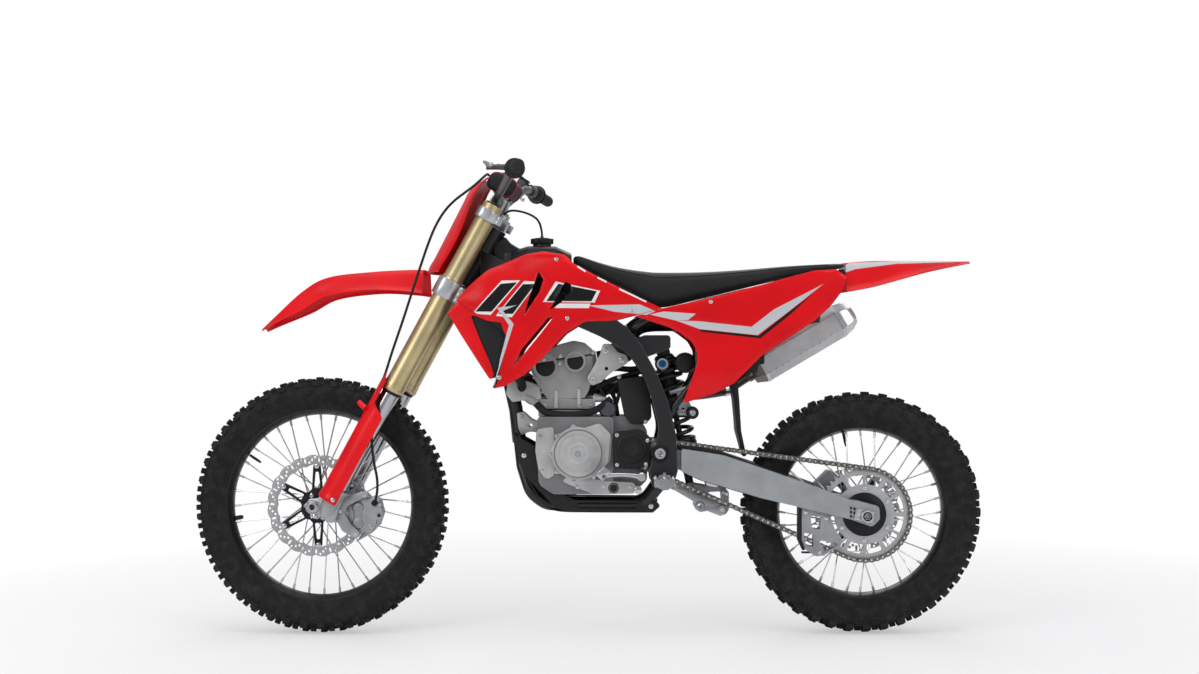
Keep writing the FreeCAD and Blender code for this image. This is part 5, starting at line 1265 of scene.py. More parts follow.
def shroud_depth(x, z):
    """The bulge, broken by a ridge along its middle, a fold down its lower wing and a hollow front corner."""
    ridge = line_side(x, z, (400, 900), (760, 915))
    above = np.clip(ridge / 110.0, 0, 1)
    wing = line_side(x, z, (476, 690), (640, 850))
    ahead = line_side(x, z, (476, 700), (540, 850))
    hollow = soft_step(ahead / 16.0) * soft_step((870 - z) / 30.0) * soft_step((530 - x) / 30.0)
    nose = soft_step((470 - x) / 90.0)
    folds = 16 * above ** 1.5 + soft_step(-wing / 30.0) + 2.4 * hollow + 10 * nose
    return panel_y(x, z) - folds + 3.2 * np.exp(-(ridge / 26.0) ** 2)


def side_depth(x, z):
    """Nearly flat, with a fold along the stripe and the lower corner drawn in."""
    fold = line_side(x, z, (960, 850), (1190, 815))
    rear = line_side(x, z, (1175, 820), (1400, 965))
    raised = np.where(x < 1178, fold, rear)
    join = soft_step((x - 940) / 90.0)
    top = line_z(x, (930, 880), (1400, 990)) - 24
    drawn_in = 8 * soft_step((720 - z) / 90.0) + 5 * join * soft_step((z - top) / 30.0)
    return panel_y(x, z) + join * 3.0 * soft_step(raised / 20.0) - drawn_in


def line_z(x, a, b):
    """The height at x of the line through a and b."""
    return a[1] + (x - a[0]) * (b[1] - a[1]) / (b[0] - a[0])


def printed_red(name, masks_for):
    """Red moulded plastic with its graphics: each print is a mask and a colour, laid one on another."""
    f = Finish(name, RED, 0.3, coat=0.12, slot="colour_plastic", specular=0.22)
    parts, where = f.place()
    slow = f.noise(where, 7.0, 2.0)
    colour = f.mixed(slow.step(0.3, 0.7), DEEP_RED, RED)
    for mask, ink in masks_for(parts[0], parts[2]):
        colour = f.mixed(mask, colour, ink)
    scuffs = f.noise(f.joined_up(parts[0] * 30.0, parts[1] * 30.0, parts[2] * 700.0), 1.0, 3.0)
    f.feed(Base_Color=colour, Roughness=0.26 + slow * 0.08 + scuffs.step(0.58, 0.8) * 0.08)
    f.bump(f.noise(where, PEEL, 2.0), 0.05, 0.0004)
    return f


def thin(a, b, wide):
    """The four corners of a line of a given width."""
    a, b = np.asarray(a, float), np.asarray(b, float)
    way = (b - a) / np.linalg.norm(b - a)
    side = np.array([-way[1], way[0]]) * wide / 2
    return [a + side, b + side, b - side, a - side]


def side_graphics(x, z):
    """Grey-white stripes along the panels, a black front corner with a pale chevron and slanted bars."""
    prints = []

    def add(corners, ink, swell=0.0):
        corners = np.asarray(corners, float)
        if swell:
            middle = corners.mean(0)
            away = corners - middle
            corners = middle + away * (1 + swell / np.linalg.norm(away, axis=1)[:, None])
        prints.append((polygon(x, z, panel(corners)), ink))
    add([(366, 862), (470, 849), (497, 847), (515, 800), (489, 684), (470, 660), (430, 700)], INK)
    for corners in ([(430, 874), (497, 948), (541, 952), (474, 874)],
                    [(492, 868), (556, 947), (590, 948), (530, 868)],
                    [(618, 902), (650, 949), (752, 929), (738, 902)]):
        add(corners, WHITE, 9.0)
        add(corners, INK)
    add([(640, 884), (650, 896), (735, 896), (731, 884)], WHITE)
    add([(488, 884), (540, 891), (504, 876)], STRIPE)
    add([(488, 884), (504, 876), (532, 841), (520, 838)], STRIPE)
    add([(520, 838), (532, 841), (510, 772), (502, 771)], STRIPE)
    add([(502, 771), (510, 772), (481, 679), (476, 679)], STRIPE)
    add([(729, 891), (866, 894), (908, 876), (885, 866), (801, 874)], STRIPE)
    add([(894, 867), (931, 875), (1016, 869), (995, 852), (963, 851)], STRIPE)
    add([(963, 851), (1024, 849), (1165, 834), (1181, 812), (1027, 828)], STRIPE)
    add([(1165, 834), (1226, 881), (1357, 948), (1266, 876), (1181, 812)], STRIPE)
    add([(1027, 827), (1181, 811), (1189, 803), (1030, 821)], INK)
    add([(1181, 811), (1266, 875), (1357, 947), (1268, 866), (1189, 803)], INK)
    for a, b in (((700, 996), (722, 982)), ((754, 966), (778, 954)), ((812, 935), (884, 901))):
        add(thin(a, b, 4.5), WHITE)
    return prints


def tail_graphics(x, z):
    """The stripes carried on along the rear mudguard's sides."""
    stripe = [[(1395, 971), (1408, 993), (1435, 1007), (1449, 990)],
              [(1449, 990), (1435, 1007), (1570, 1013), (1570, 1006)],
              [(1570, 1005), (1570, 1014), (1758, 1013.5), (1758, 1011.5)]]
    return [(polygon(x, z, panel(corners)), STRIPE) for corners in stripe]


def dress_side_bodywork():
    red = printed_red("panel_red_printed", side_graphics)
    wing = bent_panel(SHROUD, SHROUD_SLOTS, shroud_depth)
    on_chassis("shroud_right_panel", wing, red, "shroud_right", round_over=40)
    on_chassis("shroud_left_panel", mirrored(wing), red, "shroud_left", round_over=40)
    on_chassis("side_panel_left", mirrored(bent_panel(SIDE_PANEL, [], side_depth)),
               red, "side_panels", round_over=40)
    on_chassis("side_panel_right", bent_panel(PANEL_BY_SILENCER, [], side_depth),
               red, "side_panels", round_over=40)
    spots = [(673, 857), (494, 700), (1056, 900), (644, 1014), (846, 876)]
    screws = []
    for sx, sz in spots:
        out = float((shroud_depth if sx < 900 else side_depth)(np.array([float(sx)]),
                                                               np.array([float(sz)]))[0])
        screws.append((sx, out - 0.6, sz))
    heads = bolts(np.array(screws), (0, 1, 0), 5.0, 3.6)
    on_chassis("panel_screws", both(heads), BRIGHT)


def arch(stations, columns, form):
    """A moulded arch: at each station along the bike a crowned section between its two lower edges."""
    s = np.asarray(stations, float)
    t = np.linspace(0, len(s) - 1, (len(s) - 1) * 10 + 1)
    values = smooth_stations(s, t)
    across = np.linspace(-1, 1, columns)
    x = values[:, :1] + 0 * across
    y = values[:, 3:4] * across
    z = form(values[:, 1:2], values[:, 2:3], across[None], t[:, None] / (len(s) - 1))
    return np.stack([x, y, z], -1)


def smooth_stations(s, t):
    """Station values eased between their places with a Catmull-Rom curve."""
    k = np.clip(t.astype(int), 0, len(s) - 2)
    f = (t - k)[:, None]
    before, here = s[np.maximum(k - 1, 0)], s[k]
    after, last = s[k + 1], s[np.minimum(k + 2, len(s) - 1)]
    square = (2 * before - 5 * here + 4 * after - last) * f ** 2
    cube = (3 * here - before - 3 * after + last) * f ** 3
    return 0.5 * (2 * here + (after - before) * f + square + cube)


def shell_of(top, thickness):
    """A closed wall below a grid of places: the grid, the same grid lowered along its normal, and the rim."""
    along = np.gradient(top, axis=0)
    across = np.gradient(top, axis=1)
    normal = np.cross(along, across)
    normal /= np.maximum(np.linalg.norm(normal, axis=-1)[..., None], 1e-9)
    normal *= np.where(normal[..., 2:3] < 0, -1, 1)
    return folded(np.concatenate([top, (top - normal * thickness)[:, ::-1]], 1))


def fender_form(top, low, across, along):
    """A crowned top with a ridge on each shoulder and a short skirt below it."""
    side = np.abs(across)
    crown = top - 5.0 * side ** 2 - 3.2 * np.exp(-((side - 0.30) / 0.10) ** 2) * (1 - along) ** 0.3
    skirt = soft_step((side - 0.66) / 0.34)
    return crown * (1 - skirt) + low * skirt


def dress_fenders():
    front = [(-165, 832, 824, 30), (-130, 862, 842, 48), (-48, 933, 878, 68), (24, 970, 916, 79),
             (144, 984, 932, 86), (240, 989, 928, 88), (286, 989, 922, 88)]
    top = arch(front, 41, fender_form)
    made("front_fender_moulded", moved(shell_of(top, 2.6), turned_with_bars), RED_PLASTIC, "steering",
         ("front_fender",), 45)
    rear = [(1424.3, 1009, 930, 91), (1500, 1014.5, 944, 87), (1637, 1015, 982, 76), (1740, 1015, 1004, 55),
            (1766, 1014.5, 1009, 38)]
    tail = arch(rear, 41, fender_form)
    on_chassis("rear_fender_moulded", shell_of(tail, 2.6), printed_red("tail_red_printed", tail_graphics),
               "rear_fender", round_over=45)


def dress_number_plate():
    """A shield swept back at its sides: the edge runs further back than the middle, with a raised rim."""
    stations = np.array([(981, 288, 332, 90), (1073, 336, 386, 110), (1163, 383, 420, 108),
                         (1208, 407, 440, 92), (1237, 446, 462, 62)], float)
    t = np.linspace(0, 4, 41)
    v = smooth_stations(stations, t)
    across = np.linspace(-1, 1, 37)[None]
    share = t[:, None] / 4
    bow = np.abs(across) ** 2.2
    x = v[:, 1:2] + (v[:, 2:3] - v[:, 1:2]) * bow
    rim = np.exp(-((np.abs(across) - 0.90) / 0.05) ** 2) + np.exp(-((share - 0.07) / 0.03) ** 2)
    x = x - 2.2 * np.clip(rim, 0, 1) + 1.5 * np.exp(-(across / 0.12) ** 2) * share
    shield = np.stack([x, v[:, 3:4] * across, v[:, :1] + 0 * across], -1)
    along = np.gradient(shield, axis=0)
    over = np.gradient(shield, axis=1)
    normal = np.cross(over, along)
    normal /= np.linalg.norm(normal, axis=-1)[..., None]
    normal *= np.where(normal[..., :1] > 0, 1, -1)
    walls = folded(np.concatenate([shield, (shield + normal * 2.8)[:, ::-1]], 1))
    made("number_plate_shield", moved(walls, turned_with_bars), RED_PLASTIC, "steering",
         ("number_plate",), 45)


def seat_surface():
    """A closed padded form: a rounded section at each station, fullest at the top edge and drawn in below."""
    stations = np.array([(688, 1007, 1024, 50), (705, 998, 1028, 58), (761, 967.5, 1010, 66),
                         (815, 939.5, 996, 72), (881, 902, 986, 76), (927, 886, 983, 78),
                         (1035, 909, 984, 86), (1144, 936, 990, 90), (1281, 968, 1001, 88),
                         (1422, 993, 1008, 80)], float)
    t = np.linspace(0, 9, 136)
    v = smooth_stations(stations, t)
    angle = np.linspace(0, 2 * math.pi, 64, endpoint=False)[None]
    wide = squared_off(np.cos(angle), 0.42)
    high = squared_off(np.sin(angle), 0.5)
    middle = (v[:, 1:2] + v[:, 2:3]) / 2
    tall = (v[:, 2:3] - v[:, 1:2]) / 2
    y = (v[:, 3:4] - 4.0 + 2.0 * np.maximum(high, 0)) * wide
    crown = 2.5 * (1 - (y / v[:, 3:4]) ** 2)
    z = middle + (tall - 1.5) * high + np.where(high > 0, crown - 1.5, 0.0)
    x = v[:, :1] + 0 * angle
    ends = np.clip(np.minimum(t, 9 - t) / 0.35, 0, 1)[:, None]
    ease = np.sqrt(1 - (1 - ends) ** 2) * 0.25 + 0.75
    return np.stack([x, y * ease, middle + (z - middle) * ease], -1)


def dress_seat():
    grid = seat_surface()
    shape = capped(sheet(grid, wrap_columns=True), 64)
    seat = on_chassis("seat_padded", shape, SEAT_COVER, "seat", round_over=60)
    seam = grid[6:-6, 6] + (0, 0.6, 0.4)
    on_chassis("seat_seam_piping", both(tube(seam, 1.5, 8)), SEAT_COVER, round_over=60)


dress_side_bodywork()
dress_fenders()
dress_number_plate()
dress_seat()


# Fork, bars and front brake, drawn in the steering frame: behind the axis, across, along it

def side_cut(outline, holes, y0, y1, edge=1.5, steps=5):
    """A cut plate with its corners rounded, seen from the side."""
    loops = [hole if len(hole) > 12 else rounded(hole, steps) for hole in holes]
    return cut_plate(rounded(outline, steps), loops, y0, y1, edge)


def plan_cut(outline, holes, z0, z1, edge=1.5, steps=6):
    """A cut plate seen from above: the side view's second and third axes change places."""
    points, faces = side_cut(outline, holes, z0, z1, edge, steps)
    return points[:, [0, 2, 1]], faces


def leg_turned(profile, side, sides=64):
    return turned([(r, a) for a, r in profile], (-LEG_AHEAD, side * LEG_Y, 0), (0, 0, 1), sides)


def each_leg(profile, sides=64):
    return joined(leg_turned(profile, -1, sides), leg_turned(profile, 1, sides))


TUBE_PROFILE = [(372, 0.1), (372, 26.5), (372.6, 29.2), (375, 30.4), (381, 30.5), (382, 29.9), (384, 29.9),
                (385, 30.5), (392, 30.4), (396, 29.6), (402, 29.0), (660, 29.0), (713, 29.0), (716, 28.2),
                (719, 27.0), (936, 27.0), (939, 26.2), (939.9, 24.5), (939.9, 0.1)]
CAP_PROFILE = [(938, 0.1), (938, 21), (942.6, 21), (943.4, 20), (943.4, 15), (941, 14), (941, 0.1)]
LEG_PROFILE = [(64, 0.1), (64, 23.6), (66, 24.0), (374, 24.0), (375, 0.1)]
BOOT_PROFILE = [(-14, 0.1), (-14, 14), (-12, 17), (-4, 20), (8, 25), (26, 28), (50, 29.5), (66, 30.5),
                (68, 35.5), (74, 36.4), (75, 30), (75, 0.1)]
GUARD_LOW = 34.0
GUARD_TOP = 412.0
GUARD_R = 37.2
FOOT = [(-77, -14, 14), (-79, 14, 14), (-60, 24, 8), (-46, 52, 16), (-44, 66, 6), (4, 66, 6), (6, 30, 14),
        (12, 0, 10), (8, -16, 10), (-30, -14, 16), (-50, -17, 12)]
CALIPER_ARMS = [(-6, 46, 6), (2, 60, 10), (34, 97, 8), (52, 103, 8), (58, 92, 8), (46, 82, 14),
                (20, 44, 10), (22, 24, 14), (52, 6, 10), (84, -2, 8), (88, -14, 8), (72, -22, 8),
                (40, -22, 12), (8, -2, 10), (-4, 12, 6)]
CALIPER = [(24, 62, 12), (34, 80, 8), (56, 86, 8), (66, 100, 10), (86, 100, 10), (98, 86, 8), (110, 74, 10),
           (112, 58, 8), (104, 48, 6), (112, 30, 10), (110, 10, 12), (92, 4, 8), (84, -12, 10), (66, -12, 8),
           (52, -6, 8), (36, 8, 14), (26, 34, 14)]


def guard_shell():
    """Half a pipe in (turn, along): its rear edge steps back from a narrow neck at the top to full width."""
    turn = np.linspace(0.0, 1.0, 25)[None]
    along = np.linspace(0.0, 1.0, 65)[:, None]
    a = GUARD_LOW + along * (GUARD_TOP - GUARD_LOW)
    neck = soft_step((a - 296) / 34.0)
    widest = 2.03 - 1.02 * neck
    least = -0.72 + 0.50 * soft_step((a - 330) / 80.0)
    angle = least + (widest - least) * turn
    taper = 1 - 0.75 * soft_step((a - 385) / 30.0)
    angle = 0.35 + (angle - 0.35) * taper
    rim = np.exp(-(np.minimum(turn, 1 - turn) / 0.05) ** 2) * 1.6
    inside = np.stack(np.broadcast_arrays(GUARD_R + rim, angle, a), -1)
    wall = 3.0 + 2.4 * np.exp(-((a - GUARD_LOW - 8) / 5.0) ** 2) + 0 * turn
    outside = inside + np.stack([wall, 0 * wall, 0 * wall], -1)
    loop = np.concatenate([inside, outside[:, ::-1]], 1)
    radius, bearing = loop[..., 0], loop[..., 1]
    behind = -LEG_AHEAD - radius * np.cos(bearing)
    return folded(np.stack([behind, LEG_Y + radius * np.sin(bearing), loop[..., 2]], -1))


def dress_fork():
    on_fork("fork_tubes_gold", each_leg(TUBE_PROFILE), GOLD, "fork_tubes", round_over=30)
    caps = joined(each_leg(CAP_PROFILE),
                  *[bolts([(-LEG_AHEAD, s * LEG_Y, 939)], (0, 0, 1), 8.5, 4.2) for s in (-1, 1)])
    on_fork("fork_caps", caps, SHOCK_METAL, "fork_tubes", round_over=30)
    seals = each_leg([(371.9, 0.1), (371.9, 26.4), (369, 26.2), (366, 25.0), (364, 24.4), (364, 0.1)])
    on_fork("fork_dust_seals", seals, BLACK_PLASTIC, round_over=30)
    on_fork("fork_legs_chrome", each_leg(LEG_PROFILE), CHROME, "fork_legs", round_over=30)
    foot = joined(side_cut(FOOT, [ring(11.6, 32, (-FORK_OFFSET, 0))], 84, 114, 3.0),
                  flat_turned([(11.5, 83), (19.5, 83), (20.5, 84.5), (20.5, 114.5), (19.0, 116),
                               (11.5, 116), (11.5, 83)],
                              (-FORK_OFFSET, 0), 48),
                  side_cut([(-52, -24, 6), (-50, -12, 4), (-34, -8, 4), (-28, -16, 6), (-34, -26, 6)],
                           [], 88, 110, 2.0))
    on_fork("fork_feet", joined(both(foot), each_leg(BOOT_PROFILE)), CAST_SILVER, "fork_legs")
    screws = joined(outward_bolts([(-42, s * 116.0, -19.0) for s in (-1, 1)], 5.0, 4.0),
                    bolts([(-20, -114.2, 33)], (0, -1, 0), 3.2, 1.6),
                    bolts([(-LEG_AHEAD, s * LEG_Y, -13.5) for s in (-1, 1)], (0, 0, -1), 10.0, 6.0))
    on_fork("fork_foot_bolts", screws, BRIGHT)
    guard = guard_shell()
    tab = limb([(-60, 124, 300), (-70, 121, 301), (-80, 117, 304), (-86, 115, 306)],
               [(8, 5), (6.5, 4.6), (7.5, 4.6), (5.5, 3.5)], 16)
    on_fork("fork_guards_moulded", both(joined(guard, tab)), RED_PLASTIC, "fork_guards", round_over=45)
    heads = outward_bolts([(-16, s * 139.6, 46) for s in (-1, 1)], 5.2, 3.4)
    on_fork("fork_guard_bolts", heads, BRIGHT)


def dress_front_axle():
    """The hollow axle with its spacers, a hexagon nut on one side and a round head on the other."""
    half = LEG_Y + 27
    shaft = flat_turned([(7.6, -half), (10.6, -half), (11.0, -half + 1), (11.0, half - 1), (10.6, half),
                         (7.6, half), (7.6, -half)], sides=40)
    rings = [flat_turned([(10.9, a), (16.5, a), (17, a + 0.5), (17, b - 0.5), (16.5, b), (10.9, b),
                          (10.9, a)], sides=40)
             for a, b in ((62.4, 81.6), (-81.6, -62.4), (116.3, 123.5))]
    nut = flat_turned([(10.9, -124), (15.5, -124), (17, -122.6), (17, -116.4), (10.9, -116.4),
                       (10.9, -124)], sides=6)
    made("front_axle_turned", moved(joined(shaft, nut, *rings), on_front_wheel),
         MACHINED, "steering", ("front_axle",), 30)


def clamp_eyes(span, tube_r):
    """A clamp: two split eyes on a waisted bridge, with lugs for the pinch bolts behind each eye."""
    wall = tube_r + 7
    half = [(26, 20, 16), (8, 56, 20), (-4, LEG_Y - tube_r - 3, 10), (wall - LEG_AHEAD - 5, LEG_Y - 10, 12),
            (wall - LEG_AHEAD, LEG_Y + wall * 0.55, wall * 0.45),
            (wall * 0.4 - LEG_AHEAD, LEG_Y + wall, wall * 0.6),
            (-wall * 0.6 - LEG_AHEAD, LEG_Y + wall, wall * 0.6),
            (-wall - LEG_AHEAD, LEG_Y + wall * 0.2, wall * 0.6),
            (-wall - LEG_AHEAD + 6, LEG_Y - wall + 4, 18), (-wall - LEG_AHEAD + 14, 52, 16), (-34, 24, 24)]
    outline = half + [(b, -y, r) for b, y, r in half[::-1]]
    eyes = [ring(tube_r + 0.2, 48, (-LEG_AHEAD, s * LEG_Y)) for s in (-1, 1)]
    lugs = []
    for s in (-1, 1):
        at = tube_r - LEG_AHEAD
        for y in (s * (LEG_Y + 3), s * (LEG_Y + 17)):
            lugs.append(plan_cut([(at - 2, y - 5.5, 2), (at + 20, y - 5.5, 5), (at + 20, y + 5.5, 5),
                                  (at - 2, y + 5.5, 2)], [], span[0] + 3, span[1] - 3, 1.2))
    return joined(plan_cut(outline, eyes, span[0], span[1], 3.0), *lugs)


LOWER_CLAMP = (658.0, 709.0)
UPPER_CLAMP = (893.0, 923.0)
BAR_AT = (-24.0, 955.0)


def dress_clamps():
    stem = turned([(10, 658), (16, 658), (16, 893), (16, 923), (19, 923), (20, 924), (20, 930),
                   (18.5, 931.5), (10, 931.5), (10, 658)], (0, 0, 0), (0, 0, 1), 48)
    body = joined(clamp_eyes(LOWER_CLAMP, 29.0), clamp_eyes(UPPER_CLAMP, 27.0), stem)
    on_fork("fork_clamps", body, CLAMP_ALLOY, "triple_clamps")
    blocks = []
    for s in (-1, 1):
        y0, y1 = sorted((s * 25, s * 52))
        blocks.append(side_cut([(-45, 922, 2), (-45, 950, 6), (-44, 975, 12), (-4, 975, 12), (-3, 950, 6),
                                (-3, 922, 2)],
                               [ring(14.4, 36, BAR_AT)], y0, y1, 1.6))
    on_fork("bar_clamps", joined(*blocks), CLAMP_ALLOY, "triple_clamps")
    pinch = []
    for span, tube_r, count in ((LOWER_CLAMP, 29.0, 3), (UPPER_CLAMP, 27.0, 2)):
        for z in np.linspace(span[0] + 9, span[1] - 9, count):
            pinch += [(tube_r - LEG_AHEAD + 12, s * (LEG_Y + 22.4), z) for s in (-1, 1)]
    heads = joined(outward_bolts(pinch, 4.6, 5.0),
                   bolts([(b, s * 38.5, 974.6) for s in (-1, 1) for b in (-40.5, -7.5)],
                         (0, 0, 1), 4.2, 3.0))
    on_fork("clamp_bolts", heads, BRIGHT)


BAR_RISE = np.array([-8.0, 182.0, 1037.0])
BAR_END = np.array([36.0, 405.0, 1046.0])
BAR_R = 11.1
GRIP_R = 16.0
GRIP_LEN = 120.0
LEVER_PIVOTS = ((-1, GRIP_LEN + 12), (1, GRIP_LEN + 44))


def bar_point(from_end, side):
    """A place on the handlebar's straight end, this far in from its tip."""
    way = (BAR_RISE - BAR_END) / np.linalg.norm(BAR_RISE - BAR_END)
    return (BAR_END + way * from_end) * (1, side, 1)


def on_bar(profile, side, sides=40):
    """A profile of (distance from the bar's end, radius) turned about the bar."""
    way = bar_point(100, side) - bar_point(0, side)
    return turned([(r, d) for d, r in profile], bar_point(0, side), way, sides)


def grip_profile():
    """Ribs as a wave on the barrel, then a flange like a mushroom at the inner end."""
    d = np.linspace(5, 108, 120)
    ribs = GRIP_R - 0.9 + 0.9 * np.abs(np.sin(d / 103 * math.pi * 17)) ** 0.5
    barrel = list(zip(d, ribs))
    flange = [(111, 16.0), (114, 18.5), (115.4, 24.5), (117, 26.8), (119, 26.8), (119.8, 25),
              (119.8, BAR_R + 0.4)]
    return [(-0.6, 0.1), (-0.6, 10), (0.4, 13.6), (2.4, 15.6)] + barrel + flange


def lever_set(side, pivot):
    """A perch round the bar, a pivot arm ahead of it and a blade that sweeps out to a ball."""
    start = bar_point(pivot + 12, side)
    drop = -30.0
    perch = on_bar([(pivot, BAR_R + 0.4), (pivot, 16.5), (pivot + 1.5, 18), (pivot + 22.5, 18),
                    (pivot + 24, 16.5), (pivot + 24, BAR_R + 0.4), (pivot, BAR_R + 0.4)], side)
    arm = limb([start + (-10, 0, 0), start + (-30, -side * 2, -10), start + (-52, side * 2, -22),
                start + (-64, side * 6, drop + 1)],
               [(9, 11), (7.5, 10), (7, 10), (7.5, 11)])
    tip = abs(start[1])
    z = BAR_END[2] + drop
    blade = limb([(start[0] - 62, side * (tip + 2), z), (start[0] - 56, side * (tip + 16), z),
                  (start[0] - 62, side * (tip + 50), z), (start[0] - 62, side * (tip + 86), z),
                  (start[0] - 38, side * 386, z - 1), (start[0] - 34, side * 401, z - 1)],
                 [(4.5, 9), (4.2, 8), (4.0, 6.0), (3.8, 5.6), (4.2, 5.4), (5.0, 5.0)], 40)
    ball = turned([(0.1, -6.4), (3.6, -5.3), (5.8, -2.6), (6.4, 0), (5.8, 2.6), (3.6, 5.3), (0.1, 6.4)],
                  (start[0] - 35, side * 399, z - 1), (0, 0, 1), 16)
    return perch, arm, joined(blade, ball)


def dress_bars():
    dressed("handlebar", BAR_GREY)
    grip = grip_profile()
    on_fork("grips_ribbed", joined(on_bar(grip, -1, 48), on_bar(grip, 1, 48)), GRIP, "grips", round_over=30)
    left, right = [lever_set(side, pivot) for side, pivot in LEVER_PIVOTS]
    on_fork("lever_blades", joined(left[2], right[2]), CLAMP_ALLOY, "hand_controls", round_over=45)
    on_fork("lever_perches", joined(left[0], left[1], right[0], right[1]),
            DARK_CASE, "hand_controls", round_over=40)
    pegs = [bar_point(p + 12, s) + (-60, s * 5, -20) for s, p in LEVER_PIVOTS]
    on_fork("lever_pivots", bolts(pegs, (0, 0, 1), 4.5, 4.5), BRIGHT)
    boot = limb(bar_point(GRIP_LEN + 24, -1) + np.array([(-40, 8, -12), (-44, 24, -10), (-40, 48, -6)]),
                [(6.5, 6.5), (5.5, 5.5), (3.5, 3.5)], 16)
    throttle = on_bar([(GRIP_LEN + 0.4, BAR_R + 0.4), (GRIP_LEN + 0.4, 22), (GRIP_LEN + 3, 23.8),
                       (GRIP_LEN + 20, 23.8), (GRIP_LEN + 24, 21), (GRIP_LEN + 31, 19.5),
                       (GRIP_LEN + 34, 17), (GRIP_LEN + 34, BAR_R + 0.4), (GRIP_LEN + 0.4, BAR_R + 0.4)], 1)
    on_fork("throttle_and_boot", joined(boot, throttle), BLACK_PLASTIC, "hand_controls", round_over=40)
    at = bar_point(GRIP_LEN + 56, 1)
    tank = box_rounded(at + (-31, -14, 5), (15, 22, 13), 0.35)
    lid = box_rounded(at + (-31, -14, 19.4), (16, 23, 2.6), 0.2)
    on_fork("brake_reservoir", tank, DARK_CASE, "hand_controls", round_over=50)
    on_fork("brake_reservoir_lid", lid, BLACK_PLASTIC, "hand_controls", round_over=50)


def box_rounded(centre, half, power, rows=17, columns=36):
    """A superellipsoid: each axis is its half length times a sine or cosine raised to a power below one."""
    up = np.linspace(-math.pi / 2, math.pi / 2, rows)[:, None]
    around = np.linspace(0, 2 * math.pi, columns, endpoint=False)[None]
    level = squared_off(np.cos(up), power)
    x = level * squared_off(np.cos(around), power) * half[0]
    y = level * squared_off(np.sin(around), power) * half[1]
    z = squared_off(np.sin(up), power) * half[2] + 0 * around
    return sheet(np.stack([x, y, z], -1) + np.asarray(centre, float), wrap_columns=True)


def pad_section(scale, grow=0.0):
    """The pad's outline behind and above the bar, as places round its middle: a leaning superellipse."""
    angle = np.linspace(0, 2 * math.pi, 48, endpoint=False)
    wide = squared_off(np.cos(angle), 0.62) * (38.5 + grow)
    high = squared_off(np.sin(angle), 0.62) * (23.5 + grow)
    return -33 + wide * scale, 1001.5 + high * scale + 3 * np.sin(angle + 0.6)


def dress_bar_pad():
    across = np.linspace(-84, 84, 41)
    reach = np.clip((84 - np.abs(across)) / 14.0, 0, 1)
    scale = (0.62 + 0.38 * np.sqrt(1 - (1 - reach) ** 2))[:, None]
    b, a = pad_section(scale)
    a = np.maximum(a, 976.4)
    grid = np.stack([b, across[:, None] + 0 * b, a], -1)
    pad = on_fork("bar_pad_foam", capped(sheet(grid, wrap_columns=True), 48),
                  PAD_COVER, "bar_pad", round_over=60)
    lines = []
    for y in (-66.0, 66.0):
        b, a = pad_section(1.0, 0.4)
        loop = np.stack([b, np.full_like(b, y), np.maximum(a, 976.6)], -1)
        lines.append(carried(loop, ring_section(1.8, 8), closed=True))
    on_fork("bar_pad_piping", joined(*lines), PIPING_RED, round_over=60)


BRAKE_HOSE = [(-4, 168, 1046), (-20, 130, 1060), (-62, 92, 1046), (-82, 56, 1020), (-86, 0, 1008),
              (-84, -52, 1010), (-84, -88, 990), (-88, -116, 962), (-100, -132, 930), (-116, -130, 896),
              (-128, -116, 858), (-131, -106, 812), (-126, -101, 764), (-118, -100, 716), (-108, -104, 667),
              (-97, -111, 614), (-85, -119, 560), (-75, -124, 506), (-66, -122, 452), (-57, -115, 404),
              (-54, -115.5, 368), (-42.5, -120, 330), (-30, -127.5, 292), (-14, -127.5, 254),
              (4, -122, 220), (30, -115, 182), (58, -113, 150), (74, -111, 120), (80, -103, 96),
              (79.1, -86.1, 85.2)]
VENT_HOSE = [(602, 0, 1084), (600, 0, 1122), (566, 0, 1146), (516, 0, 1156), (496, 0, 1142), (486.6, 0, 1124)]


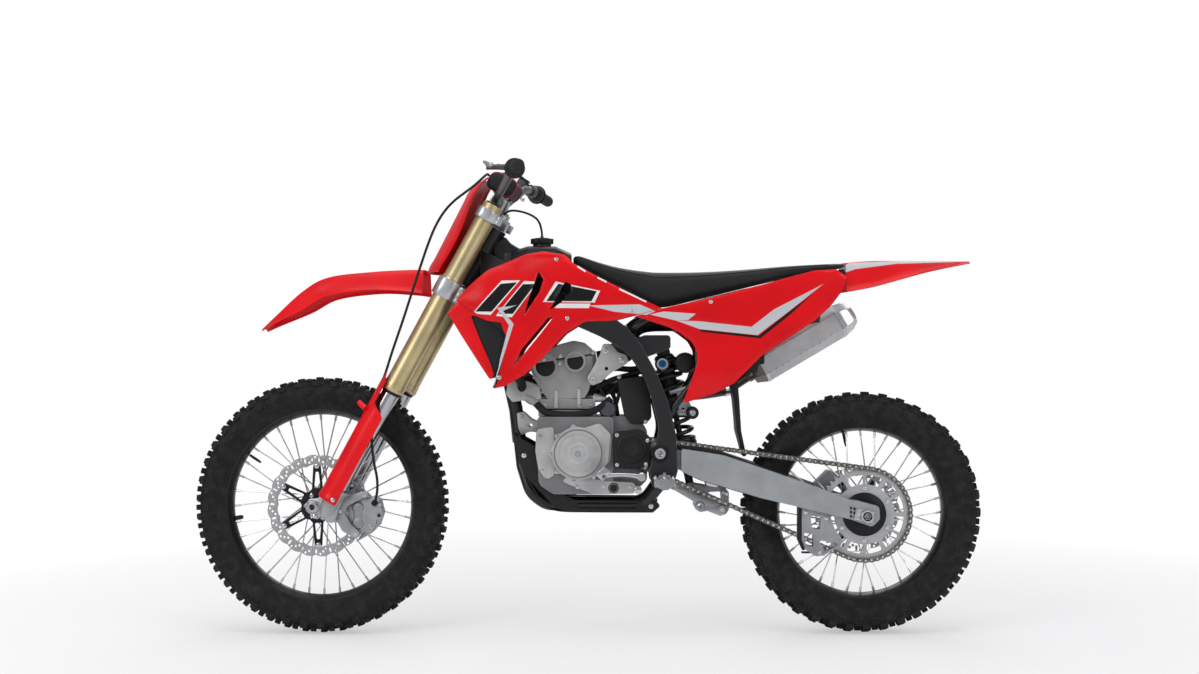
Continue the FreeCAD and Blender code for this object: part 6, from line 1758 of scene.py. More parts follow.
def dress_front_brake():
    slot = [(-FORK_OFFSET + 144 * math.cos(t), 144 * math.sin(t)) for t in np.linspace(-0.25, 0.75, 14)]
    outer = side_cut(CALIPER, [], -84, -70, 3.0)
    inner = side_cut(CALIPER, [], -57, -44, 2.5)
    bridge = side_cut([tuple(p) for p in slot] + [(112, 74, 10), (118, 40, 12), (108, 6, 12)],
                      [], -74, -54, 1.5)
    pots = [flat_turned([(0.1, -89.5), (11, -89.5), (13.2, -88.4), (14.2, -86), (17.6, -84), (19, -82),
                         (19, -78), (0.1, -78)], (b, a), 40)
            for b, a in ((46, 52), (66, 16))]
    web = limb([(46, -84, 52), (56, -84.5, 34), (66, -84, 16)], [(14, 4), (12, 4), (14, 4)], 12)
    on_fork("front_caliper_cast", joined(outer, inner, bridge, web, *pots), CAST_SILVER, "front_caliper",
            round_over=38)
    arms = side_cut(CALIPER_ARMS, [], -97.5, -86, 2.5)
    ears = [flat_turned([(0.1, -98.8), (8, -98.8), (9.4, -97.4), (9.4, -86), (0.1, -86)], (b, a), 24)
            for b, a in ((46, 93), (76, -12))]
    on_fork("front_caliper_bracket", joined(arms, *ears), CAST_SILVER, "front_caliper", round_over=38)
    pins = joined(bolts([(46, -98.8, 93), (76, -98.8, -12), (8, -97.6, 22)], (0, -1, 0), 4.6, 4.0),
                  bolts([(92, -84, 88), (100, -84, 24)], (0, -1, 0), 4.0, 5.0))
    on_fork("front_caliper_pins", pins, BRIGHT)
    nipple = flat_turned([(0.1, -100), (3.2, -100), (3.2, -94), (4.4, -93), (4.4, -84), (0.1, -84)],
                         (106, 62), 12)
    union = flat_turned([(0.1, -96), (7.5, -96), (7.5, -92), (9, -91), (9, -84), (0.1, -84)], (79.1, 85.2), 6)
    on_fork("front_caliper_unions", joined(nipple, union), BLACK_HUB)
    held_hose("front_brake_hose", from_fork(BRAKE_HOSE), 3.5, HOSE_RUBBER, "steering", "brake_hose")
    held_hose("tank_vent_hose", VENT_HOSE, 3.0, HOSE_RUBBER, BODY_OF["vent_hose"], "vent_hose")


dress_fork()
dress_front_axle()
dress_clamps()
dress_bars()
dress_bar_pad()
dress_front_brake()


# Engine and what holds it

MAGNETO = (702.0, 494.0)
CLUTCH = (800.0, 482.0)
WATER_PUMP = (668, 446)
CASE_SCREWS = [0.35, 1.15, 1.75, 2.45, 3.15, 3.85, 4.55, 5.3]
FRONT_CAM = (613, 727)
REAR_CAM = (694, 741)
HEAD_STUDS = ((642, 652), (704, 656))
SEAM_SLOPE = math.radians(8.6)
HEAD_CASTING = [(572, 722, 12), (582, 694, 12), (612, 648, 10), (622, 636, 6), (719, 641, 6), (730, 660, 14),
                (740, 694, 10), (744, 760, 8), (590, 738, 6)]
HEAD_COVER = [(584, 738, 8), (590, 752, 14), (646, 786, 16), (688, 797, 20), (718, 791, 16), (738, 774, 12),
              (745, 760, 6)]


def case_rim():
    """The case's joint face: a circle round the magneto that swells at each of its screws."""
    t = np.linspace(0, 2 * math.pi, 120, endpoint=False)
    swell = sum(np.exp(-(np.angle(np.exp(1j * (t - a))) / 0.10) ** 2) for a in CASE_SCREWS)
    return polar(71 + 9 * swell, t) + MAGNETO


def dress_cases():
    dressed("crankcase", CASE_SHADE, bevel=2.0)
    cover = joined(cut_plate(case_rim(), [], -92, -70, 2.0),
                   flat_turned([(0.1, -108.4), (7, -108.4), (8, -110.2), (14, -110.2), (15.5, -108.2),
                                (23, -108.2), (24, -109.8), (27, -109.8), (28.5, -108.2), (45, -108.2),
                                (48, -106.5), (49, -103.4), (58, -103.4), (63, -101.5), (66.8, -97),
                                (67, -90), (0.1, -90)], MAGNETO, 72),
                   side_cut([(690, 548, 10), (716, 562, 10), (760, 576, 12), (790, 546, 12), (784, 470, 14),
                             (744, 430, 14), (700, 440, 20), (680, 494, 20)], [], -97.5, -80, 3.0),
                   side_cut([(590, 560, 14), (636, 566, 8), (642, 500, 10), (640, 436, 14), (616, 420, 18),
                             (594, 452, 24), (586, 500, 24)], [], -90, -60, 6.0),
                   side_cut([(652, 420, 12), (742, 384, 12), (850, 386, 10), (864, 400, 10), (850, 416, 10),
                             (770, 420, 14), (690, 440, 20)], [], -90, -60, 4.0))
    on_chassis("engine_left_covers", cover, CAST_LIGHT, "crankcase")
    plug = flat_turned([(0.1, -111.6), (6.4, -111.6), (7.2, -110.6), (7.2, -104), (0.1, -104)], MAGNETO, 32)
    on_chassis("magneto_plug", plug, MACHINED)
    screws = joined(side_bolts(polar(76, CASE_SCREWS) + MAGNETO, -92, 4.2, 4.0),
                    side_bolts([(600, 540), (606, 448), (770, 406), (842, 404), (700, 404)], -90, 4.2, 4.0),
                    side_bolts([(862, 396)], -88, 9, 6))
    on_chassis("engine_screws_left", screws, BRIGHT)
    plug = joined(flat_turned([(0.1, -93.5), (8, -93.5), (10, -92), (10, -88), (0.1, -88)], (797, 401), 24),
                  flat_turned([(12, -91.5), (14, -91.5), (15, -88), (12, -88), (12, -91.5)],
                              (797, 401), 24))
    on_chassis("oil_plug", plug, BLACK_PLASTIC)
    right = joined(flat_turned([(0.1, 118.5), (20, 118.5), (22, 116.2), (60, 116.2), (65, 114), (66, 111.4),
                                (78, 111.2), (85, 107), (87, 98), (87, 84), (0.1, 84)], CLUTCH, 72),
                   flat_turned([(0.1, 120), (14, 120), (22, 117), (30, 112), (34, 104), (34, 84),
                                (0.1, 84)], WATER_PUMP, 48),
                   side_cut([(604, 590, 20), (596, 500, 30), (606, 414, 20), (640, 392, 20), (740, 392, 30),
                             (720, 470, 40), (732, 560, 30), (700, 592, 20)], [], 80, 96, 4.0))
    on_chassis("engine_right_covers", right, CAST_LIGHT, "crankcase")
    turns = np.linspace(0, 2 * math.pi, 7, endpoint=False) + 0.3
    screws = joined(side_bolts(polar(73, turns) + CLUTCH, 111.2),
                    side_bolts(polar(27, turns[::2]) + WATER_PUMP, 113, 3.6, 4),
                    side_bolts([(620, 576), (612, 430), (700, 404), (706, 580)], 96))
    on_chassis("engine_screws_right", screws, BRIGHT)
    drive = joined(flat_turned([(0.1, -74), (19, -74), (19, -66), (24, -60), (24, -30), (0.1, -30)],
                               (781, 612), 36),
                   flat_turned([(0.1, -78), (8, -78), (9, -76), (9, -73), (0.1, -73)], (779, 604), 24))
    on_chassis("starter_motor", drive, DARK_CASE)


def cap_above_seam(at, r, lift):
    """The part of a round cam cap above the cover's seam, which climbs towards the rear."""
    half = math.acos(lift / r)
    return polar(r, SEAM_SLOPE + math.pi / 2 + np.linspace(-half, half, 24)) + at


LOOM = (([(750, -40, 668), (786, -44, 690), (830, -42, 702), (884, -40, 716)], 7),
        ([(752, -30, 640), (790, -34, 656), (812, -36, 688), (866, -36, 704)], 5),
        ([(764, -40, 622), (800, -42, 612), (812, -42, 645), (820, -40, 700)], 5),
        ([(748, -46, 690), (772, -48, 650), (788, -46, 606), (802, -42, 575)], 4.5),
        ([(770, -24, 690), (800, -24, 650), (806, -26, 610), (812, -26, 570)], 6),
        ([(756, -20, 720), (800, -24, 724), (850, -24, 716), (890, -24, 726)], 8))


def dress_loom():
    """The wiring and breather hoses bundled behind the cylinder."""
    runs = [limb(points, [(r, r)] * len(points), 30, 12) for points, r in LOOM]
    on_chassis("engine_loom", joined(*runs), INK_RUBBER, round_over=40)


def dress_top_end():
    head = joined(side_cut(HEAD_CASTING, [], -64, 64, 5.0),
                  side_cut([(598, 640, 4), (748, 640, 4), (748, 612, 5), (598, 612, 5)], [], -62, 62, 3.0),
                  side_cut([(594, 609, 4), (752, 609, 4), (752, 592.4, 4), (594, 592.4, 4)],
                           [], -64, 64, 1.6))
    on_chassis("cylinder_head_casting", head, CAST_ALLOY, "cylinder_head", "cylinder")
    cover = side_cut(HEAD_COVER, [], -66, 66, 6.0)
    arches = [flat_turned([(r - 6, -64), (r - 5.5, -68.5), (r, -69.5), (r + 2, -68), (r + 3, -64),
                           (r - 6, -64)], at, 64)
              for at, r in ((FRONT_CAM, 32), (REAR_CAM, 28))]
    on_chassis("cylinder_head_cover", joined(cover, *arches), CAST_ALLOY, "cylinder_head")
    seam = np.array([(578, -66.5, 735.5), (640, -66.8, 745), (700, -66.8, 754), (747, -66.5, 761)])
    on_chassis("cover_gasket", both(tube(seam, 1.3, 8)), INK_RUBBER, round_over=40)
    plugs = [flat_turned([(0.1, -66.8), (r - 3, -66.8), (r - 1, -66), (r, -64), (r, -60), (0.1, -60)],
                         at, 48)
             for at, r in ((FRONT_CAM, 26), (REAR_CAM, 22.5))]
    on_chassis("cam_plugs", both(joined(*plugs)), INK_RUBBER, "cylinder_head")
    caps = [cut_plate(cap_above_seam(at, r, lift), [], -68.2, -64, 0.5)
            for at, r, lift in ((FRONT_CAM, 27.5, 13), (REAR_CAM, 24, 11.5))]
    on_chassis("cam_cap_halves", both(joined(*caps)), CAST_ALLOY, "cylinder_head")
    pillars = [limb([(x, -62, z - 30), (x, -63.5, z - 8), (x, -62, z + 10)],
                    [(6.5, 6.5), (7, 7), (5.5, 5.5)], 10)
               for x, z in HEAD_STUDS]
    lugs = [side_cut([(598, 676, 6), (556, 690, 10), (512, 688, 8), (506, 652, 10), (524, 630, 10),
                      (556, 636, 8), (604, 632, 4)], [], -58, -24, 5.0),
            limb([(556, -46, 648), (576, -50, 640), (592, -60, 624)], [(14, 14), (12, 12), (10.5, 10.5)],
                 12),
            limb([(744, -50, 642), (762, -52, 640), (782, -52, 636)], [(12, 14), (9, 10), (6, 6)], 12)]
    on_chassis("water_and_stud_bosses", joined(*pillars, *lugs), CAST_LIGHT, "cylinder", round_over=38)
    studs = joined(bolts([(x, -62, z + 10) for x, z in HEAD_STUDS], (0, 0, 1), 4.2, 5),
                   side_bolts([(642, 622), (704, 622), (612, 624), (736, 624)], -62, 4.6, 5),
                   side_bolts([(610, 748), (654, 756), (742, 765), (652, 736)], -68, 4.4, 4.5),
                   side_bolts([(610, 748), (654, 756), (742, 765)], 68, 4.4, 4.5),
                   side_bolts([(640, 622), (708, 622)], 62, 4.6, 5))
    on_chassis("top_end_bolts", studs, BRIGHT)
    pipe = limb([(590, -62, 626), (604, -72, 606), (640, -76, 598), (700, -76, 598), (752, -74, 606),
                 (790, -60, 640)],
                [(10, 10)] + [(9, 9)] * 5, 48)
    on_chassis("coolant_pipe", pipe, INK_RUBBER, round_over=40)
    stubs = [turned([(0.1, -26), (27, -26), (27, -6), (24, -4), (24, 0), (0.1, 0)], (752.3, 0, 744),
                    (0.986, 0, 0.165), 40),
             turned([(0.1, -30), (26, -30), (26, -8), (31, -7), (31, -0.5), (0.1, -0.5)], (571.5, 0, 718.8),
                    (-0.6287, 0.0811, -0.7734), 40)]
    on_chassis("port_flanges", joined(*stubs), CAST_LIGHT, "cylinder_head")


def dress_engine_mounts():
    hanger = side_cut([(726, 696, 10), (738, 675, 10), (764, 686, 12), (792, 712, 40), (838, 738, 12),
                       (832, 758, 10), (808, 766, 16), (792, 788, 10), (768, 788, 10), (762, 762, 40),
                       (744, 728, 20)],
                      [ring(5, 16, (778, 722))], -92.5, -85, 1.2)
    front = side_cut([(534, 600, 6), (552, 603, 8), (578, 580, 30), (602, 575, 10), (614, 560, 10),
                      (606, 544, 8), (570, 550, 30), (546, 539, 6), (538, 560, 20)],
                     [ring(5, 16, (572, 566))], -27.5, -20, 1.2)
    boss = flat_turned([(0.1, -85), (11, -85), (11, -64), (0.1, -64)], (742, 698), 24)
    on_chassis("engine_mount_plates", both(joined(hanger, front, boss)), PLATE_GREY, "engine_mounts")
    heads = joined(side_bolts([(776, 772), (818, 746), (742, 692)], -92.5, 7.0, 6.0),
                   side_bolts([(546, 590), (602, 560)], -27.5, 6.0, 5.0))
    on_chassis("engine_mount_bolts", both(heads), BRIGHT)


def dress_sprocket_cover():
    at = (845, 508)
    cover = joined(side_cut([(797, 552, 10), (866, 560, 24), (896, 540, 24), (898, 470, 24), (866, 452, 14),
                             (797, 456, 10)], [], -98, -85, 3.0),
                   flat_turned([(0.1, -101), (14, -101), (16, -102), (36, -102), (40, -100.5), (42, -97),
                                (0.1, -97)], at, 64),
                   *[flat_turned([(r, -102), (r + 1, -103.2), (r + 2, -102), (r, -102)], at, 64)
                     for r in (20, 26, 32)])
    on_chassis("sprocket_cover_moulded", cover, BLACK_PLASTIC, "sprocket_cover")
    on_chassis("sprocket_cover_screws",
               side_bolts([(806, 544), (806, 464), (888, 530), (884, 466)], -98, 4.4, 3.6), BRIGHT)
    teeth, faces = cut_plate(toothed_outline(SMALL_TEETH, 35, 27.5), [ring(12.1, 24)], -75.7, -70.3, 0.4)
    on_chassis("front_sprocket_steel", (teeth + (COUNTERSHAFT[0], 0, COUNTERSHAFT[1]), faces), CHAIN_STEEL,
               "front_sprocket", round_over=30)


def dress_gear_lever_and_pegs():
    lever = joined(limb([(872, -62, 434), (872, -90, 434), (872, -118, 434)], [(6.5, 6.5)] * 3, 8),
                   flat_turned([(0.1, -130), (9, -130), (11.5, -128), (11.5, -112), (9, -110), (0.1, -110)],
                               (872, 434), 28),
                   limb([(868, -120, 434), (840, -122, 439), (806, -125, 440), (776, -129, 438)],
                        [(7.5, 5), (5.5, 4.5), (5.5, 4.5), (7, 5)], 24),
                   side_cut([(748, 441, 4), (772, 464, 4), (790, 449, 4), (768, 424, 4)],
                            [ring(4.5, 16, (771, 438))], -150, -126, 1.5))
    brake = joined(limb([(905, 118.5, 436), (905, 146, 436), (850, 146, 414), (772, 138, 420),
                         (738, 160, 424)],
                        [(9, 7), (7, 7), (8, 5.5), (7, 5.5), (7, 7)], 40),
                   side_cut([(722, 418, 4), (722, 430, 4), (756, 430, 4), (756, 418, 4)],
                            [], 146, 172, 1.5))
    on_chassis("gear_lever_and_brake_pedal", joined(lever, brake), MACHINED, "foot_controls", round_over=38)
    saw = [(902 + 6 * k, 432 + (8 if k % 2 else 0)) for k in range(10)]
    saw += [(957, 424), (940, 408), (926, 406), (908, 416)]
    end, inner = cut_plate(saw, [], -217, -212, 0.6), cut_plate(saw, [], -144, -138, 0.6)
    teeth = [(-216 + 6.5 * k, 424 + (12 if k % 2 else 2)) for k in range(12)]
    rail = cut_plate(teeth + [(-144.5, 414), (-216, 414)], [], -2.5, 2.5, 0.5)
    rails = [(rail[0][:, [1, 0, 2]] + (x, 0, 0), rail[1]) for x in (906, 930, 954)]
    hinge = joined(side_cut([(916, 440, 6), (948, 440, 6), (950, 410, 6), (918, 408, 6)],
                            [], -138, -119, 2.0),
                   turned([(0.1, 404), (5, 404), (5, 446), (0.1, 446)], (932, -131, 0), (0, 0, 1), 16))
    on_chassis("footpegs_toothed", both(joined(end, inner, hinge, *rails)), CAST_SILVER, "foot_controls")


def dress_frame():
    dressed("main_frame", FRAME_BLACK, 30, 2.5)
    dressed("subframe", FRAME_BLACK, 40)
    head = joined(side_cut([(470, 1062, 6), (503, 1080, 6), (518, 1062, 24), (552, 1042, 40),
                            (600, 1026, 10), (600, 960, 10), (470, 980, 10)], [], -24, 24, 5.0),
                  side_cut([(500, 1040, 10), (552, 1024, 40), (640, 985, 20), (640, 930, 20),
                            (500, 990, 10)], [], -44, 44, 5.0))
    on_chassis("head_casting", head, FRAME_BLACK)
    y = -118.2
    collar = flat_turned([(9, y), (24, y), (22, y - 2), (22, y - 5), (9, y - 5), (9, y)], PIVOT, 48)
    on_chassis("pivot_collars", both(collar), BLACK_HUB)
    shaft = flat_turned([(6, -121), (14, -121), (15, -123), (15, -128), (13.5, -130), (8, -130), (6, -127),
                         (6, -121)], PIVOT, 40)
    on_chassis("pivot_shaft_ends", both(shaft), BRIGHT, "pivot_shaft")
    on_chassis("pivot_shaft_bar",
               flat_turned([(5, -127), (10, -127), (10, 127), (5, 127), (5, -127)], PIVOT, 32),
               BRIGHT, "pivot_shaft")
    battery = side_cut([(806, 694, 8), (880, 700, 10), (898, 640, 20), (900, 590, 14), (884, 572, 12),
                        (842, 574, 12), (826, 596, 14)], [], -74, 40, 4.0)
    on_chassis("battery_box", battery, BLACK_PLASTIC)
    on_chassis("battery_box_screws", side_bolts([(812, 700), (884, 578)], -74, 4.5, 4.0), BRIGHT)


SKID_SIDE = [(528, 545, 4), (541, 473, 30), (560, 432, 30), (598, 392, 30), (640, 346, 30), (684, 335, 20),
             (904, 335, 6), (924, 352, 8), (912, 366, 6), (694, 368, 20), (650, 388, 30), (622, 424, 24),
             (610, 470, 24), (588, 512, 8)]
SKID_BELLY = [(529, 545), (540, 474), (558, 434), (580, 398), (604, 356), (636, 337), (700, 333.8),
              (904, 333.8)]


def dress_skid_plate():
    wings = side_cut(SKID_SIDE,
                     [ring(6, 20, (604, 414)),
                      rounded([(700, 361, 5), (860, 360, 5), (860, 346, 5), (700, 347, 5)], 4)],
                     -80, -76.5, 1.2)
    line = smooth_line([(x, 0, z) for x, z in SKID_BELLY], 48)
    across = np.linspace(-77, 77, 25)
    pressed = 1.6 * np.cos(across / 77 * 3 * math.pi)[None, :, None] * np.array([0, 0, 1.0])
    top = line[:, None] + across[None, :, None] * np.array([0, 1.0, 0]) + np.maximum(pressed, 0)
    belly = shell_of(top, -3.0)
    on_chassis("skid_plate_moulded", joined(both(wings), belly), BLACK_PLASTIC, "skid_plate", round_over=40)
    on_chassis("skid_plate_bolts", both(side_bolts([(556, 488), (898, 351)], -80, 5.5, 4.0)), BRIGHT)


dress_cases()
dress_top_end()
dress_loom()
dress_engine_mounts()
dress_sprocket_cover()
dress_gear_lever_and_pegs()
dress_frame()
dress_skid_plate()


# Rear end, exhaust, breathing and cooling

def shock_point(length, radius=0.0, angle=0.0):
    """A place on or about the shock's axis, measured down from its top eye."""
    top, foot = np.array([932.0, 0, 772]), np.array([1008.0, 0, 398])
    way = (foot - top) / np.linalg.norm(foot - top)
    u, v = square_to(way)
    return top + way * length + radius * (math.cos(angle) * u + math.sin(angle) * v)


SHOCK_BODY = [(14, 0.1), (14, 22), (18, 26), (50, 26), (53, 33), (54, 42), (61.6, 42), (62, 30), (62, 22),
              (70, 22), (190, 22), (190, 10), (192, 8), (250, 8), (251, 24), (254, 40), (262, 42),
              (269, 42), (270, 34), (271, 14), (274, 11), (372, 11), (374, 0.1)]


def dress_shock():
    way = shock_point(1.0) - shock_point(0.0)
    body = turned([(r, d) for d, r in SHOCK_BODY], shock_point(0), way, 40)
    eye = flat_turned([(7.3, -14), (13.5, -14), (14, -12), (14, 12), (13.5, 14), (7.3, 14), (7.3, -14)],
                      (1010, 394), 32)
    bottle = flat_turned([(0.1, -56), (20, -56), (25, -54), (27, -50), (27, 14), (25, 18), (20, 20),
                          (0.1, 20)], (992, 737), 40)
    neck = tube([shock_point(26), (980, 0, 740)], 11, 20)
    top = flat_turned([(0.1, -24), (16, -24), (18, -22), (18, 22), (16, 24), (0.1, 24)], (934, 764), 28)
    on_chassis("shock_body", joined(body, eye, bottle, neck, top), SHOCK_METAL, "shock_absorber")
    rings = joined(*[turned([(26.2, d), (28, d + 1.2), (28, d + 4.2), (26.2, d + 5.4), (26.2, d)],
                            shock_point(0), way, 40)
                     for d in (20, 29, 38)],
                   flat_turned([(27.2, -46), (28.2, -45), (28.2, -41), (27.2, -40), (27.2, -46)],
                               (992, 737), 40))
    on_chassis("shock_rings", rings, DARK_CASE)
    at = (929.5, 734.5)
    knob = flat_turned([(0.1, -63), (3, -63), (4, -62), (9, -62), (10, -61), (10, -56), (0.1, -56)], at, 32)
    collar = flat_turned([(10.2, -61), (15, -61), (16.5, -59.5), (16.5, -50), (20, -46), (20, -30),
                          (10.2, -30), (10.2, -61)], at, 40)
    on_chassis("shock_adjuster_collar", collar, MACHINED)
    on_chassis("shock_adjuster", knob, ADJUSTER_BLUE)
    turns, per = 7, 36
    t = np.arange(turns * per + 1) / per
    pitch = np.interp(t, [0, 0.8, turns - 0.8, turns], [68.3, 76, 248, 255.7])
    wire = np.array([shock_point(d, 36, 2 * math.pi * a) for d, a in zip(pitch, t)])
    on_chassis("shock_spring_coil", tube(wire, 5.9, 14), SPRING_PAINT, "shock_spring", round_over=60)


def arm_line(x, top):
    """Height of the swingarm's upper or lower edge at x."""
    if top:
        return np.interp(x, [978, 1090, 1240, 1350, 1430, 1506], [509, 491, 441, 402, 371, 354])
    return np.interp(x, [978, 1030, 1190, 1430, 1487], [448, 425, 377, 320, 300])


def dress_swingarm():
    dressed("swingarm", ARM_GREY, 35, 2.2)
    x = np.linspace(968, 1262, 40)
    rise = 3.5 + 7.0 * np.exp(-((x - 1040) / 60.0) ** 2)
    upper = np.column_stack([x, 0 * x, arm_line(x, True) + rise])
    lower = np.column_stack([x, 0 * x, arm_line(x, True) - 5.0])
    outline = np.concatenate([upper[:, [0, 2]], lower[::-1][:, [0, 2]]])
    slider = cut_plate(outline, [], -92, -62, 1.5)
    x = np.linspace(984, 1196, 30)
    outline = np.concatenate([np.column_stack([x, arm_line(x, False) + 5]),
                              np.column_stack([x, arm_line(x, False) - 3.5])[::-1]])
    below = cut_plate(outline, [], -92, -64, 1.2)
    on_chassis("chain_slider", joined(slider, below), BLACK_PLASTIC)
    block = side_cut([(1444, 352, 4), (1494, 340, 4), (1487, 309, 4), (1437, 321, 4)],
                     [ring(13, 32, REAR_AXLE)], -122.5, -117, 1.4)
    marks = joined(*[box((1428 + 9 * k, 1433 + 9 * k), (-119.4, -117.5), (z - 2 * k, z - 2 * k + 7))
                     for k in range(2) for z in (325, 336, 347)])
    on_chassis("axle_blocks", both(block), MACHINED)
    on_chassis("axle_block_marks", both(marks), INK_RUBBER, round_over=30)
    nut = flat_turned([(9, -121), (20, -121), (20, -131), (18.5, -133), (9, -133), (9, -121)], REAR_AXLE, 6)
    end = flat_turned([(9, -126), (12.4, -126), (12.4, -134), (9, -134), (9, -126)], REAR_AXLE, 32)
    on_chassis("rear_axle_nut", joined(nut, end), BRIGHT)
    caps = joined(flat_turned([(9, 118.3), (19.4, 118.3), (19.4, 127), (17.5, 129), (9, 129), (9, 118.3)],
                              REAR_AXLE, 40),
                  flat_turned([(9, -134), (12.4, -134), (12.4, 134), (9, 134), (9, -134)], REAR_AXLE, 32))
    on_chassis("rear_axle_shaft", caps, BRIGHT, "rear_axle")


def dress_chain_guide():
    outline = [(1292, 350, 6), (1330, 346, 10), (1378, 330, 10), (1392, 290, 16), (1412, 262, 10),
               (1408, 246, 6), (1366, 222, 6), (1340, 218, 6), (1306, 240, 10), (1294, 262, 10)]
    holes = [rounded([(1308, 281, 4), (1334, 276, 4), (1334, 243, 4), (1314, 248, 4)], 4),
             rounded([(1350, 260, 4), (1400, 253, 4), (1398, 245, 3), (1362, 230, 4)], 4),
             rounded([(1327, 326, 5), (1355, 323, 5), (1352, 290, 5), (1330, 293, 5)], 4)]
    outer = side_cut(outline, holes, -87.7, -84.2, 1.0)
    inner = side_cut(outline, holes, -62, -59, 1.0)
    tie = side_cut([(1340, 217, 2), (1366, 219, 2), (1368, 226, 2), (1334, 224, 2)], [], -85, -61, 0.8)
    on_chassis("chain_guide_plates", joined(outer, inner, tie), CAST_SILVER, "chain_guide")
    bare_and_highlit_edge = joined(side_cut([(1293, 348, 3), (1303, 347, 3), (1303, 262, 3), (1312, 236, 4), (1306, 232, 3),
                           (1292, 262, 3)], [], -88.6, -58.4, 1.2),
                 box((1304, 1350), (-84, -62), (225, 228)))
    on_chassis("chain_guide_block", bare_and_highlit_edge, BLACK_PLASTIC)
    on_chassis("chain_guide_bolts", side_bolts([(1313, 336), (1368, 320), (1350, 228)], -87.7, 4.6, 3.5),
               BRIGHT)
    roller = flat_turned([(8, -88), (15, -88), (17, -85), (17, -64), (15, -61), (8, -61), (8, -88)],
                         (1009.5, 603), 36)
    on_chassis("chain_roller", roller, BLACK_PLASTIC)
    hub = joined(flat_turned([(0.1, -91), (5, -91), (8, -89), (8, -60), (0.1, -60)], (1009.5, 603), 24),
                 side_cut([(968, 664, 6), (984, 668, 6), (1012, 612, 8), (1004, 594, 8), (974, 596, 8)],
                          [ring(5, 16, (985, 612))], -60, -56, 1.0),
                 limb([(950, -58, 656), (972, -60, 662), (1000, -60, 670)], [(6, 6), (6, 6), (7, 7)], 12),
                 side_bolts([(978, 604)], -60, 7, 6))
    on_chassis("roller_bracket", hub, CAST_SILVER)


def dress_linkage():
    rocker = side_cut([(996, 414, 12), (1024, 406, 16), (1056, 400, 30), (1096, 404, 12), (1112, 384, 10),
                       (1112, 330, 14), (1086, 322, 14), (1062, 356, 30), (1030, 372, 30), (998, 382, 12)],
                      [ring(8, 20, (1010, 394)),
                       rounded([(1050, 384, 6), (1090, 386, 6), (1094, 352, 6), (1070, 362, 8)], 4)],
                      16, 26, 1.6)
    pull = side_cut([(946, 400, 12), (962, 418, 12), (1026, 380, 40), (1100, 347, 14), (1110, 328, 12),
                     (1088, 320, 14), (1052, 334, 8), (1032, 330, 14), (1016, 342, 14), (1018, 358, 14)],
                    [ring(6, 20, (1032, 347))], 28, 36, 1.6)
    collars = [flat_turned([(7.2, 36), (12, 36), (13, 38), (11, 40), (7.2, 40), (7.2, 36)], (px, pz), 24)
               for px, pz in ((1092, 338), (962, 404), (1032, 347))]
    on_chassis("shock_linkage", both(joined(rocker, pull, *collars)), CAST_SILVER, "rear_linkage")
    pins = joined(*[flat_turned([(0.1, -42), (6, -42), (7, -40), (7, 40), (6, 42), (0.1, 42)], (px, pz), 20)
                    for px, pz in ((1010, 394), (1092, 338), (962, 404))],
                  side_bolts([(1100, 382)], -36, 7, 5),
                  both(side_cut([(1046, 423.7, 2), (1084, 423.7, 2), (1082, 398, 8), (1050, 398, 8)],
                                [], 28, 38, 1.2)))
    on_chassis("linkage_pins", pins, BRIGHT)


def dress_rear_brake():
    bracket = side_cut([(1380, 372, 8), (1420, 410, 8), (1468, 374, 30), (1500, 345, 20), (1490, 300, 20),
                        (1440, 300, 20)],
                       [ring(12.8, 32, REAR_AXLE),
                        rounded([(1404, 376, 5), (1422, 392, 5), (1444, 366, 5), (1424, 346, 5)], 4)],
                       80, 87.2, 1.4)
    body = joined(side_cut([(1352, 400, 10), (1392, 440, 12), (1432, 424, 12), (1420, 392, 10),
                            (1398, 378, 10), (1372, 366, 10)], [], 71, 87, 3.0),
                  side_cut([(1352, 400, 10), (1392, 440, 12), (1432, 424, 12), (1420, 400, 10),
                            (1372, 370, 10)], [], 48, 58, 3.0),
                  side_cut([(1352, 400, 6), (1392, 440, 6), (1402, 436, 4), (1360, 390, 4)],
                           [], 56, 73, 2.0),
                  flat_turned([(0.1, 90.5), (13, 90.5), (15, 88), (15, 80), (0.1, 80)], (1392, 404), 32))
    on_chassis("rear_caliper_casting", joined(bracket, body), CAST_SILVER, "rear_caliper")
    on_chassis("rear_caliper_bolts",
               side_bolts([(1374, 386), (1414, 424), (1400, 372), (1452, 306)], 87.2, 4.6, 4), BRIGHT)


SILENCER_START = np.array([1160.0, 124, 692])
SILENCER_WAY = np.array([318.0, 2, 188]) / np.linalg.norm((318.0, 2, 188))
SILENCER_UP = np.cross(SILENCER_WAY, (0, 1.0, 0)) / np.linalg.norm(np.cross(SILENCER_WAY, (0, 1.0, 0)))


def silencer_axis(along):
    """A place on the silencer's axis, this far from its front."""
    return SILENCER_START + SILENCER_WAY * along


def six_sided(stations):
    """A closed shell through hexagons (distance, corner radius) along the silencer, flats facing sideways."""
    corner = np.radians(30 + 60 * np.arange(6))[:, None]
    hexagon = np.cos(corner) * (0, 1.0, 0) + np.sin(corner) * SILENCER_UP
    rows = np.array([silencer_axis(along) + radius * hexagon for along, radius in stations])
    return oriented(capped(sheet(rows, wrap_columns=True), 6))


def oriented(shape):
    """The shape with its faces turned to point outwards."""
    points, faces = shape
    volume = 0.0
    for face in faces:
        for k in range(1, len(face) - 1):
            volume += points[face[0]] @ np.cross(points[face[k]], points[face[k + 1]])
    return shape if volume > 0 else (points, [face[::-1] for face in faces])


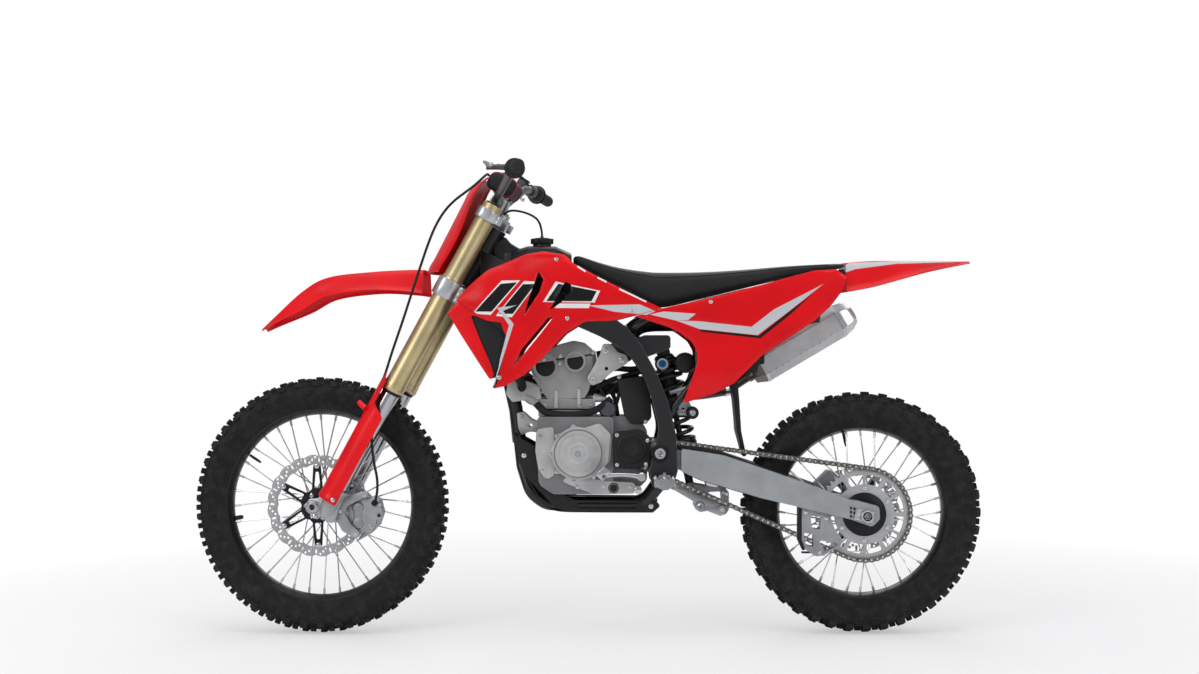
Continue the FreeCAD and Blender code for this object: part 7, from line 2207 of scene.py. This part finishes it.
def rivet_rows(side, turns):
    """Rivets along two edges of the silencer's flat side, at these angles in degrees round its axis."""
    at = np.array([silencer_axis(along) + 48.4 * math.sin(math.radians(turn)) * SILENCER_UP
                   for along in range(74, 310, 20) for turn in turns])
    at[:, 1] = 124 + side * 41.9 + 0.006 * (at[:, 0] - 1160)
    dot = turned([(2.4, 0), (2.2, 1.2), (1.2, 1.9), (0.1, 2.1)], (0, 0, 0), (0, 0, 1), 10)
    return repeated(dot, standing(at, (0, side, 0)))


def dress_exhaust():
    can = six_sided([(60, 36), (60, 47.6), (64, 48.4), (316, 48.4), (318, 47.6), (318, 36)])
    on_chassis("silencer_can", can, SILENCER_ALLOY, "silencer", round_over=12, bevel=1.2)
    front = six_sided([(30, 20), (30, 34), (58, 46.6), (63, 46.6), (63, 30)])
    rear = [(316, 30), (316, 46.8), (320, 47.2), (342, 42), (360, 30), (361, 26), (360, 20), (330, 18)]
    on_chassis("silencer_front_cone", front, HEATED_GREY, round_over=25, bevel=1.0)
    on_chassis("silencer_end_cap", six_sided(rear), BRIGHT, round_over=20, bevel=0.8)
    bore = turned([(0.1, 331), (18, 331), (18.5, 362), (21, 362), (21, 358), (19.5, 329), (0.1, 329)],
                  SILENCER_START, SILENCER_WAY, 32)
    on_chassis("silencer_outlet", bore, DARK_CASE)
    bands = [six_sided([(along - 4, 44), (along - 4, 49.2), (along + 4, 49.2), (along + 4, 44)])
             for along in (66, 312)]
    on_chassis("silencer_bands", joined(*bands), MACHINED, round_over=20)
    on_chassis("silencer_rivets", joined(rivet_rows(-1, (150, 210)), rivet_rows(1, (330, 30))), BRIGHT)
    strap = joined(side_cut([(1330, 838, 8), (1372, 850, 8), (1386, 960.7, 8), (1358, 955.2, 8)],
                            [rounded([(1346, 870, 5), (1364, 876, 5), (1372, 930, 5), (1358, 930, 5)], 4)],
                            66, 72.5, 1.4),
                   box((1346, 1371), (66.5, 84), (846.5, 857.5)),
                   side_bolts([(1350, 852), (1368, 948)], 72.5, 5, 5))
    on_chassis("silencer_hanger", strap, FRAME_BLACK)
    route = smooth_line([(571.5, 0, 718.8), (558, 1, 703), (553, 12, 682), (556, 36, 664), (562, 60, 646),
                         (572, 84, 634), (604, 94, 633), (650, 96, 637), (710, 94, 654), (770, 91, 665),
                         (830, 76, 667), (872, 67, 665), (955, 64, 652), (1000, 66, 649), (1040, 80, 651),
                         (1090, 112, 657), (1118, 122, 662), (1160, 124, 692), (1184, 124.2, 706)], 170)
    on_chassis("header_tube", tube(route[4:], 18.9, 28), HEADER_STEEL, "header_pipe", round_over=60)
    joints = [turned([(19, 0), (22, 1), (22, 13), (19, 14), (19, 0)], route[k],
                     route[k + 1] - route[k - 1], 32)
              for k in (12, 108, 150)]
    on_chassis("header_clamps", joined(*joints), BRIGHT)
    shield = tube(route[52:84] + (0, 3.4, 0), 20.2, 28)
    on_chassis("header_heat_shield", shield, CAST_SILVER, round_over=50)
    stub = turned([(0.1, 12), (19, 12), (23, 18), (23, 32), (20, 36), (0.1, 36)],
                  SILENCER_START, SILENCER_WAY, 32)
    on_chassis("silencer_inlet", stub, HEATED_GREY)


def dress_breathing():
    boot = smooth_line([(754, 0, 744), (776, 0, 748), (800, 0, 754), (826, 0, 790), (850, 0, 828),
                        (880, 0, 845), (950, 0, 847), (1024, 0, 846)], 90)
    on_chassis("intake_boot", tube(boot, 24, 36), INK_RUBBER, "intake", round_over=60)
    body = joined(turned([(0.1, 0), (31, 0), (33, 3), (33, 42), (31, 45), (0.1, 45)], boot[18],
                         boot[19] - boot[17], 36),
                  side_cut([(778, 742, 6), (818, 748, 6), (822, 786, 8), (792, 790, 8)], [], -44, -26, 3.0),
                  flat_turned([(0.1, -54), (14, -54), (16, -52), (16, -44), (0.1, -44)], (802, 768), 32))
    on_chassis("throttle_body", body, DARK_CASE)
    clamps = [turned([(24.4, 0), (26.2, 1), (26.2, 8), (24.4, 9), (24.4, 0)], boot[k],
                     boot[k + 1] - boot[k - 1], 36)
              for k in (6, 48, 84)]
    on_chassis("intake_clamps", joined(*clamps), BRIGHT)
    dressed("airbox", BLACK_PLASTIC, 32, 2.0, "airbox_moulding")
    ribs = [side_cut([(1048 + k * 26, 730, 3), (1056 + k * 26, 731, 3), (1056 + k * 26, 850, 3),
                      (1048 + k * 26, 850, 3)], [], -64.5, -58, 1.0) for k in range(5)]
    tabs = side_cut([(1150, 746, 6), (1196, 752, 8), (1186, 712, 5), (1176, 706, 3), (1170, 712, 3),
                     (1162, 700, 4), (1152, 716, 4)], [], -60, -40, 1.6)
    on_chassis("airbox_ribs", both(joined(*ribs, tabs)), BLACK_PLASTIC)
    flap = side_cut([(1108, 738, 3), (1124, 738, 3), (1134, 690, 30), (1139, 634, 60), (1144, 552, 40),
                     (1158, 484, 3), (1149, 482, 3), (1132, 552, 40), (1124, 634, 60), (1112, 700, 30)],
                    [], -44, 44, 1.2)
    on_chassis("mud_flap", flap, BLACK_PLASTIC)


def dress_cooling():
    core = box((488, 506), (68, 132), (722, 892))
    on_chassis("radiator_cores", both(core), RADIATOR_CORE, "radiators", round_over=30)
    tanks = joined(side_cut([(480, 901, 5), (517, 909, 5), (520, 886, 4), (482, 880, 4)], [], 62, 138, 2.0),
                   side_cut([(505, 738, 4), (540, 738, 4), (540, 715, 6), (506, 705, 6)], [], 62, 138, 2.0),
                   turned([(0.1, 0), (17, 0), (17, 12), (14, 14), (0.1, 14)],
                          (498, 100, 902), (-0.2, 0, 1), 24))
    cheek = [side_cut([(482, 886, 2), (518, 886, 2), (538, 736, 2), (504, 732, 2)], [], y, y + 4, 0.8)
             for y in (62.5, 133.5)]
    on_chassis("radiator_tanks", both(joined(tanks, *cheek)), CAST_SILVER, "radiators")
    fin = box((487.2, 506.5), (68, 132), (0, 0.9))
    places = [[[1, 0, 0, 0], [0, 1, 0, 0], [0, 0, 1, 724 + 4.2 * k]] for k in range(40)]
    on_chassis("radiator_fins", both(repeated(fin, places)), DARK_CASE, round_over=30)
    frame = joined(*[side_cut([(473.6, 878.5, 3), (483.6, 879.5, 3), (505, 708, 3), (496, 707, 3)],
                              [], y, y + 3.6, 0.8)
                     for y in (66.2, 132.2)],
                   *[side_cut([(x0 - 5, z), (x0 + 6, z + 8), (x0 + 5.4, z + 10.6), (x0 - 5.6, z + 2.6)],
                              [], 68, 134, 0.5)
                     for x0, z in ((474.9 + (178 - 20 * k) * 24.0 / 191, 721 + 20 * k) for k in range(8))],
                   box((474.5, 483.5), (66.2, 135.8), (872, 879)),
                   box((495.5, 505), (66.2, 135.8), (707.5, 715)))
    on_chassis("louvre_frames", both(frame), BLACK_PLASTIC, "radiator_louvres")
    joint = limb([(520, -96, 722), (540, -90, 700), (552, -66, 680), (548, -46, 664)], [(12, 12)] * 4, 30, 16)
    other = limb([(512, 96, 720), (548, 88, 690), (580, 64, 680), (596, 30, 664)], [(11, 11)] * 4, 30, 16)
    on_chassis("coolant_hoses", joined(joint, other), INK_RUBBER, round_over=50)


def dress_tank():
    dressed("fuel_tank", TANK_PLASTIC, 40, 2.0, "fuel_tank_moulding")
    angle = np.linspace(0, 2 * math.pi, 96, endpoint=False)
    lobes = polar(29 + 2.2 * np.cos(8 * angle), angle) + (602, 0)
    cap = cut_plate(lobes, [], 1061.3, 1076, 1.8)
    cap = oriented((cap[0][:, [0, 2, 1]], cap[1]))
    top = joined(cap,
                 turned([(0.1, 0), (20, 0), (18, 2), (5, 2), (4, 7.6), (0.1, 7.8)],
                        (602, 0, 1075.9), (0, 0, 1), 40))
    on_chassis("tank_cap_lobed", top, BLACK_PLASTIC, "tank_cap")


def dress_front_wings():
    wing = bent_panel([(356, 870, 8), (392, 811, 60), (436, 743, 60), (470, 692, 6), (480, 706, 8),
                       (470, 736, 40), (440, 806, 60), (416, 868, 6), (464, 849, 2), (468, 854, 2),
                       (386, 905, 6)], [], lambda x, z: shroud_depth(x, z) - 4.0, 2.4)
    on_chassis("shroud_front_wings", both(wing), RED_PLASTIC, round_over=40)
    infill = bent_panel([(384, 872, 8), (470, 852, 20), (500, 846, 8), (512, 800, 8), (488, 700, 6),
                         (470, 696, 6), (432, 752, 40), (394, 818, 40)], [],
                        lambda x, z: shroud_depth(x, z) - 11.0, 2.4)
    on_chassis("shroud_front_infill", both(infill), BLACK_PLASTIC, round_over=40)


dress_shock()
dress_swingarm()
dress_chain_guide()
dress_linkage()
dress_rear_brake()
dress_exhaust()
dress_breathing()
dress_cooling()
dress_tank()
dress_front_wings()
